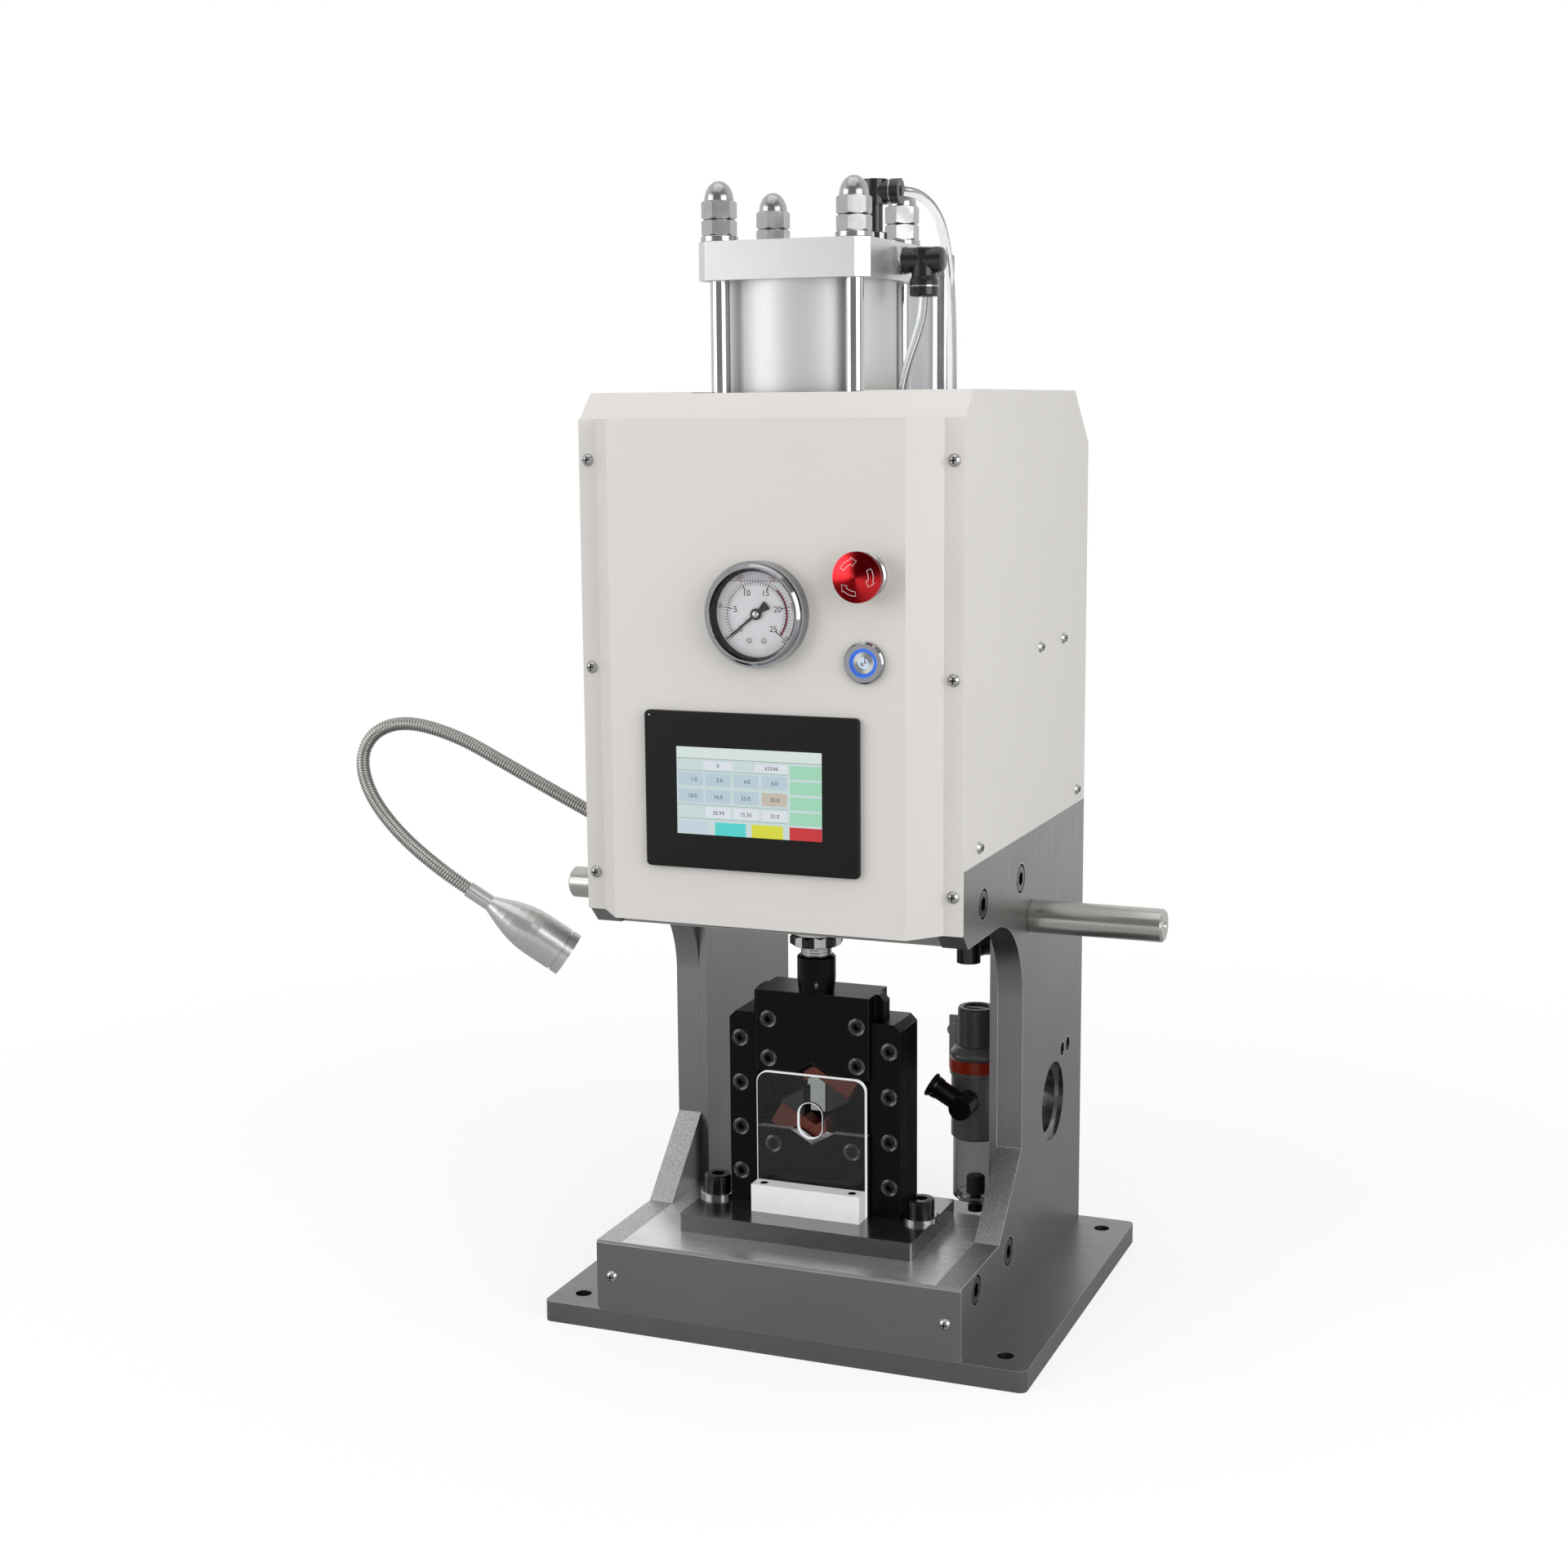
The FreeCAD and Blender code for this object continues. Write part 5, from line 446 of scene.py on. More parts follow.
# Polished and chromed brass bezel: near mirror with a faint haze.
POLISHED_CHROME = Finish("polished_chrome", "A4A5A8", "8E8F92", metallic=1.0, roughness=0.08, mottle_mm=12,
                         grain_mm=0.5, depth_mm=0.001, gloss_spread=0.03)
# Satin anodising: soft silver without a sharp reflection.
SATIN_SILVER = Finish("satin_anodised_silver", "C8C8C6", "B2B2B1", metallic=1.0, roughness=0.24,
                      mottle_mm=10, grain_mm=0.3, depth_mm=0.003)
# Glass-filled nylon of push-in fittings: black with a soft moulded shine.
NYLON = Finish("moulded_black_nylon", "0E0E0F", "141415", roughness=0.24, specular=0.6, mottle_mm=6,
               grain_mm=0.35, depth_mm=0.004)
# ABS housing with a spark-eroded skin: matt black that spreads the light.
MATT_ABS = Finish("matt_black_abs", "0B0B0D", "101012", roughness=0.45, specular=0.2, mottle_mm=40,
                  grain_mm=0.4, depth_mm=0.006)
# Enamel on the tank: an even cool light grey.
GREY_ENAMEL = Finish("grey_enamel", "C3C6C8", "B7BABD", roughness=0.35, mottle_mm=50, grain_mm=1.0,
                     depth_mm=0.01)
# The bracket's paint: a flat light grey.
BRACKET_PAINT = Finish("bracket_grey_paint", "BFC1C2", "AEB0B1", roughness=0.4, mottle_mm=25, grain_mm=0.8,
                       depth_mm=0.01)
# Paint over die casting: mid grey with a soft shine.
REGULATOR_GREY = Finish("die_cast_grey_paint", "8A8B8B", "7D7E7E", roughness=0.3, mottle_mm=20,
                        grain_mm=0.5, depth_mm=0.006)
# The knob's moulded plastic: darker grey, half matt.
KNOB_PLASTIC = Finish("moulded_grey_knob", "6A6B6C", "606162", roughness=0.38, specular=0.5,
                      mottle_mm=15, grain_mm=0.4, depth_mm=0.006)
# Hard coat on the jaw steel: red brown with a dry sheen.
JAW_COAT = Finish("hard_coated_jaw_steel", "7A3524", "54261B", metallic=0.3, roughness=0.36, mottle_mm=6,
                  grain_mm=0.3, depth_mm=0.005)
# The moulded ring: a strong orange red, the regulator's only colour.
ORANGE_RING = Finish("moulded_orange_ring", "D23C18", "B93012", roughness=0.35, mottle_mm=8, grain_mm=0.4,
                     depth_mm=0.005)
# The needle: matt black, so that it stands out on the dial.
NEEDLE_PAINT = Finish("matt_needle_paint", "0E0E10", "161618", roughness=0.45, mottle_mm=3, grain_mm=0.3,
                      depth_mm=0.003)
# The dial in its fluid: a slightly cool white.
DIAL_WHITE = Finish("printed_dial_white", "F1F1F4", "E7E8EC", roughness=0.4, mottle_mm=14, grain_mm=0.4,
                    depth_mm=0.002)
# The dial above the fluid: a little greyer, with the fluid's edge as a thin line.
DIAL_DRY = Finish("dial_above_the_fluid", "DAD9DF", "CFCED5", roughness=0.4, mottle_mm=10, grain_mm=0.4,
                  depth_mm=0.002)
DIAL_LINE = Finish("fluid_line", "A9A8AD", "98979C", roughness=0.3, mottle_mm=6, grain_mm=0.3,
                   depth_mm=0.001)
# Printed inks: flat and matt, black, dark red and white.
INK_BLACK = Finish("printed_black_ink", "0C0C0E", "161619", roughness=0.5, mottle_mm=3, grain_mm=0.3,
                   depth_mm=0.001)
INK_RED = Finish("printed_dark_red_ink", "7A1030", "6A0E2A", roughness=0.5, mottle_mm=3, grain_mm=0.3,
                 depth_mm=0.001)
INK_WHITE = Finish("printed_white_ink", "E9E4E4", "DDD6D6", roughness=0.5, mottle_mm=3, grain_mm=0.3,
                   depth_mm=0.001)
# The seal: dull black that closes the dial off.
RUBBER = Finish("black_rubber_seal", "09090A", "101011", roughness=0.6, specular=0.3, mottle_mm=6,
                grain_mm=0.5, depth_mm=0.004)
# The wound strip: a row of small bright lines along the neck.
NECK_STEEL = Finish("wound_steel_strip", "B4B3B0", "9A9996", metallic=1.0, roughness=0.22, mottle_mm=12,
                    grain_mm=0.4, depth_mm=0.002)
# The turned lamp: pale metal with a soft sheen.
LAMP_ALUMINIUM = Finish("turned_anodised_aluminium", "CBCBCA", "BEBEBD", metallic=0.8, roughness=0.28,
                        mottle_mm=14, grain_mm=0.4, depth_mm=0.003)
# Nickel plate: small bright screws that aren't quite a mirror.
SCREW_STEEL = Finish("nickel_plated_screw", "BDBDBC", "A2A2A1", metallic=1.0, roughness=0.25, mottle_mm=3,
                     grain_mm=0.3, depth_mm=0.003)
# The filter: a dry warm white behind the bowl.
FILTER_WHITE = Finish("sintered_filter", "C9C7B8", "B8B6A6", roughness=0.7, mottle_mm=3, grain_mm=0.5,
                      depth_mm=0.03)
# The two side jaws: a dark steel, a little brown.
JAW_DARK = Finish("dark_side_jaw_steel", "1B1A19", "251E1B", roughness=0.35, specular=0.4, mottle_mm=6,
                  grain_mm=0.3, depth_mm=0.004)
# The cross recesses: nearly black, a painted shade in the screw heads.
CROSS_SHADE = Finish("cross_recess_painted_shade", "1A1A1B", "262627", roughness=0.5, mottle_mm=2, grain_mm=0.2,
                depth_mm=0.002)
# A painted sheen: a light line on the black block's top lip, where light falls on it.
LIP_SHEEN = Finish("lip_painted_sheen", "E6E6E8", "B4B4B6", metallic=0.5, roughness=0.3, mottle_mm=8,
                    grain=Grain.ALONG_X, grain_mm=0.4, depth_mm=0.002)
# The clear parts: seen mostly by their edges and by soft white reflections.
GUARD_ACRYLIC = Clear("clear_acrylic_guard", "F6F8F8", roughness=0.004, ior=1.3, cloud_mm=40)
# A grey film that dims what is seen through the die's feed opening: a painted shade.
SHADE_FILM = Clear("grey_painted_shade_film", "8E918E", roughness=0.004, ior=1.15, cloud_mm=40)
BOWL_PLASTIC = Clear("clear_polycarbonate_bowl", "A3A4A3", roughness=0.03, ior=1.4)
HOSE_PLASTIC = Clear("clear_polyurethane_hose", "F0F2F2", roughness=0.05, ior=1.3, clearness=0.95)
GAUGE_GLASS = Clear("gauge_glass", "FFFFFF", roughness=0.01, ior=1.2, cloud_mm=60)


def put(name: str, data: bpy.types.ID) -> bpy.types.Object:
    """Add an object to the scene.

    Args:
        name: its name.
        data: its mesh, curve, camera or light.

    Returns:
        The object.
    """
    thing = bpy.data.objects.new(name, data)
    bpy.context.scene.collection.objects.link(thing)
    return thing


def plain_mesh(holder: bpy.types.Object) -> bpy.types.Mesh:
    """Turn an object into a plain mesh and remove it.

    Args:
        holder: the object.

    Returns:
        The mesh that it comes to with its modifiers.
    """
    graph = bpy.context.evaluated_depsgraph_get()
    mesh = bpy.data.meshes.new_from_object(holder.evaluated_get(graph))
    bpy.data.objects.remove(holder)
    return mesh


def as_piece(name: str, mesh: bpy.types.Mesh, body: str, finish: Surface) -> bpy.types.Object:
    """Make a mesh a piece that rides on a body.

    Args:
        name: the piece's name.
        mesh: its mesh, with its place in it.
        body: the CAD body that it rides on.
        finish: its finish.

    Returns:
        The piece.
    """
    piece = put(name, mesh)
    mesh.materials.clear()
    mesh.materials.append(finish.material())
    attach(piece, body)
    log.info("piece %s: %d faces, %s", name, len(mesh.polygons), finish.name)
    return piece


class Shape:
    """A mesh in the making, from outlines in millimetres. Its methods return it, for the next call."""

    def __init__(self) -> None:
        """Start empty."""
        self.mesh = bmesh.new()

    def corner(self, place: Sequence[float]) -> bmesh.types.BMVert:
        """Add one corner and return it."""
        return self.mesh.verts.new(Vector(place) * MM)

    def loft(self, rings: Sequence[list[bmesh.types.BMVert]], closed: bool) -> Shape:
        """Join rings of corners with faces.

        Args:
            rings: the rings, each of one corner or of as many as the others.
            closed: whether the last ring joins the first, or else both ends get a face.

        Returns:
            This shape.
        """
        for low, high in zip(rings, rings[1:] + rings[:1] if closed else rings[1:]):
            count = max(len(low), len(high))
            for step in range(count):
                after = (step + 1) % count
                loop = list(dict.fromkeys((low[step % len(low)], low[after % len(low)],
                                           high[after % len(high)], high[step % len(high)])))
                if len(loop) > 2:
                    self.mesh.faces.new(loop)
        if not closed and len(rings[0]) > 1:
            self.mesh.faces.new(rings[0][::-1])
            self.mesh.faces.new(rings[-1])
        return self

    def wheel(self, centre: Point, axis: Point, height: float,
              reach: Sequence[float]) -> list[bmesh.types.BMVert]:
        """Add a ring of corners round an axis.

        Args:
            centre: where height is zero.
            axis: the direction that height grows in.
            height: the ring's height.
            reach: each corner's distance from the axis.

        Returns:
            The corners.
        """
        turn = Vector(UP).rotation_difference(Vector(axis)).to_matrix()
        angles = [2 * math.pi * step / len(reach) for step in range(len(reach))]
        return [self.corner(Vector(centre) + turn @ Vector((far * math.cos(a), far * math.sin(a), height)))
                for far, a in zip(reach, angles)]

    def lathe(self, outline: Sequence[Flat], centre: Point, axis: Point, segments: int = 64) -> Shape:
        """Turn an outline round an axis into a closed solid.

        Args:
            outline: radius and height pairs. It begins and ends on the axis, or it is closed to a ring.
            centre: where height is zero.
            axis: the direction that height grows in.
            segments: steps round the axis.

        Returns:
            This shape.
        """
        rings = [self.wheel(centre, axis, height, [radius] * (segments if radius else 1))
                 for radius, height in outline]
        return self.loft(rings, closed=outline[0][0] > 0)

    def nut(self, centre: Point, axis: Point, flats: float, height: float, inner: float = 0.0,
            both: bool = True) -> Shape:
        """Add a hexagon nut whose corners are turned down to a cone.

        Args:
            centre: the middle of its seat.
            axis: the direction of its height.
            flats: its size across the flats.
            height: its height.
            inner: the radius of its hole, or 0 for none.
            both: whether the seat's corners are turned down too.

        Returns:
            This shape.
        """
        segments, sixth = 72, math.pi / 3
        sides = [flats / 2 / math.cos((2 * math.pi * step / segments + sixth / 2) % sixth - sixth / 2)
                 for step in range(segments)]
        corner = flats / 2 / math.cos(sixth / 2)
        fall = (corner - flats / 2) * 1.15
        drop = fall * math.tan(math.radians(30))
        shares = (0.0, 0.18, 0.4, 0.7, 1.0)
        rings = []
        for level in [share * drop for share in shares] + [height - share * drop for share in shares[::-1]]:
            low = level / drop if both else 1.0
            reach = corner - fall * (1 - min((height - level) / drop, low, 1.0))
            rings.append(self.wheel(centre, axis, level, [min(side, reach) for side in sides]))
        if inner:
            rings += [self.wheel(centre, axis, level, [inner] * segments) for level in (height, 0.0)]
        return self.loft(rings, closed=bool(inner))

    def slab(self, outline: Sequence[Flat], front: float, back: float) -> Shape:
        """Add a thin plate that faces the front.

        Args:
            outline: X and Z pairs round the plate.
            front: the Y of its face.
            back: the Y of its rear.

        Returns:
            This shape.
        """
        faces = [[self.corner((x, y, z)) for x, z in outline] for y in (front, back)]
        self.mesh.faces.new(faces[0])
        self.mesh.faces.new(faces[1][::-1])
        for index in range(len(outline)):
            after = (index + 1) % len(outline)
            self.mesh.faces.new([faces[0][after], faces[0][index], faces[1][index], faces[1][after]])
        return self

    def block(self, centre: Point, size: Point) -> Shape:
        """Add a box.

        Args:
            centre: its middle.
            size: its size along X, Y and Z.

        Returns:
            This shape.
        """
        place = Matrix.Translation(Vector(centre) * MM) @ Matrix.Diagonal((*(Vector(size) * MM), 1.0))
        bmesh.ops.create_cube(self.mesh, size=1.0, matrix=place)
        return self

    def plate(self, outer: Sequence[Flat], inner: Sequence[Flat], front: float, back: float) -> Shape:
        """Add a plate with one hole that faces the front.

        Args:
            outer: X and Z pairs round the plate.
            inner: as many pairs round the hole, from the same corner on.
            front: the Y of its face.
            back: the Y of its rear.

        Returns:
            This shape.
        """
        section = ((outer, front), (inner, front), (inner, back), (outer, back))
        return self.loft([[self.corner((x, y, z)) for x, z in pairs] for pairs, y in section], closed=True)

    def arc_band(self, centre: Flat, radii: Flat, angles: Flat, front: float, back: float,
                 steps: int = 48) -> Shape:
        """Add a thin curved band that faces the front.

        Args:
            centre: X and Z of the arc's middle.
            radii: inner and outer radius.
            angles: first and last angle in degrees, from +X towards +Z.
            front: the Y of its face.
            back: the Y of its rear.
            steps: pieces along the arc.

        Returns:
            This shape.
        """
        start, end = angles
        whole = abs(abs(end - start) - 360) < 1e-6
        section = ((radii[0], front), (radii[1], front), (radii[1], back), (radii[0], back))
        turns = [math.radians(start + (end - start) * step / steps) for step in range(steps + (not whole))]
        rings = []
        for turn in turns:
            flat = [(polar(centre, radius, turn), y) for radius, y in section]
            rings.append([self.corner((x, y, z)) for (x, z), y in flat])
        return self.loft(rings, closed=whole)

    def writing(self, text: str, middle: Flat, height: float, front: float, turn_deg: float = 0.0,
                depth: float = 0.06) -> Shape:
        """Add plain numbers that face the front.

        Args:
            text: the digits.
            middle: X and Z of their middle.
            height: the height of a digit.
            front: the Y of their face.
            turn_deg: how far they are turned, counter-clockwise.
            depth: their thickness.

        Returns:
            This shape.
        """
        curve = bpy.data.curves.new("numbers", "FONT")
        curve.body = text
        curve.size = height * 1.35
        curve.align_x = "CENTER"
        curve.align_y = "CENTER"
        curve.extrude = depth / 2
        mesh = plain_mesh(put("numbers", curve))
        mesh.transform(Matrix.Translation(Vector((middle[0], front + depth / 2, middle[1])) * MM)
                       @ Matrix.Rotation(-math.radians(turn_deg), 4, "Y")
                       @ Matrix.Rotation(math.pi / 2, 4, "X") @ Matrix.Scale(MM, 4))
        self.mesh.from_mesh(mesh)
        bpy.data.meshes.remove(mesh)
        return self

    def tube(self, points: Sequence[Vector], radius: float, sides: int) -> Shape:
        """Add a thin round line through points and back to the first one.

        Args:
            points: the line's points.
            radius: its radius.
            sides: faces round it.

        Returns:
            This shape.
        """
        rings, side = [], None
        for index, point in enumerate(points):
            run = (points[(index + 1) % len(points)] - points[index - 1]).normalized()
            side = (run.orthogonal() if side is None else side - run * side.dot(run)).normalized()
            turns = [2 * math.pi * k / sides for k in range(sides)]
            rings.append([self.corner(point + (side * math.cos(a) + run.cross(side) * math.sin(a)) * radius)
                          for a in turns])
        return self.loft(rings, closed=True)

    def closed_mesh(self, name: str) -> bpy.types.Mesh:
        """Weld and shade the mesh, and end this shape.

        Args:
            name: the mesh's name.

        Returns:
            The mesh.
        """
        bmesh.ops.remove_doubles(self.mesh, verts=self.mesh.verts, dist=1e-7)
        bmesh.ops.recalc_face_normals(self.mesh, faces=self.mesh.faces)
        for face in self.mesh.faces:
            face.smooth = True
        for edge in self.mesh.edges:
            edge.smooth = not (edge.is_manifold and edge.calc_face_angle(0.0) > math.radians(32))
        mesh = bpy.data.meshes.new(name)
        self.mesh.to_mesh(mesh)
        self.mesh.free()
        return mesh

    def done(self, name: str, body: str, finish: Surface, slot: str) -> bpy.types.Object:
        """Close the mesh and make it a piece.

        Args:
            name: the piece's name.
            body: the CAD body that it rides on.
            finish: its finish.
            slot: the record's material slot; not used.

        Returns:
            The piece.
        """
        return as_piece(name, self.closed_mesh(name), body, finish)


class Recipe:
    """A tree of geometry nodes with named sizes, run once into a plain mesh."""

    def __init__(self, name: str) -> None:
        """Start a tree that takes a mesh in.

        Args:
            name: the tree's name.
        """
        self.name = name
        self.tree = bpy.data.node_groups.new(name, "GeometryNodeTree")
        for way in ("INPUT", "OUTPUT"):
            self.tree.interface.new_socket(name="Geometry", in_out=way, socket_type="NodeSocketGeometry")
        self.sizes: dict[str, float | int] = {}
        self.entry = add_node(self.tree, "NodeGroupInput")

    def size(self, name: str, value: float | int) -> Socket:
        """Add a named size and return its output.

        Args:
            name: the size's name.
            value: its value, a whole number for a count.

        Returns:
            The socket that gives it.
        """
        kind = "NodeSocketInt" if isinstance(value, int) else "NodeSocketFloat"
        self.tree.interface.new_socket(name=name, in_out="INPUT", socket_type=kind)
        self.sizes[name] = value
        return self.entry.outputs[name]

    def run(self, start: bpy.types.Mesh, result: Socket, finish: Surface) -> bpy.types.Mesh:
        """Close the tree, evaluate it and return its mesh.

        Args:
            start: the mesh that goes in.
            result: the geometry that comes out.
            finish: the finish of what comes out.

        Returns:
            A plain mesh.
        """
        real = add_node(self.tree, "GeometryNodeRealizeInstances", {"Geometry": result})
        painted = add_node(self.tree, "GeometryNodeSetMaterial", {"Geometry": real.outputs[0],
                                                                  "Material": finish.material()})
        add_node(self.tree, "NodeGroupOutput", {"Geometry": painted.outputs[0]})
        holder = put(self.name, start)
        modifier = holder.modifiers.new(self.name, "NODES")
        modifier.node_group = self.tree
        for socket in self.tree.interface.items_tree:
            if socket.in_out == "INPUT" and socket.name in self.sizes:
                modifier[socket.identifier] = self.sizes[socket.name]
        return plain_mesh(holder)


def tick_ring(name: str, centre: Point, inner: float, length: float, width: float, count: int,
              start_deg: float, step_deg: float, finish: Finish) -> bpy.types.Mesh:
    """Make a dial's ring of marks with geometry nodes.

    Args:
        name: the tree's name.
        centre: the dial's middle, with the Y of the marks' middle.
        inner: the radius where a mark starts.
        length: a mark's length.
        width: a mark's width.
        count: how many marks.
        start_deg: the first mark's angle, from +X towards +Z.
        step_deg: the angle from mark to mark.
        finish: the ink.

    Returns:
        A plain mesh.
    """
    recipe = Recipe(name)
    marks = recipe.size("Mark count", count)
    reach = recipe.size("Middle radius", (inner + length / 2) * MM)
    first = recipe.size("First angle", math.radians(start_deg))
    step = recipe.size("Step angle", math.radians(step_deg))
    long = recipe.size("Mark length", length * MM)
    wide = recipe.size("Mark width", width * MM)
    index = add_node(recipe.tree, "GeometryNodeInputIndex").outputs[0]
    angle = calc(recipe.tree, "MULTIPLY_ADD", index, step, first)
    across = calc(recipe.tree, "MULTIPLY_ADD", calc(recipe.tree, "COSINE", angle), reach, centre[0] * MM)
    up = calc(recipe.tree, "MULTIPLY_ADD", calc(recipe.tree, "SINE", angle), reach, centre[2] * MM)
    place = add_node(recipe.tree, "ShaderNodeCombineXYZ", {0: across, 1: centre[1] * MM, 2: up})
    points = add_node(recipe.tree, "GeometryNodePoints", {"Count": marks, "Position": place.outputs[0]})
    extent = add_node(recipe.tree, "ShaderNodeCombineXYZ", {0: long, 1: 0.06 * MM, 2: wide})
    mark = add_node(recipe.tree, "GeometryNodeMeshCube", {"Size": extent.outputs[0]})
    turn = add_node(recipe.tree, "ShaderNodeCombineXYZ", {1: calc(recipe.tree, "MULTIPLY", angle, -1.0)})
    placed = add_node(recipe.tree, "GeometryNodeInstanceOnPoints", {
        "Points": points.outputs[0], "Instance": mark.outputs[0], "Rotation": turn.outputs[0]})
    return recipe.run(bpy.data.meshes.new(name), placed.outputs[0], finish)


def ring_run(name: str, path: bpy.types.Mesh, pitch: float, radius: float, wire: float, core: float,
             finish: Finish) -> bpy.types.Mesh:
    """Set rings of round strip side by side along a path, over a core, with geometry nodes.

    Args:
        name: the tree's name.
        path: a chain of edges in metres.
        pitch: the distance from ring to ring.
        radius: the radius of a ring's middle line.
        wire: the strip's own radius.
        core: the radius of the core inside the rings.
        finish: the finish of both.

    Returns:
        A plain mesh.
    """
    recipe = Recipe(name)
    gap = recipe.size("Pitch", pitch * MM)
    wide = recipe.size("Ring radius", radius * MM)
    thin = recipe.size("Strip radius", wire * MM)
    inside = recipe.size("Core radius", core * MM)
    curve = add_node(recipe.tree, "GeometryNodeMeshToCurve", {"Mesh": recipe.entry.outputs["Geometry"]})
    spaced = add_node(recipe.tree, "GeometryNodeResampleCurve", {"Curve": curve.outputs[0], "Length": gap},
                      mode="LENGTH")
    circle = add_node(recipe.tree, "GeometryNodeCurvePrimitiveCircle", {"Resolution": 20, "Radius": wide})
    section = add_node(recipe.tree, "GeometryNodeCurvePrimitiveCircle", {"Resolution": 8, "Radius": thin})
    ring = add_node(recipe.tree, "GeometryNodeCurveToMesh", {"Curve": circle.outputs[0],
                                                             "Profile Curve": section.outputs[0]})
    run = add_node(recipe.tree, "GeometryNodeInputTangent")
    aim = add_node(recipe.tree, "FunctionNodeAlignEulerToVector", {"Vector": run.outputs[0]}, axis="Z")
    placed = add_node(recipe.tree, "GeometryNodeInstanceOnPoints", {
        "Points": spaced.outputs[0], "Instance": ring.outputs[0], "Rotation": aim.outputs[0]})
    inner = add_node(recipe.tree, "GeometryNodeCurvePrimitiveCircle", {"Resolution": 16, "Radius": inside})
    body = add_node(recipe.tree, "GeometryNodeCurveToMesh", {
        "Curve": spaced.outputs[0], "Profile Curve": inner.outputs[0], "Fill Caps": True})
    both = add_node(recipe.tree, "GeometryNodeJoinGeometry", {"Geometry": placed.outputs[0]})
    recipe.tree.links.new(body.outputs[0], both.inputs[0])
    return recipe.run(path, both.outputs[0], finish)


def spline(name: str, points: Iterable[Point]) -> bpy.types.Curve:
    """Return a smooth open curve with the route's points as its control points.

    Args:
        name: the curve's name.
        points: the route, in millimetres.

    Returns:
        The curve.
    """
    curve = bpy.data.curves.new(name, "CURVE")
    curve.dimensions = "3D"
    curve.resolution_u = 16
    line = curve.splines.new("NURBS")
    route = list(points)
    line.points.add(len(route) - 1)
    for target, point in zip(line.points, route):
        target.co = (*(Vector(point) * MM), 1.0)
    line.order_u = 3
    line.use_endpoint_u = True
    return curve


def chain(name: str, points: Iterable[Point]) -> bpy.types.Mesh:
    """Return the edges that follow a smooth curve through a route.

    Args:
        name: the mesh's name.
        points: the route, in millimetres.

    Returns:
        A mesh of edges.
    """
    return plain_mesh(put(name, spline(name, points)))


def repeated(name: str, unit: bpy.types.Mesh, places: Sequence[Point], finish: Finish) -> bpy.types.Mesh:
    """Set copies of one mesh at several places with geometry nodes.

    Args:
        name: the tree's name.
        unit: the mesh, round the origin.
        places: where the copies go, in millimetres.
        finish: their finish.

    Returns:
        A plain mesh.
    """
    recipe = Recipe(name)
    size = recipe.size("Size", 1.0)
    holder = bpy.data.objects.new(name + "_unit", unit)
    source = add_node(recipe.tree, "GeometryNodeObjectInfo", {"Object": holder})
    placed = add_node(recipe.tree, "GeometryNodeInstanceOnPoints", {
        "Points": recipe.entry.outputs["Geometry"], "Instance": source.outputs["Geometry"], "Scale": size})
    seats = bpy.data.meshes.new(name)
    seats.from_pydata([tuple(Vector(place) * MM) for place in places], [], [])
    mesh = recipe.run(seats, placed.outputs[0], finish)
    bpy.data.objects.remove(holder)
    return mesh


def polar(centre: Flat, radius: float, angle: float) -> Flat:
    """Return the X and Z of a point at a distance and an angle, from +X towards +Z."""
    return centre[0] + radius * math.cos(angle), centre[1] + radius * math.sin(angle)


def circle(centre: Flat, radius: float, steps: int) -> list[Flat]:
    """Return the points of a circle in X and Z."""
    return [polar(centre, radius, 2 * math.pi * k / steps) for k in range(steps)]


def oblong(left: float, bottom: float, right: float, top: float) -> list[Flat]:
    """Return the corners of an upright rectangle."""
    return [(left, bottom), (right, bottom), (right, top), (left, top)]


def band(inner: float, outer: float, height: float) -> list[Flat]:
    """Return the outline of a plain ring, for the lathe."""
    return oblong(inner, 0, outer, height)


def rounded(centre: Flat, width: float, height: float, radii: Sequence[float], steps: int = 10) -> list[Flat]:
    """Return the points of a rectangle in X and Z with rounded corners.

    Args:
        centre: its middle.
        width: its size along X.
        height: its size along Z.
        radii: the corner radii at the upper right, upper left, lower left and lower right.
        steps: pieces per corner.

    Returns:
        The points, counter-clockwise from the upper right corner.
    """
    points = []
    for quarter, (side, level) in enumerate(((1, 1), (-1, 1), (-1, -1), (1, -1))):
        radius = radii[quarter]
        x = centre[0] + side * (width / 2 - radius)
        z = centre[1] + level * (height / 2 - radius)
        for step in range(steps + 1):
            angle = math.radians(90 * (quarter + step / steps))
            points.append(polar((x, z), radius, angle))
    return points


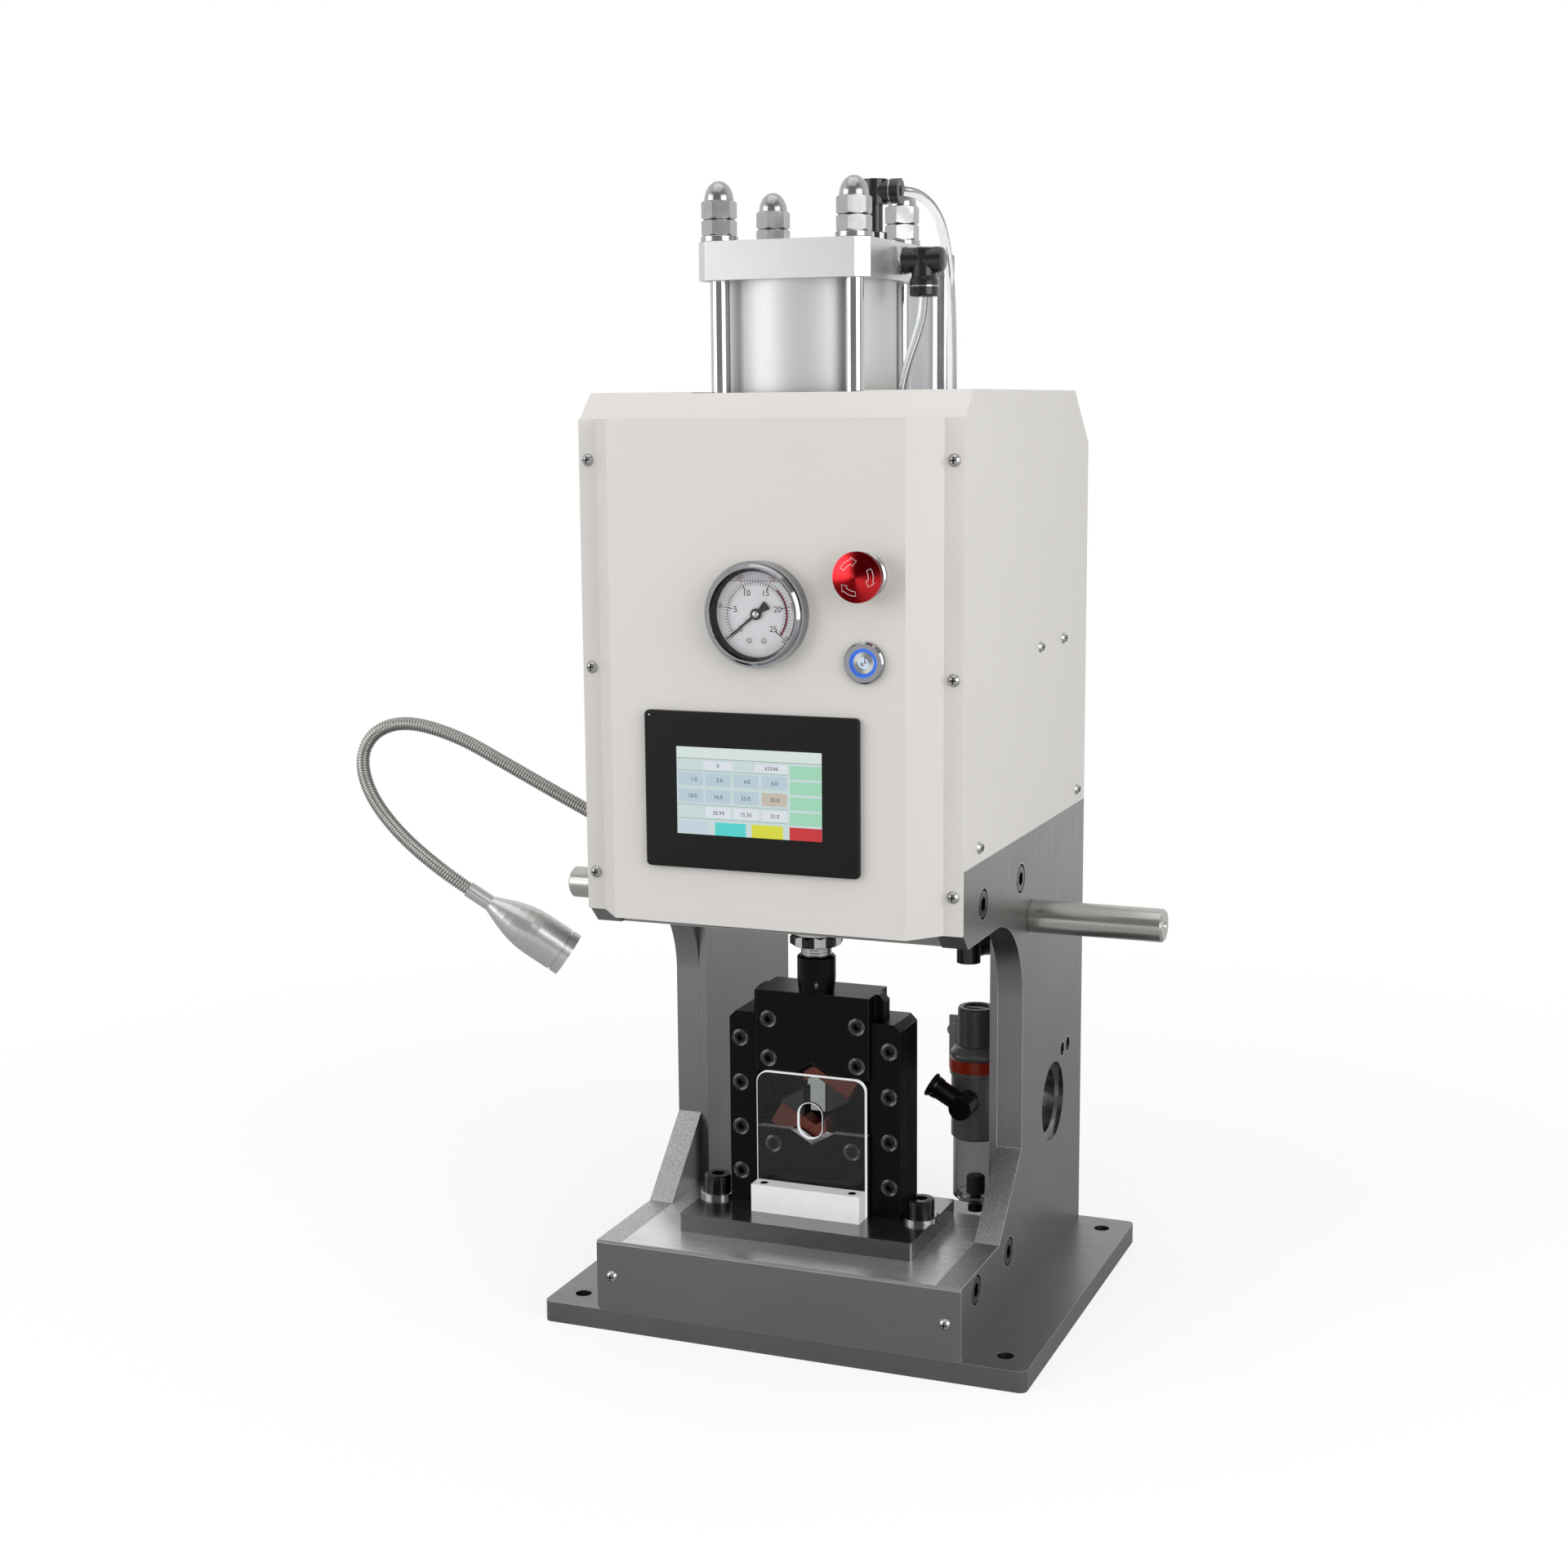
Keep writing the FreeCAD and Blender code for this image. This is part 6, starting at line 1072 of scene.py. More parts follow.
@dataclass
class Assembly:
    """A group of CAD nodes, by their names, and of added pieces that are dressed together."""

    nodes: dict[str, bpy.types.Object]

    def coat(self, finish: Surface, names: Sequence[str], edge_mm: float = 0.0,
             edge_wear_and_highlight: Finish | None = None) -> None:
        """Give CAD nodes their finish, and round their edges a little.

        Args:
            finish: the finish.
            names: the CAD nodes.
            edge_mm: the width of the rounded edge, or 0 to leave it.
            edge_wear_and_highlight: the finish of the rounded edge, where it differs: the black skin's real
                wear on the die set, a painted highlight line on the steel frame.
        """
        for name in names:
            node = self.nodes[name]
            node.data.materials.clear()
            node.data.materials.append(finish.material())
            if edge_wear_and_highlight:
                node.data.materials.append(edge_wear_and_highlight.material())
            if edge_mm:
                self.soften(node, edge_mm)
                node.modifiers["edges"].material = 1 if edge_wear_and_highlight else -1
            log.info("node %s: %s", name, finish.name)

    @staticmethod
    def soften(node: bpy.types.Object, edge_mm: float) -> None:
        """Round a CAD node's sharp edges with modifiers, so that they catch the light.

        Args:
            node: the CAD node.
            edge_mm: the width of the rounded edge.
        """
        weld = node.modifiers.new("joined", "WELD")
        weld.merge_threshold = 0.002 * MM
        flat = node.modifiers.new("flats", "DECIMATE")
        flat.decimate_type = "DISSOLVE"
        flat.angle_limit = math.radians(0.5)
        edge = node.modifiers.new("edges", "BEVEL")
        edge.width = edge_mm * MM
        edge.segments = 2
        edge.limit_method = "ANGLE"
        edge.angle_limit = math.radians(35)
        edge.use_clamp_overlap = True
        even = node.modifiers.new("shading", "WEIGHTED_NORMAL")
        even.keep_sharp = False
        even.weight = 100


class SteelFrame(Assembly):
    """The base plate, the two arched side plates, the bed, the head and the two round bars."""

    def build(self) -> None:
        """Dress the frame."""
        # The frame's rounded edges get a lighter steel: a painted highlight line.
        self.coat(BASE_STEEL, ["base_plate", "head_block"], 0.6, EDGE_HIGHLIGHT)
        self.coat(BED_STEEL, ["bed_block"], 0.5, EDGE_HIGHLIGHT)
        self.coat(COVER_STEEL, ["foot_front_cover"], 0.25, EDGE_HIGHLIGHT)
        self.coat(PLATE_STEEL, ["left_side_plate", "right_side_plate"], 0.5, EDGE_HIGHLIGHT)
        self.coat(PLATE_STEEL, ["left_inner_post", "right_inner_post"], 0.4, EDGE_HIGHLIGHT)
        self.coat(BAR_STEEL, ["support_bars"])
        self.coat(BLACK_SCREW, ["socket_screws"])
        self.port()
        self.washers()

    def port(self) -> None:
        """Line the right plate's stepped port with its bright bore, and ring the plate's other holes with a
        painted highlight.
        """
        bore = Shape()
        for outer, start, end in ((27.98, 120.0, 125.05), (22.98, 102.3, 120.0)):
            bore.lathe(band(outer - 0.35, outer, end - start), (start, 65.5, 122.9), RIGHT, 96)
        bore.lathe(band(22.7, 27.9, 0.15), (120.0, 65.5, 122.9), RIGHT, 96)
        bore.done("port_bore", "frame", BRIGHT_BORE, "machined_steel")
        rims, plate_x = Shape(), 124.95
        for y, z in ((-102.5, 296.8), (-19.3, 296.8), (-112.8, 50.6), (-40.7, 50.6)):
            rims.lathe([(9.75, 0), (10.25, 0), (10.25, 0.1), (10.0, 0.16), (9.75, 0.1)],
                       (plate_x, y, z), RIGHT, 40)
        for y in (104.3, 89.5):
            rims.lathe([(4.9, 0), (5.7, 0), (5.7, 0.1), (5.3, 0.16), (4.9, 0.1)],
                       (plate_x, y, 154.0), RIGHT, 32)
        rims.done("side_plate_hole_rims", "frame", RIM_HIGHLIGHT, "machined_steel")

    @staticmethod
    def washers() -> None:
        """Lay bright faces on the two washers under the die's bolts."""
        faces = Shape()
        for side in (-1, 1):
            faces.lathe([(9.05, 0), (12.1, 0), (12.1, 2.6), (11.8, 2.75), (9.05, 2.75)],
                        (72.2 * side, RAM_Y, 74.4), UP, 48)
        faces.done("die_bolt_washers", "frame", ZINC, "black_screws")


class Casework(Assembly):
    """The sheet metal case over the head, its front panel and its screws."""

    def build(self) -> None:
        """Dress the case."""
        self.coat(POWDER_COAT, ["cover_shell", "front_panel"], 0.5)
        self.coat(SCREW_STEEL, ["panel_screws"])
        self.crosses()

    @staticmethod
    def crosses() -> None:
        """Mark the cross recesses of the pan-head screws with nearly black blocks, a painted shade."""
        long, wide, rise, depth = 2.1, 0.5, 2.68, 0.5
        marks = Shape()
        front = [(side * 114.5, -145.0, 38.4) for side in (-1, 1)]
        front += [(side * 119.0, -145.5, z) for side in (-1, 1) for z in (309.0, 440.0, 569.0)]
        for x, y, z in front:
            for across, up in ((long, wide), (wide, long)):
                marks.block((x, y - rise + depth / 2, z), (2 * across, depth, 2 * up))
        for side in (-1, 1):
            for y, z in ((-111.8, 333.9), (119.7, 334.3), (22.5, 443.9), (79.9, 444.4)):
                for across, up in ((long, wide), (wide, long)):
                    marks.block((side * (125 + rise - depth / 2), y, z), (depth, 2 * across, 2 * up))
        marks.done("screw_crosses", "frame", CROSS_SHADE, "bright_screws")


@dataclass
class Gauge(Assembly):
    """A fluid-filled pressure gauge with two plain scales and a dark red arc."""

    x: float = 3.6
    z: float = 478.5
    dial_y: float = -170.0
    glass_y: float = -176.6
    dial_radius: float = 26.9
    fluid_level: float = 20.4
    scale_radius: float = 18.9
    zero_deg: float = 221.5
    sweep_deg: float = 261.0
    needle_deg: float = 218.7
    divisions: int = 50
    ink: float = 0.06
    numbers: tuple[str, ...] = ("0", "5", "10", "15", "20", "25")
    outer_numbers: tuple[str, ...] = ("", "50", "100", "150", "200", "250")

    def build(self) -> None:
        """Dress the gauge and print its dial."""
        self.coat(POLISHED_CHROME, ["gauge_case"])
        self.needle()
        self.face()
        self.marks()
        self.figures()
        self.hub()

    def face(self) -> None:
        """Add the dial, its dry upper part, the fluid line, the seal, the glass and two screws."""
        middle, radius, level = (self.x, self.z), self.dial_radius, self.fluid_level
        y = self.dial_y - 0.1
        Shape().slab(circle(middle, radius, 96), y, self.dial_y).done(
            "gauge_dial", "frame", DIAL_WHITE, "gauge_chrome")
        half = math.degrees(math.acos(level / radius))
        top = [polar(middle, radius, math.radians(90 - half + 2 * half * k / 24)) for k in range(25)]
        Shape().slab(top[::-1], y - 0.03, y).done("gauge_dry_part", "frame", DIAL_DRY, "gauge_chrome")
        reach = math.sqrt(radius ** 2 - level ** 2) - 0.2
        line = oblong(self.x - reach, self.z + level - 0.9, self.x + reach, self.z + level - 0.3)
        Shape().slab(line, y - 0.04, y).done("gauge_fluid_line", "frame", DIAL_LINE, "gauge_chrome")
        Shape().lathe([(26.98, 0), (26.98, 5.4), (26.2, 5.4), (25.9, 4.6), (25.9, 0)],
                      (self.x, y, self.z), FRONT, 96).done("gauge_seal", "frame", RUBBER, "gauge_chrome")
        Shape().slab(circle(middle, 26.95, 96), self.glass_y - 0.9, self.glass_y).done(
            "gauge_glass_disc", "frame", GAUGE_GLASS, "screen_glass")
        screws = Shape()
        for side in (-1, 1):
            screws.lathe([(0, 0), (1.75, 0), (1.75, 0.35), (1.35, 0.62), (0, 0.62)],
                         (self.x + 4.7 * side, y, self.z - 15.7), FRONT, 24)
        screws.done("gauge_dial_screws", "frame", SCREW_STEEL, "bright_screws")

    def marks(self) -> None:
        """Print the two scales with geometry nodes, and the arcs."""
        y, radius, end = self.dial_y - 0.16, self.scale_radius, self.zero_deg - self.sweep_deg
        step = -self.sweep_deg / self.divisions
        for name, start, length, width, every, ink in (
                ("gauge_inner_marks", -1.7, 1.7, 0.28, 1, INK_BLACK),
                ("gauge_inner_long_marks", -3.0, 3.0, 0.6, 10, INK_BLACK),
                ("gauge_outer_marks", 0.5, 1.9, 0.28, 1, INK_RED),
                ("gauge_outer_long_marks", 0.5, 2.9, 0.42, 10, INK_RED)):
            mesh = tick_ring(name + "_ring", (self.x, y, self.z), radius + start, length, width,
                             self.divisions // every + 1, self.zero_deg, step * every, ink)
            as_piece(name, mesh, "frame", ink)
        Shape().arc_band((self.x, self.z), (radius, radius + 0.25), (self.zero_deg, end), y - self.ink, y,
                         72).done("gauge_scale_line", "frame", INK_BLACK, "gauge_chrome")
        Shape().arc_band((self.x, self.z), (radius, radius + 1.25),
                         (self.zero_deg - self.sweep_deg * 0.665, end), y - self.ink * 1.5, y).done(
            "gauge_red_arc", "frame", INK_RED, "gauge_chrome")

    def figures(self) -> None:
        """Print the plain numbers of both scales."""
        y, middle = self.dial_y - 0.2, (self.x, self.z)
        black, red = Shape(), Shape()
        for index, (inner, outer) in enumerate(zip(self.numbers, self.outer_numbers)):
            degrees = self.zero_deg - self.sweep_deg * index / 5
            angle = math.radians(degrees)
            black.writing(inner, polar(middle, self.scale_radius - 5.0, angle), 3.8, y)
            if outer:
                turn = degrees - 90 if degrees > 0 else degrees + 90
                red.writing(outer, polar(middle, self.scale_radius + 5.0, angle), 2.5, y, turn)
        black.done("gauge_inner_numbers", "frame", INK_BLACK, "gauge_chrome")
        red.done("gauge_outer_numbers", "frame", INK_RED, "gauge_chrome")

    def needle(self) -> None:
        """Make the needle with its fan tail, in place of the plain one."""
        turn = math.radians(self.needle_deg)
        along, across = (math.cos(turn), math.sin(turn)), (-math.sin(turn), math.cos(turn))
        side = [(-9.2, 2.7), (-8.6, 2.9), (-4.0, 1.5), (-2.5, 0.9), (24.6, 0.25)]
        outline = [(self.x + far * along[0] + half * across[0], self.z + far * along[1] + half * across[1])
                   for far, half in side + [(far, -half) for far, half in reversed(side)]]
        pointer = Shape().slab(outline, -171.7, -170.9).lathe(
            band(1.06, 3.4, 0.82), (self.x, -170.9, self.z), FRONT, 40)
        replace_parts(pointer.done("needle_pointer", "needle", NEEDLE_PAINT, "needle_black"), "gauge_needle")

    def hub(self) -> None:
        """Add the needle's domed hub."""
        Shape().lathe([(0, 0), (2.3, 0), (2.3, 0.5), (1.9, 1.1), (1.1, 1.5), (0, 1.65)],
                      (self.x, -171.7, self.z), FRONT, 40).done(
            "needle_hub", "needle", SATIN_SILVER, "needle_black")


@dataclass
class StopButton(Assembly):
    """A red mushroom button on a silver collar, with three bare turning arrows."""

    x: float = 71.4
    z: float = 502.5
    face_y: float = -185.0
    radius: float = 15.0
    dome: float = 3.0

    def build(self) -> None:
        """Dress the button and draw its arrows."""
        # The red's two tones form a painted sheen in fans round the middle.
        red = Radial("turned_red_anodised_aluminium", "C82A30", "6E0A10", (self.x, self.face_y, self.z),
                     fans=2.0, turn_deg=70.0, roughness=0.24)
        self.coat(red, ["stop_head"])
        self.coat(SATIN_SILVER, ["stop_collar", "stop_stem"])
        arrows = Shape()
        for start in (150.0, 30.0, -90.0):
            arrows.tube(self.arrow(start), 0.17, 6)
        arrows.done("stop_arrows", "stop_head", INK_WHITE, "stop_red")

    def on_dome(self, radius: float, degrees: float) -> Vector:
        """Return a point on the button's dome.

        Args:
            radius: the distance from the middle.
            degrees: the angle from +X towards +Z.

        Returns:
            The point.
        """
        x, z = polar((self.x, self.z), radius, math.radians(degrees))
        return Vector((x, self.face_y + self.dome * (radius / self.radius) ** 2, z))

    def arrow(self, start: float) -> list[Vector]:
        """Return the outline of one arrow that turns clockwise.

        Args:
            start: the angle of its tail.

        Returns:
            The outline's points.
        """
        shaft, head, steps = 44.0, 20.0, 8
        outer = [self.on_dome(10.9, start - shaft * k / steps) for k in range(steps + 1)]
        inner = [self.on_dome(8.1, start - shaft * (steps - k) / steps) for k in range(steps + 1)]
        tip = [self.on_dome(12.1, start - shaft), self.on_dome(9.5, start - shaft - head),
               self.on_dome(6.8, start - shaft)]
        return outer + tip + inner


@dataclass
class PowerButton(Assembly):
    """A lit power button: chrome flange, blue ring, turned centre and a plain power sign."""

    x: float = 71.0
    z: float = 451.2
    cap_y: float = -169.2

    def build(self) -> None:
        """Dress the button and add its ring, centre and sign, and the painted blue light on the bezel."""
        middle = (self.x, self.z)
        self.coat(POLISHED_CHROME, ["power_button_body"])
        self.coat(Lit("blue_light_ring", "3F74E8", 0.95), ["power_button_cap"])
        # The centre's two tones form a painted sheen in fans round the middle.
        turned = Radial("turned_button_centre", "DADBDC", "8A8C90", (self.x, self.cap_y, self.z), fans=2.0,
                        turn_deg=90.0, roughness=0.25)
        Shape().lathe([(0, 0), (6.5, 0), (6.5, 0.25), (6.2, 0.45), (0, 0.5)],
                      (self.x, self.cap_y, self.z), FRONT).done(
            "power_centre", "power_cap", turned, "button_cap")
        front, back = self.cap_y - 0.62, self.cap_y - 0.4
        bar = oblong(self.x - 0.5, self.z + 0.4, self.x + 0.5, self.z + 3.6)
        Shape().arc_band(middle, (2.1, 3.1), (120.0, 420.0), front, back, 40).slab(bar, front, back).done(
            "power_sign", "power_cap", Lit("blue_white_sign", "C9E4FF", 1.0), "button_cap")
        # A thin blue band on the bezel round the cap: painted light from the lit ring falling on the chrome.
        Shape().arc_band(middle, (8.3, 8.9), (0.0, 360.0), -170.06, -169.9, 64).done(
            "power_glow_rim", "frame", Lit("bezel_painted_blue_light", "6E97F0", 0.8), "gauge_chrome")


@dataclass
class Terminal(Assembly):
    """A touch terminal: matt bezel and a lit display of plain fields and numbers."""

    left: float = -50.4
    bottom: float = 342.55
    width: float = 95.0
    height: float = 53.9
    glass_y: float = -170.1

    def build(self) -> None:
        """Dress the terminal and draw its display."""
        self.coat(MATT_ABS, ["terminal_case"], 0.5)
        self.coat(Lit("display_ground", "CFE0E0", 0.9), ["terminal_screen"])
        self.fields()
        self.values()
        Shape().lathe([(0, 0), (0.45, 0), (0.45, 0.1), (0, 0.14)], (-68.2, -170.5, 415.2), FRONT, 16).done(
            "terminal_light", "frame", Lit("white_pilot_light", "F4F6F8", 1.0), "screen_glass")

    def spot(self, across: float, down: float) -> Flat:
        """Return the place of a point of the display, given as shares of its width and height."""
        return self.left + across * self.width, self.bottom + (1 - down) * self.height

    def field_box(self, shape: Shape, box: tuple[float, float, float, float], lift: float) -> None:
        """Add one coloured field.

        Args:
            shape: the mesh it goes into.
            box: its left, top, right and bottom, as shares of the display.
            lift: how far it stands on the display.
        """
        a, b, c, d = box
        shape.slab([self.spot(a, d), self.spot(c, d), self.spot(c, b), self.spot(a, b)],
                   self.glass_y - lift, self.glass_y)

    def fields(self) -> None:
        """Draw the coloured fields of the display."""
        cells = [(0.01, 0.29, 0.185, 0.44), (0.2, 0.29, 0.375, 0.44), (0.395, 0.29, 0.57, 0.44),
                 (0.59, 0.29, 0.765, 0.44), (0.01, 0.48, 0.185, 0.63), (0.2, 0.48, 0.375, 0.63),
                 (0.395, 0.48, 0.57, 0.63)]
        groups: list[tuple[str, str, list[tuple[float, float, float, float]]]] = [
            ("header", "DDEAE4", [(0.0, 0.0, 1.0, 0.125)]),
            ("rules", "8FA09F", [(0.0, 0.125, 1.0, 0.132), (0.0, 0.265, 0.77, 0.27), (0.0, 0.655, 0.77, 0.66),
                                 (0.0, 0.815, 0.77, 0.82)]),
            ("cells", "BFD3DE", cells),
            ("cell_edges", "6C7C88", [(c - 0.006, b, c, d) for _, b, c, d in cells]),
            ("boxes", "E3E8F0", [(0.185, 0.155, 0.39, 0.25), (0.545, 0.155, 0.765, 0.25),
                                 (0.2, 0.68, 0.375, 0.8), (0.395, 0.68, 0.57, 0.8),
                                 (0.59, 0.68, 0.765, 0.8)]),
            ("chosen", "C9C2B4", [(0.59, 0.48, 0.765, 0.63)]),
            ("green", "A6DDBE", [(0.785, 0.16, 1.0, 0.31), (0.785, 0.335, 1.0, 0.485),
                                 (0.785, 0.51, 1.0, 0.66), (0.785, 0.685, 1.0, 0.83)]),
            ("pale_key", "CBD9E4", [(0.015, 0.85, 0.22, 0.985)]),
            ("cyan_key", "5BD8D4", [(0.265, 0.85, 0.48, 1.0)]),
            ("yellow_key", "DEDF45", [(0.52, 0.85, 0.735, 1.0)]),
            ("red_key", "CF3A3E", [(0.78, 0.855, 1.0, 1.0)])]
        for index, (name, colour, boxes) in enumerate(groups):
            shape = Shape()
            for box in boxes:
                self.field_box(shape, box, 0.04 + 0.01 * (index % 3))
            shape.done("display_" + name, "frame", Lit("display_" + name, colour, 0.9), "screen_glass")

    def values(self) -> None:
        """Write the plain numbers of the display."""
        rows = [("0", 0.29, 0.205), ("65546", 0.66, 0.205), ("1.0", 0.12, 0.37), ("2.0", 0.3, 0.37),
                ("4.0", 0.49, 0.37), ("6.0", 0.68, 0.37), ("10.0", 0.11, 0.56), ("16.0", 0.29, 0.56),
                ("25.0", 0.48, 0.56), ("35.0", 0.68, 0.56), ("30.94", 0.29, 0.745), ("15.50", 0.48, 0.745),
                ("35.0", 0.68, 0.745)]
        text = Shape()
        for value, across, down in rows:
            text.writing(value, self.spot(across, down), 2.6, self.glass_y - 0.12, depth=0.05)
        text.done("display_numbers", "frame", Lit("display_ink", "4C5A60", 0.5), "screen_glass")


@dataclass
class Cylinder(Assembly):
    """The hydraulic cylinder: end plates, barrel, rods with nuts, ram, elbows and two clear hoses."""

    hose: float = 6.0
    side_route: tuple[Point, ...] = (
        (73.5, RAM_Y, 672.75), (73.5, RAM_Y, 657.75), (68, RAM_Y, 640.75), (62.7, RAM_Y, 624.75),
        (59.7, RAM_Y, 610.75), (59, RAM_Y, 592.75), (58.9, RAM_Y, 574.75))
    top_route: tuple[Point, ...] = (
        (51, -61, 731), (62.5, -61, 731), (72.5, -58.4, 725.8), (78.5, -53.7, 716.4),
        (81.2, -46.7, 702.2), (82, -39, 677.4), (82, -34.5, 634), (82, -34.5, 591))

    def build(self) -> None:
        """Dress the cylinder and hang its hoses."""
        self.coat(PLATE_ALUMINIUM, ["cylinder_base_cap", "cylinder_top_plate"], 0.5)
        self.coat(DRAWN_ALUMINIUM, ["cylinder_barrel"])
        self.coat(HARD_CHROME, ["tie_rods", "ram_rod"])
        Shape().nut((0, RAM_Y, 253.3), UP, 30.3, 7.8, 10.2).done(
            "ram_lock_nut", "ram", RAW_NUT, "rod_chrome")
        self.nuts()
        self.coat(NYLON, ["top_elbow"])
        self.side_fitting()
        self.coat(GREY_ENAMEL, ["oil_tank"], 0.8)
        self.coat(ZINC, ["breather_plug"])
        self.hose_piece("side_hose_line", "side_hose", self.side_route, (73.5, RAM_Y, 666.75), 99.9)
        self.hose_piece("top_hose_line", "top_hose", self.top_route, (57, -61, 731), 163.1)
        self.thread()
        collars = Shape()
        collars.lathe(band(8.6, 9.25, 0.9), (73.5, RAM_Y, 673.4), DOWN, 56)
        collars.lathe(band(6.9, 7.55, 0.9), (50.6, -61, 731), RIGHT, 56)
        collars.done("fitting_rings", "frame", ZINC, "fitting_black")

    @staticmethod
    def nuts() -> None:
        """Stack a washer, a nut and an acorn nut on each tie rod, with geometry nodes."""
        stack = Shape()
        stack.lathe([(6.1, 0), (11.2, 0), (11.5, 0.3), (11.5, 3.1), (11.2, 3.4), (6.1, 3.4)], (0, 0, 0),
                    UP, 56)
        stack.nut((0, 0, 3.4), UP, 19.0, 9.9, 6.1)
        stack.nut((0, 0, 13.4), UP, 19.0, 11.2)
        seat, radius, rise = 24.6, 9.1, 11.9
        dome = [(radius * math.cos(a), seat + rise * math.sin(a))
                for a in (math.radians(6 * k) for k in range(15))]
        stack.lathe([(0, 24.5), (radius, 24.5), *dome, (0, seat + rise)], (0, 0, 0), UP, 56)
        places = [(x, y, 700.5) for x in (-44, 44) for y in (-109, -21)]
        mesh = repeated("nut_stacks", stack.closed_mesh("nut_stack"), places, ZINC)
        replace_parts(as_piece("tie_rod_nut_stacks", mesh, "frame", ZINC), "tie_rod_nuts")

    @staticmethod
    def side_fitting() -> None:
        """Make the side elbow as a black swivel body on a bright hexagon."""
        elbow = Shape()
        elbow.lathe([(0, 0), (5.4, 0), (7.0, 0.7), (7.7, 2.4), (7.7, 17.0), (8.0, 18.2), (9.0, 19.8),
                     (9.0, 28.6), (8.2, 29.6), (5.4, 29.6), (5.0, 28.6), (3.2, 28.6), (3.2, 24), (0, 24)],
                    (73.5, RAM_Y, 696.35), DOWN, 56)
        elbow.lathe([(0, 0), (8.2, 0), (8.2, 1.6), (7.8, 2.4), (7.6, 12.0), (7.9, 22.0), (7.2, 24.6),
                     (5.6, 25.6), (0, 25.8)], (60.9, RAM_Y, 688.75), RIGHT, 56)
        piece = elbow.done("side_elbow_body", "frame", NYLON, "fitting_black")
        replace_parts(piece, "side_elbow")
        hexagon = Shape()
        hexagon.nut((56, RAM_Y, 688.75), RIGHT, 17.0, 4.95, 0.0, False)
        hexagon.nut((40, -61, 700.5), UP, 14.2, 6.1, 0.0, False)
        hexagon.done("fitting_hexagons", "frame", ZINC, "bright_screws")

    def hose_piece(self, name: str, node: str, route: Sequence[Point], leaves: Point, length: float) -> None:
        """Make one hose as a free cord that goes back into the machine.

        Args:
            name: the piece's name.
            node: the CAD node that it stands for.
            route: its points.
            leaves: where it leaves its fitting; not used.
            length: its real length; not used.
        """
        curve = spline(name, route)
        curve.bevel_depth = self.hose / 2 * MM
        curve.bevel_resolution = 6
        curve.use_fill_caps = True
        curve.materials.append(HOSE_PLASTIC.material())
        piece = put(name, curve)
        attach(piece, "frame")
        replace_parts(piece, node)
        log.info("cord %s", name)

    def thread(self) -> None:
        """Cut the ram's thread between the lock nut and the coupling."""
        path = chain("thread_path", [(0, RAM_Y, 247.4), (0, RAM_Y, 250.2), (0, RAM_Y, 252.9)])
        mesh = ring_run("ram_thread", path, 1.5, 9.75, 0.55, 9.95, SCREW_STEEL)
        mesh.polygons.foreach_set("use_smooth", [True] * len(mesh.polygons))
        as_piece("ram_thread_rings", mesh, "ram", SCREW_STEEL)


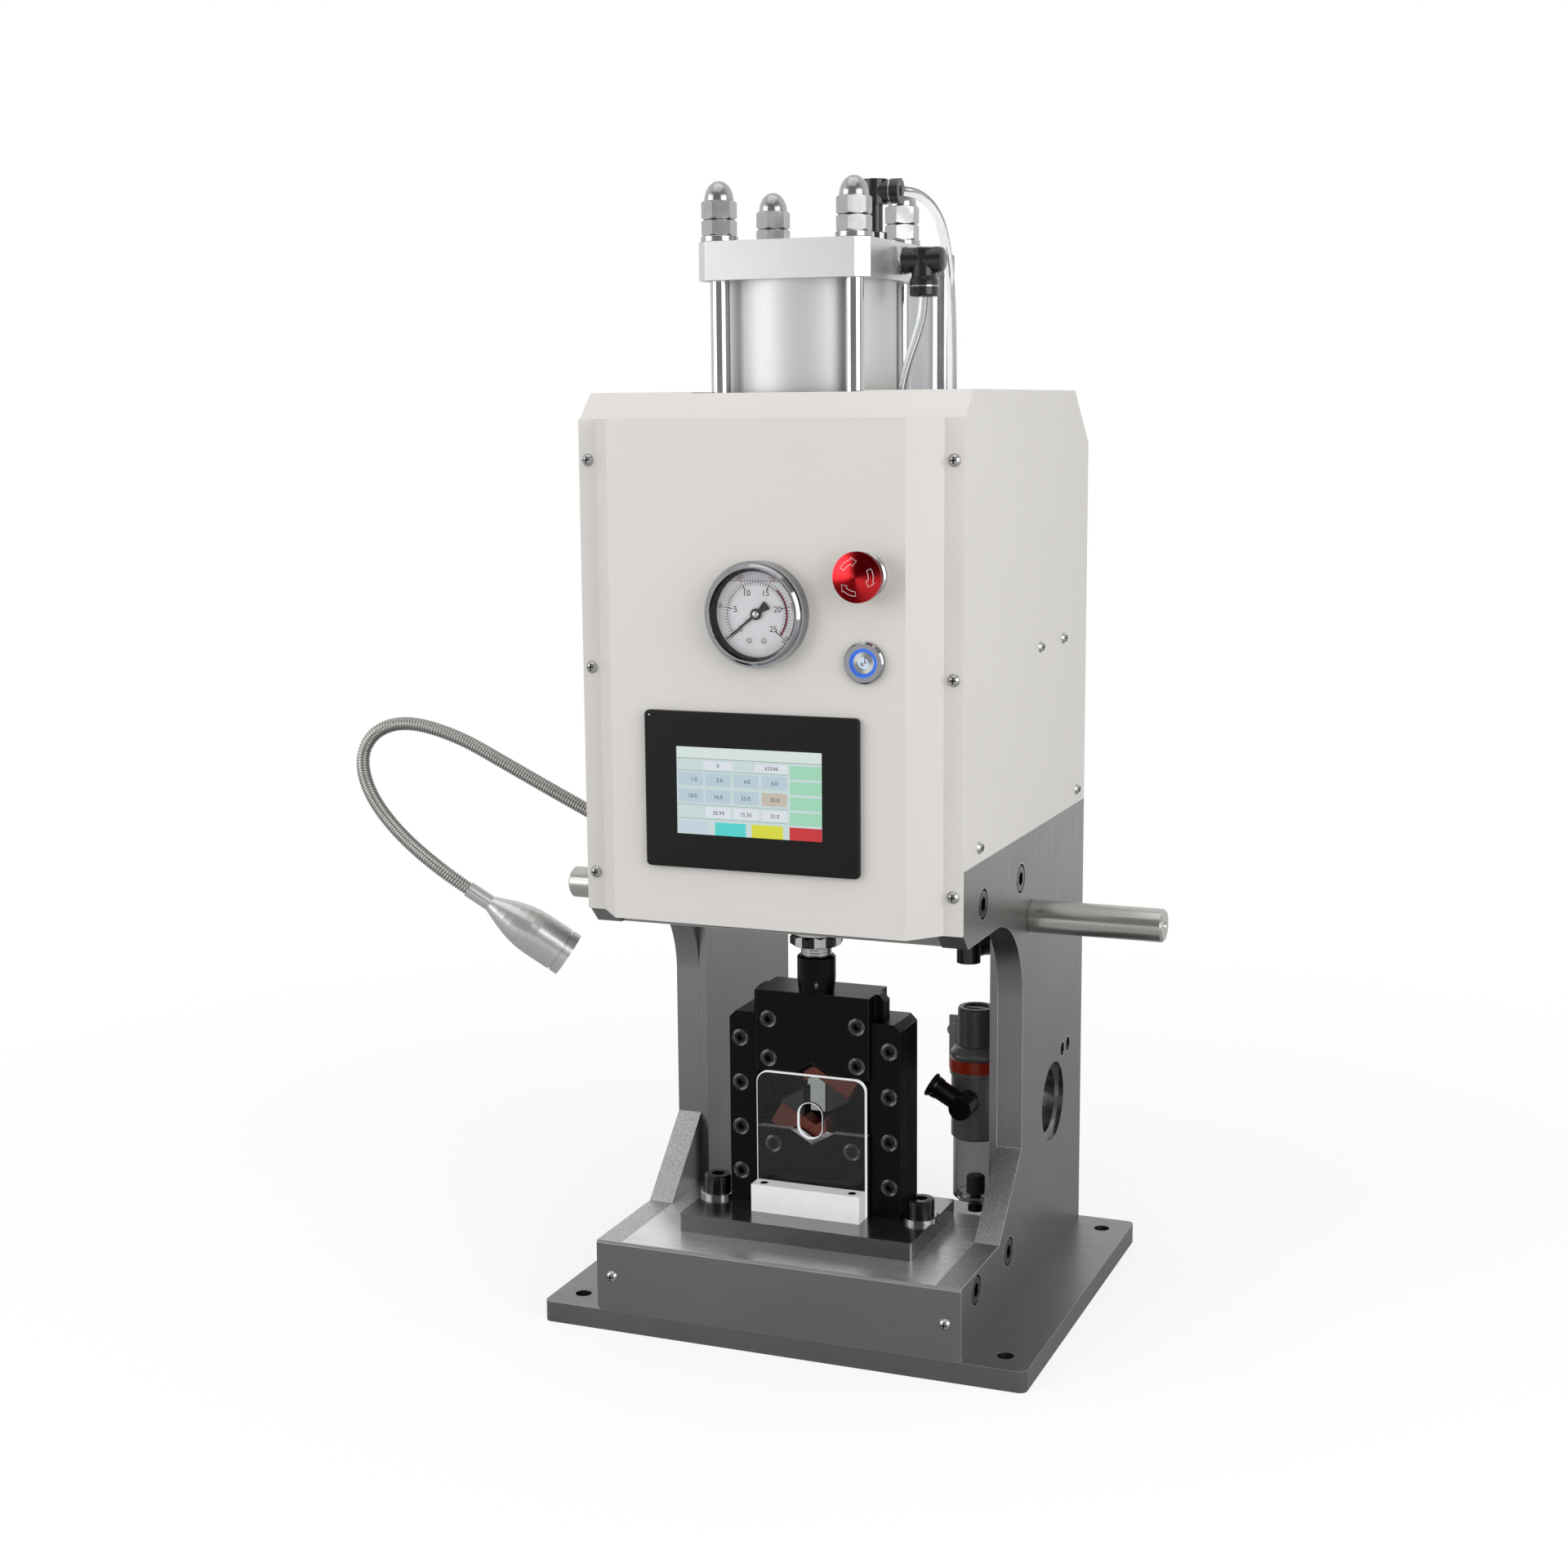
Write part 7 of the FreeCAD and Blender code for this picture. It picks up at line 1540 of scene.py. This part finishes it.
class DieSet(Assembly):
    """The black die set with its jaws, the clear guard and the brushed clamp."""

    def build(self) -> None:
        """Dress the die set."""
        self.coat(OILED_OXIDE, ["die_base_plate"], 0.4, WORN_EDGE)
        self.coat(BLACK_OXIDE, ["die_column_left", "die_column_right", "gib_plates"], 0.4, WORN_EDGE)
        self.coat(BLACK_OXIDE, ["lower_die_block", "slider_block"], 0.3, WORN_EDGE)
        self.coat(BLACK_OXIDE, ["ram_coupling"], 0.3)
        self.coat(BLACK_SCREW, ["die_screws", "slider_screws"])
        self.coat(JAW_COAT, ["jaw_bottom_left", "jaw_bottom_right", "jaw_top_left", "jaw_top_right"], 0.2)
        self.coat(JAW_DARK, ["jaw_left", "jaw_right"], 0.2)
        self.coat(CLAMP_ALUMINIUM, ["guard_clamp"], 0.4)
        self.lip()
        self.guard()
        self.back_plate()
        self.rims("gib_screw_rims", "frame", -71.0, [(side * 52.4, 95.2 + 30.6 * step)
                                                     for side in (-1, 1) for step in range(4)])
        self.rims("lower_screw_rims", "frame", DIE_FACE_Y, [(-27.7, 117.8), (27.7, 117.8)])
        self.rims("slider_screw_rims", "ram", DIE_FACE_Y, [(side * 31.0, z) for side in (-1, 1)
                                                      for z in (175.9, 202.4)])

    @staticmethod
    def rims(name: str, body: str, face: float, places: Sequence[Flat]) -> None:
        """Add bright rings on the edges of counterbores and of the screws in them, a painted highlight.

        Args:
            name: the piece's name.
            body: the CAD body that it rides on.
            face: the Y of the face that the screws are sunk into.
            places: X and Z of the screws.
        """
        rings = Shape()
        for x, z in places:
            for radius in (5.42, 4.45):
                rings.lathe([(radius - 0.11, 0), (radius + 0.11, 0), (radius + 0.07, 0.1), (radius, 0.13),
                             (radius - 0.07, 0.1)], (x, face + 0.04, z), FRONT, 48)
        rings.done(name, body, RIM_HIGHLIGHT, "black_screws")

    @staticmethod
    def lip() -> None:
        """Lay light faces along the lower block's front lip and its V bevel: a painted sheen on the black
        block's top.
        """
        top, notch, wall, bevel = 129.0, 9.8, 5.3, 2.8
        slope, skin = math.tan(math.radians(30)), 0.08
        lips = Shape()
        for side in (-1, 1):
            near, far = notch + bevel / slope, 38.1
            lips.block((side * (near + far) / 2, DIE_FACE_Y + wall / 2, top + skin / 2),
                       (far - near, wall, skin))
            grow = bevel / math.cos(math.radians(30))
            low, high = top - notch * slope, top
            edge = [(0, DIE_FACE_Y, low - grow), (side * (notch + grow / slope), DIE_FACE_Y, high),
                    (side * notch, DIE_FACE_Y + bevel, high), (0, DIE_FACE_Y + bevel, low)]
            lift = Vector((0, -skin * 0.7, skin * 0.7))
            rows = [[lips.corner(Vector(c) + lift * k) for c in edge] for k in (0, 1)]
            lips.mesh.faces.new(rows[0])
            lips.mesh.faces.new(rows[1][::-1])
            for k in range(4):
                after = (k + 1) % 4
                lips.mesh.faces.new([rows[0][k], rows[0][after], rows[1][after], rows[1][k]])
        lips.done("lower_block_lip", "frame", LIP_SHEEN, "black_oxide")

    @staticmethod
    def guard() -> None:
        """Make the guard as a clear sheet with cut edges that glow white, a painted light, in place of the
        plain one.
        """
        middle, size, slot = (0.0, 120.95), (76.6, 93.1), (-0.5, 136.8)
        edge, front, back = 0.5, -77.3, -74.3
        radii = (7.5, 7.5, 0.6, 0.6)

        def outer(inset: float) -> list[Flat]:
            """Return the sheet's outline, moved in by some distance."""
            return rounded(middle, size[0] - 2 * inset, size[1] - 2 * inset, radii)

        def hole(grow: float) -> list[Flat]:
            """Return the slot's outline, moved out by some distance."""
            return rounded(slot, 17.0 + 2 * grow, 24.0 + 2 * grow, (8.5 + grow,) * 4)
        sheet = Shape()
        sheet.plate(outer(edge), hole(edge), front, back)
        piece = sheet.done("guard_clear_sheet", "frame", GUARD_ACRYLIC, "guard_clear")
        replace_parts(piece, "guard_sheet")
        # The cut edges glow on their own: painted light that stands for the light gathered in the acrylic.
        edges = Shape()
        edges.plate(outer(0), outer(edge - 0.02), front, back)
        edges.plate(hole(edge - 0.02), hole(0), front, back)
        edges.done("guard_cut_edges", "frame", Lit("acrylic_edge_painted_glow", "F2F4F5", 0.85), "guard_clear")

    @staticmethod
    def back_plate() -> None:
        """Close the die set's rear with a thin black plate that leaves the feed opening free, and dim the
        opening with a grey film, a painted shade.
        """
        opening = (-11.0, 143.5)
        plate = Shape()
        hole = rounded(opening, 13.0, 25.0, (1.5,) * 4)
        plate.plate(rounded((0, 139.4), 79.0, 129.6, (0.5,) * 4), hole, -37.7, -36.2)
        plate.done("die_back_plate", "frame", BLACK_OXIDE, "black_oxide")
        Shape().slab(rounded(opening, 15.0, 27.0, (2.0,) * 4), -36.1, -35.7).done(
            "die_rear_dust_film", "frame", SHADE_FILM, "guard_clear")


@dataclass
class Regulator(Assembly):
    """The air filter regulator behind the arch, with its elbows."""

    x: float = 69.5
    y: float = 65.5
    knob_z: float = 153.3
    elbow: Point = (69.5, 36.5, 122.0)
    elbow_deg: float = 151.0

    def build(self) -> None:
        """Dress the regulator and add its coloured ring and the float in its bowl."""
        self.coat(REGULATOR_GREY, ["regulator_body"])
        self.coat(KNOB_PLASTIC, ["regulator_knob"])
        self.coat(BRACKET_PAINT, ["regulator_bracket"], 0.3)
        self.coat(BOWL_PLASTIC, ["regulator_bowl"])
        self.coat(NYLON, ["regulator_elbow", "head_elbow", "drain_valve"])
        Shape().lathe([(18.3, 0), (18.85, 0.3), (18.95, 4.5), (18.85, 8.7), (18.3, 9.0)],
                      (self.x, self.y, 140.6), UP, 64).done(
            "regulator_ring", "frame", ORANGE_RING, "regulator_grey")
        self.top()
        self.mouth()
        Shape().lathe([(0, 0), (6.5, 0), (6.5, 12), (5.5, 13), (0, 13)], (self.x, self.y, 50), UP, 40).done(
            "regulator_float", "frame", FILTER_WHITE, "bowl_clear")

    def top(self) -> None:
        """Make the smooth knob with its sunk top, in place of the plain one, and its lock ring."""
        knob = Shape()
        knob.lathe([(0, 0), (12.4, 0), (13.0, 0.6), (13.0, 31.3), (12.2, 32.5), (9.6, 32.5), (9.0, 31.9),
                    (9.0, 30.5), (0, 30.5)], (self.x, self.y, self.knob_z), UP, 72)
        knob.block((self.x, self.y, self.knob_z + 31.0), (15.0, 2.4, 1.0))
        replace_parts(knob.done("regulator_smooth_knob", "knob", KNOB_PLASTIC, "knob_grey"),
                    "regulator_knob")
        Shape().lathe([(13.2, 0), (17.6, 0), (17.6, 1.2), (15.2, 4.4), (13.8, 5.2), (13.2, 5.2)],
                      (self.x, self.y, 153.1), UP, 64).done(
            "regulator_lock_ring", "frame", REGULATOR_GREY, "regulator_grey")

    def mouth(self) -> None:
        """Add the release lip and the bright ring at the regulator elbow's mouth."""
        angle = math.radians(self.elbow_deg)
        way = (math.cos(angle), 0.0, math.sin(angle))
        hub = Vector(self.elbow)
        Shape().lathe([(3.3, 0), (8.4, 0), (8.8, 0.5), (8.8, 1.9), (8.4, 2.4), (3.3, 2.4)],
                      tuple(hub + Vector(way) * 25.05), way, 48).done(
            "regulator_elbow_lip", "frame", NYLON, "fitting_black")
        Shape().lathe(band(7.3, 7.9, 1.2), tuple(hub + Vector(way) * 22.6), way, 48).done(
            "regulator_elbow_ring", "frame", ZINC, "bright_screws")


@dataclass
class WorkLamp(Assembly):
    """A lamp on a bendable neck of wound steel strip."""

    pitch: float = 1.9
    strip: float = 0.75
    neck_radius: float = 4.6
    cover_x: float = -125.0
    head_length: float = 75.6
    route: tuple[Point, ...] = (
        (-131, -100, 332), (-165, -103, 349), (-203, -106.5, 368.5), (-237, -109.5, 386),
        (-272.5, -114, 395.5), (-296, -118.5, 389), (-305.7, -122.5, 370.5), (-293.6, -132.1, 347.2),
        (-266.1, -141.4, 323.7), (-230.1, -147.9, 302.0), (-214.5, -141.7, 290.3))

    def build(self) -> None:
        """Wind the neck, and dress the socket and the head."""
        self.coat(LAMP_ALUMINIUM, ["lamp_head"])
        mesh = ring_run("wound_neck", chain("neck_path", self.route), self.pitch,
                        self.neck_radius - self.strip, self.strip, self.neck_radius - self.strip, NECK_STEEL)
        mesh.polygons.foreach_set("use_smooth", [True] * len(mesh.polygons))
        neck = as_piece("wound_lamp_neck", mesh, "frame", NECK_STEEL)
        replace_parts(neck, "lamp_neck")
        socket = [(0, 0), (7.0, 0), (7.0, 5.6), (6.0, 6.4), (6.0, 8.0), (4.4, 8.0), (4.4, 7.0), (0, 7.0)]
        Shape().lathe(socket, (self.cover_x, *self.route[0][1:]), LEFT, 48).done(
            "lamp_socket", "frame", LAMP_ALUMINIUM, "lamp_aluminium")
        self.lens()

    def lens(self) -> None:
        """Set the lens and its bright ring into the lamp's mouth."""
        end, before = Vector(self.route[-1]), Vector(self.route[-2])
        run = (end - before).normalized()
        mouth = end + run * self.head_length
        Shape().lathe([(0, 0), (11.6, 0), (11.6, 1.0), (6.0, 2.0), (0, 2.4)],
                      tuple(mouth), tuple(run), 56).done(
            "lamp_lens", "frame", GAUGE_GLASS, "screen_glass")
        Shape().lathe([(11.7, 0), (12.45, 0), (12.45, 2.9), (11.7, 2.6)], tuple(mouth), tuple(run), 56).done(
            "lamp_ring", "frame", POLISHED_CHROME, "lamp_aluminium")


def rays(tree: Tree) -> tuple[Socket, Socket]:
    """Return what tells the camera's straight view, and the view in metal.

    Args:
        tree: a shader tree.

    Returns:
        1 for rays seen directly or through glass, and 1 for rays seen in a shiny surface.
    """
    path = add_node(tree, "ShaderNodeLightPath").outputs
    straight = calc(tree, "MAXIMUM", path["Is Camera Ray"], path["Is Transmission Ray"])
    bounced = calc(tree, "ADD", path["Diffuse Depth"], path["Glossy Depth"])
    direct = calc(tree, "MULTIPLY", straight, calc(tree, "LESS_THAN", bounced, 0.5))
    through = calc(tree, "MULTIPLY", path["Is Transmission Ray"], path["Glossy Depth"])
    return direct, calc(tree, "MAXIMUM", through, path["Is Glossy Ray"], use_clamp=True)


@dataclass(frozen=True)
class PaleFloor(Surface):
    """A matt white floor that keeps the machine's shadow and fades into the white surroundings."""
    name: str = "matt_white_floor"

    def shader(self, tree: Tree, place: Socket) -> bpy.types.Node:
        """Wire the paint and its fading.

        Args:
            tree: the material's tree.
            place: the place on the floor, in metres.

        Returns:
            The surface shader.
        """
        direct, glossy = rays(tree)
        away = add_node(tree, "ShaderNodeVectorMath", {0: place}, operation="LENGTH").outputs["Value"]
        straight = calc(tree, "MULTIPLY", remap(tree, away, (0.3, 1.1), (0.75, 1.0), smooth=True), direct)
        mirrored = remap(tree, away, (0.5, 1.8), (0.15, 0.85), smooth=True)
        share = calc(tree, "MULTIPLY_ADD", glossy, mirrored, straight)
        paint = add_node(tree, "ShaderNodeBsdfDiffuse", {"Color": blend(tree, direct, "B2B2B2", "FFFFFF")})
        glow = add_node(tree, "ShaderNodeEmission", {"Color": linear("FFFFFF"), "Strength": 1.0})
        return add_node(tree, "ShaderNodeMixShader", {0: share, 1: paint.outputs[0], 2: glow.outputs[0]})


@dataclass
class Studio:
    """The plain pale floor, the soft light and the camera."""

    eye: Point = (533.60, -1446.27, 599.50)
    yaw_deg: float = 21.9096
    pitch_deg: float = -9.2010
    roll_deg: float = -0.4655
    lens_mm: float = 53.21
    sensor_mm: float = 36.0
    world_level: float = 0.62
    room_level: float = 0.3
    floor_reach: float = 30.0
    aim: Point = (0, -50, 350)
    lamps: tuple[tuple[str, Point, float, float], ...] = (
        ("right_softbox", (1500, -900, 800), 1.3, 15.5),
        ("left_softbox", (-1300, -1300, 800), 1.3, 12.5),
        ("top_softbox", (0, -500, 2000), 1.5, 5.0))

    def build(self) -> None:
        """Set up the whole studio."""
        self.camera()
        self.world()
        self.floor()
        for name, place, size, power in self.lamps:
            self.softbox(name, place, size, power)
        bpy.context.scene.view_settings.view_transform = "Standard"

    def camera(self) -> None:
        """Put the camera where the photograph was taken from."""
        yaw, pitch, roll = (math.radians(a) for a in (self.yaw_deg, self.pitch_deg, self.roll_deg))
        ahead = Vector((-math.sin(yaw) * math.cos(pitch), math.cos(yaw) * math.cos(pitch), math.sin(pitch)))
        right = Vector((math.cos(yaw), math.sin(yaw), 0))
        up = right.cross(ahead)
        side = right * math.cos(roll) + up * math.sin(roll)
        head = up * math.cos(roll) - right * math.sin(roll)
        lens = bpy.data.cameras.new("camera")
        lens.lens = self.lens_mm
        lens.sensor_width = self.sensor_mm
        lens.sensor_fit = "HORIZONTAL"
        lens.clip_end = 50
        camera = put("camera", lens)
        turn = Matrix((side, head, -ahead)).transposed().to_4x4()
        camera.matrix_world = Matrix.Translation(Vector(self.eye) * MM) @ turn
        bpy.context.scene.camera = camera

    def world(self) -> None:
        """Make the surroundings white where they are seen, with the dim room behind the camera."""
        world = bpy.data.worlds.new("studio")
        bpy.context.scene.world = world
        world.use_nodes = True
        tree = world.node_tree
        tree.nodes.clear()
        direct, glossy = rays(tree)
        yaw = math.radians(self.yaw_deg)
        way = add_node(tree, "ShaderNodeTexCoord").outputs["Generated"]
        front = add_node(tree, "ShaderNodeVectorMath", {0: way, 1: (math.sin(yaw), -math.cos(yaw), 0.0)},
                         operation="DOT_PRODUCT").outputs["Value"]
        room = remap(tree, front, (-0.15, 0.75), (1.0, self.room_level), smooth=True)
        shiny = add_node(tree, "ShaderNodeMix", {0: glossy, 2: self.world_level, 3: room})
        level = add_node(tree, "ShaderNodeMix", {0: direct, 2: shiny.outputs[0], 3: 1.0})
        ground = add_node(tree, "ShaderNodeBackground", {"Color": linear("FFFFFF"),
                                                         "Strength": level.outputs[0]})
        add_node(tree, "ShaderNodeOutputWorld", {"Surface": ground.outputs[0]})

    def floor(self) -> None:
        """Lay a pale floor that keeps the machine's shadow."""
        mesh = bpy.data.meshes.new("floor")
        reach = self.floor_reach
        mesh.from_pydata([(x, z, 0) for x, z in oblong(-reach, -reach, reach, reach)], [], [(0, 1, 2, 3)])
        floor = put("floor", mesh)
        mesh.materials.append(PaleFloor().material())

    def softbox(self, name: str, place: Point, size: float, power: float) -> None:
        """Hang one soft lamp that faces the machine.

        Args:
            name: its name.
            place: where it hangs.
            size: its side, in metres.
            power: its power.
        """
        light = bpy.data.lights.new(name, "AREA")
        light.size = size
        light.energy = power
        aim = Vector(self.aim) - Vector(place)
        put(name, light).matrix_world = (Matrix.Translation(Vector(place) * MM)
                                         @ aim.to_track_quat("-Z", "Y").to_matrix().to_4x4())


def main() -> None:
    """Load the frame, dress each sub-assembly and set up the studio."""
    logging.basicConfig(level=logging.INFO, format="%(message)s")
    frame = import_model()
    nodes = frame["nodes"]
    for part in (SteelFrame, Casework, Gauge, StopButton, PowerButton, Terminal, Cylinder, DieSet, Regulator,
                 WorkLamp):
        log.info("sub-assembly %s", part.__name__)
        part(nodes).build()
    Studio().build()


if __name__ == "__main__":
    main()
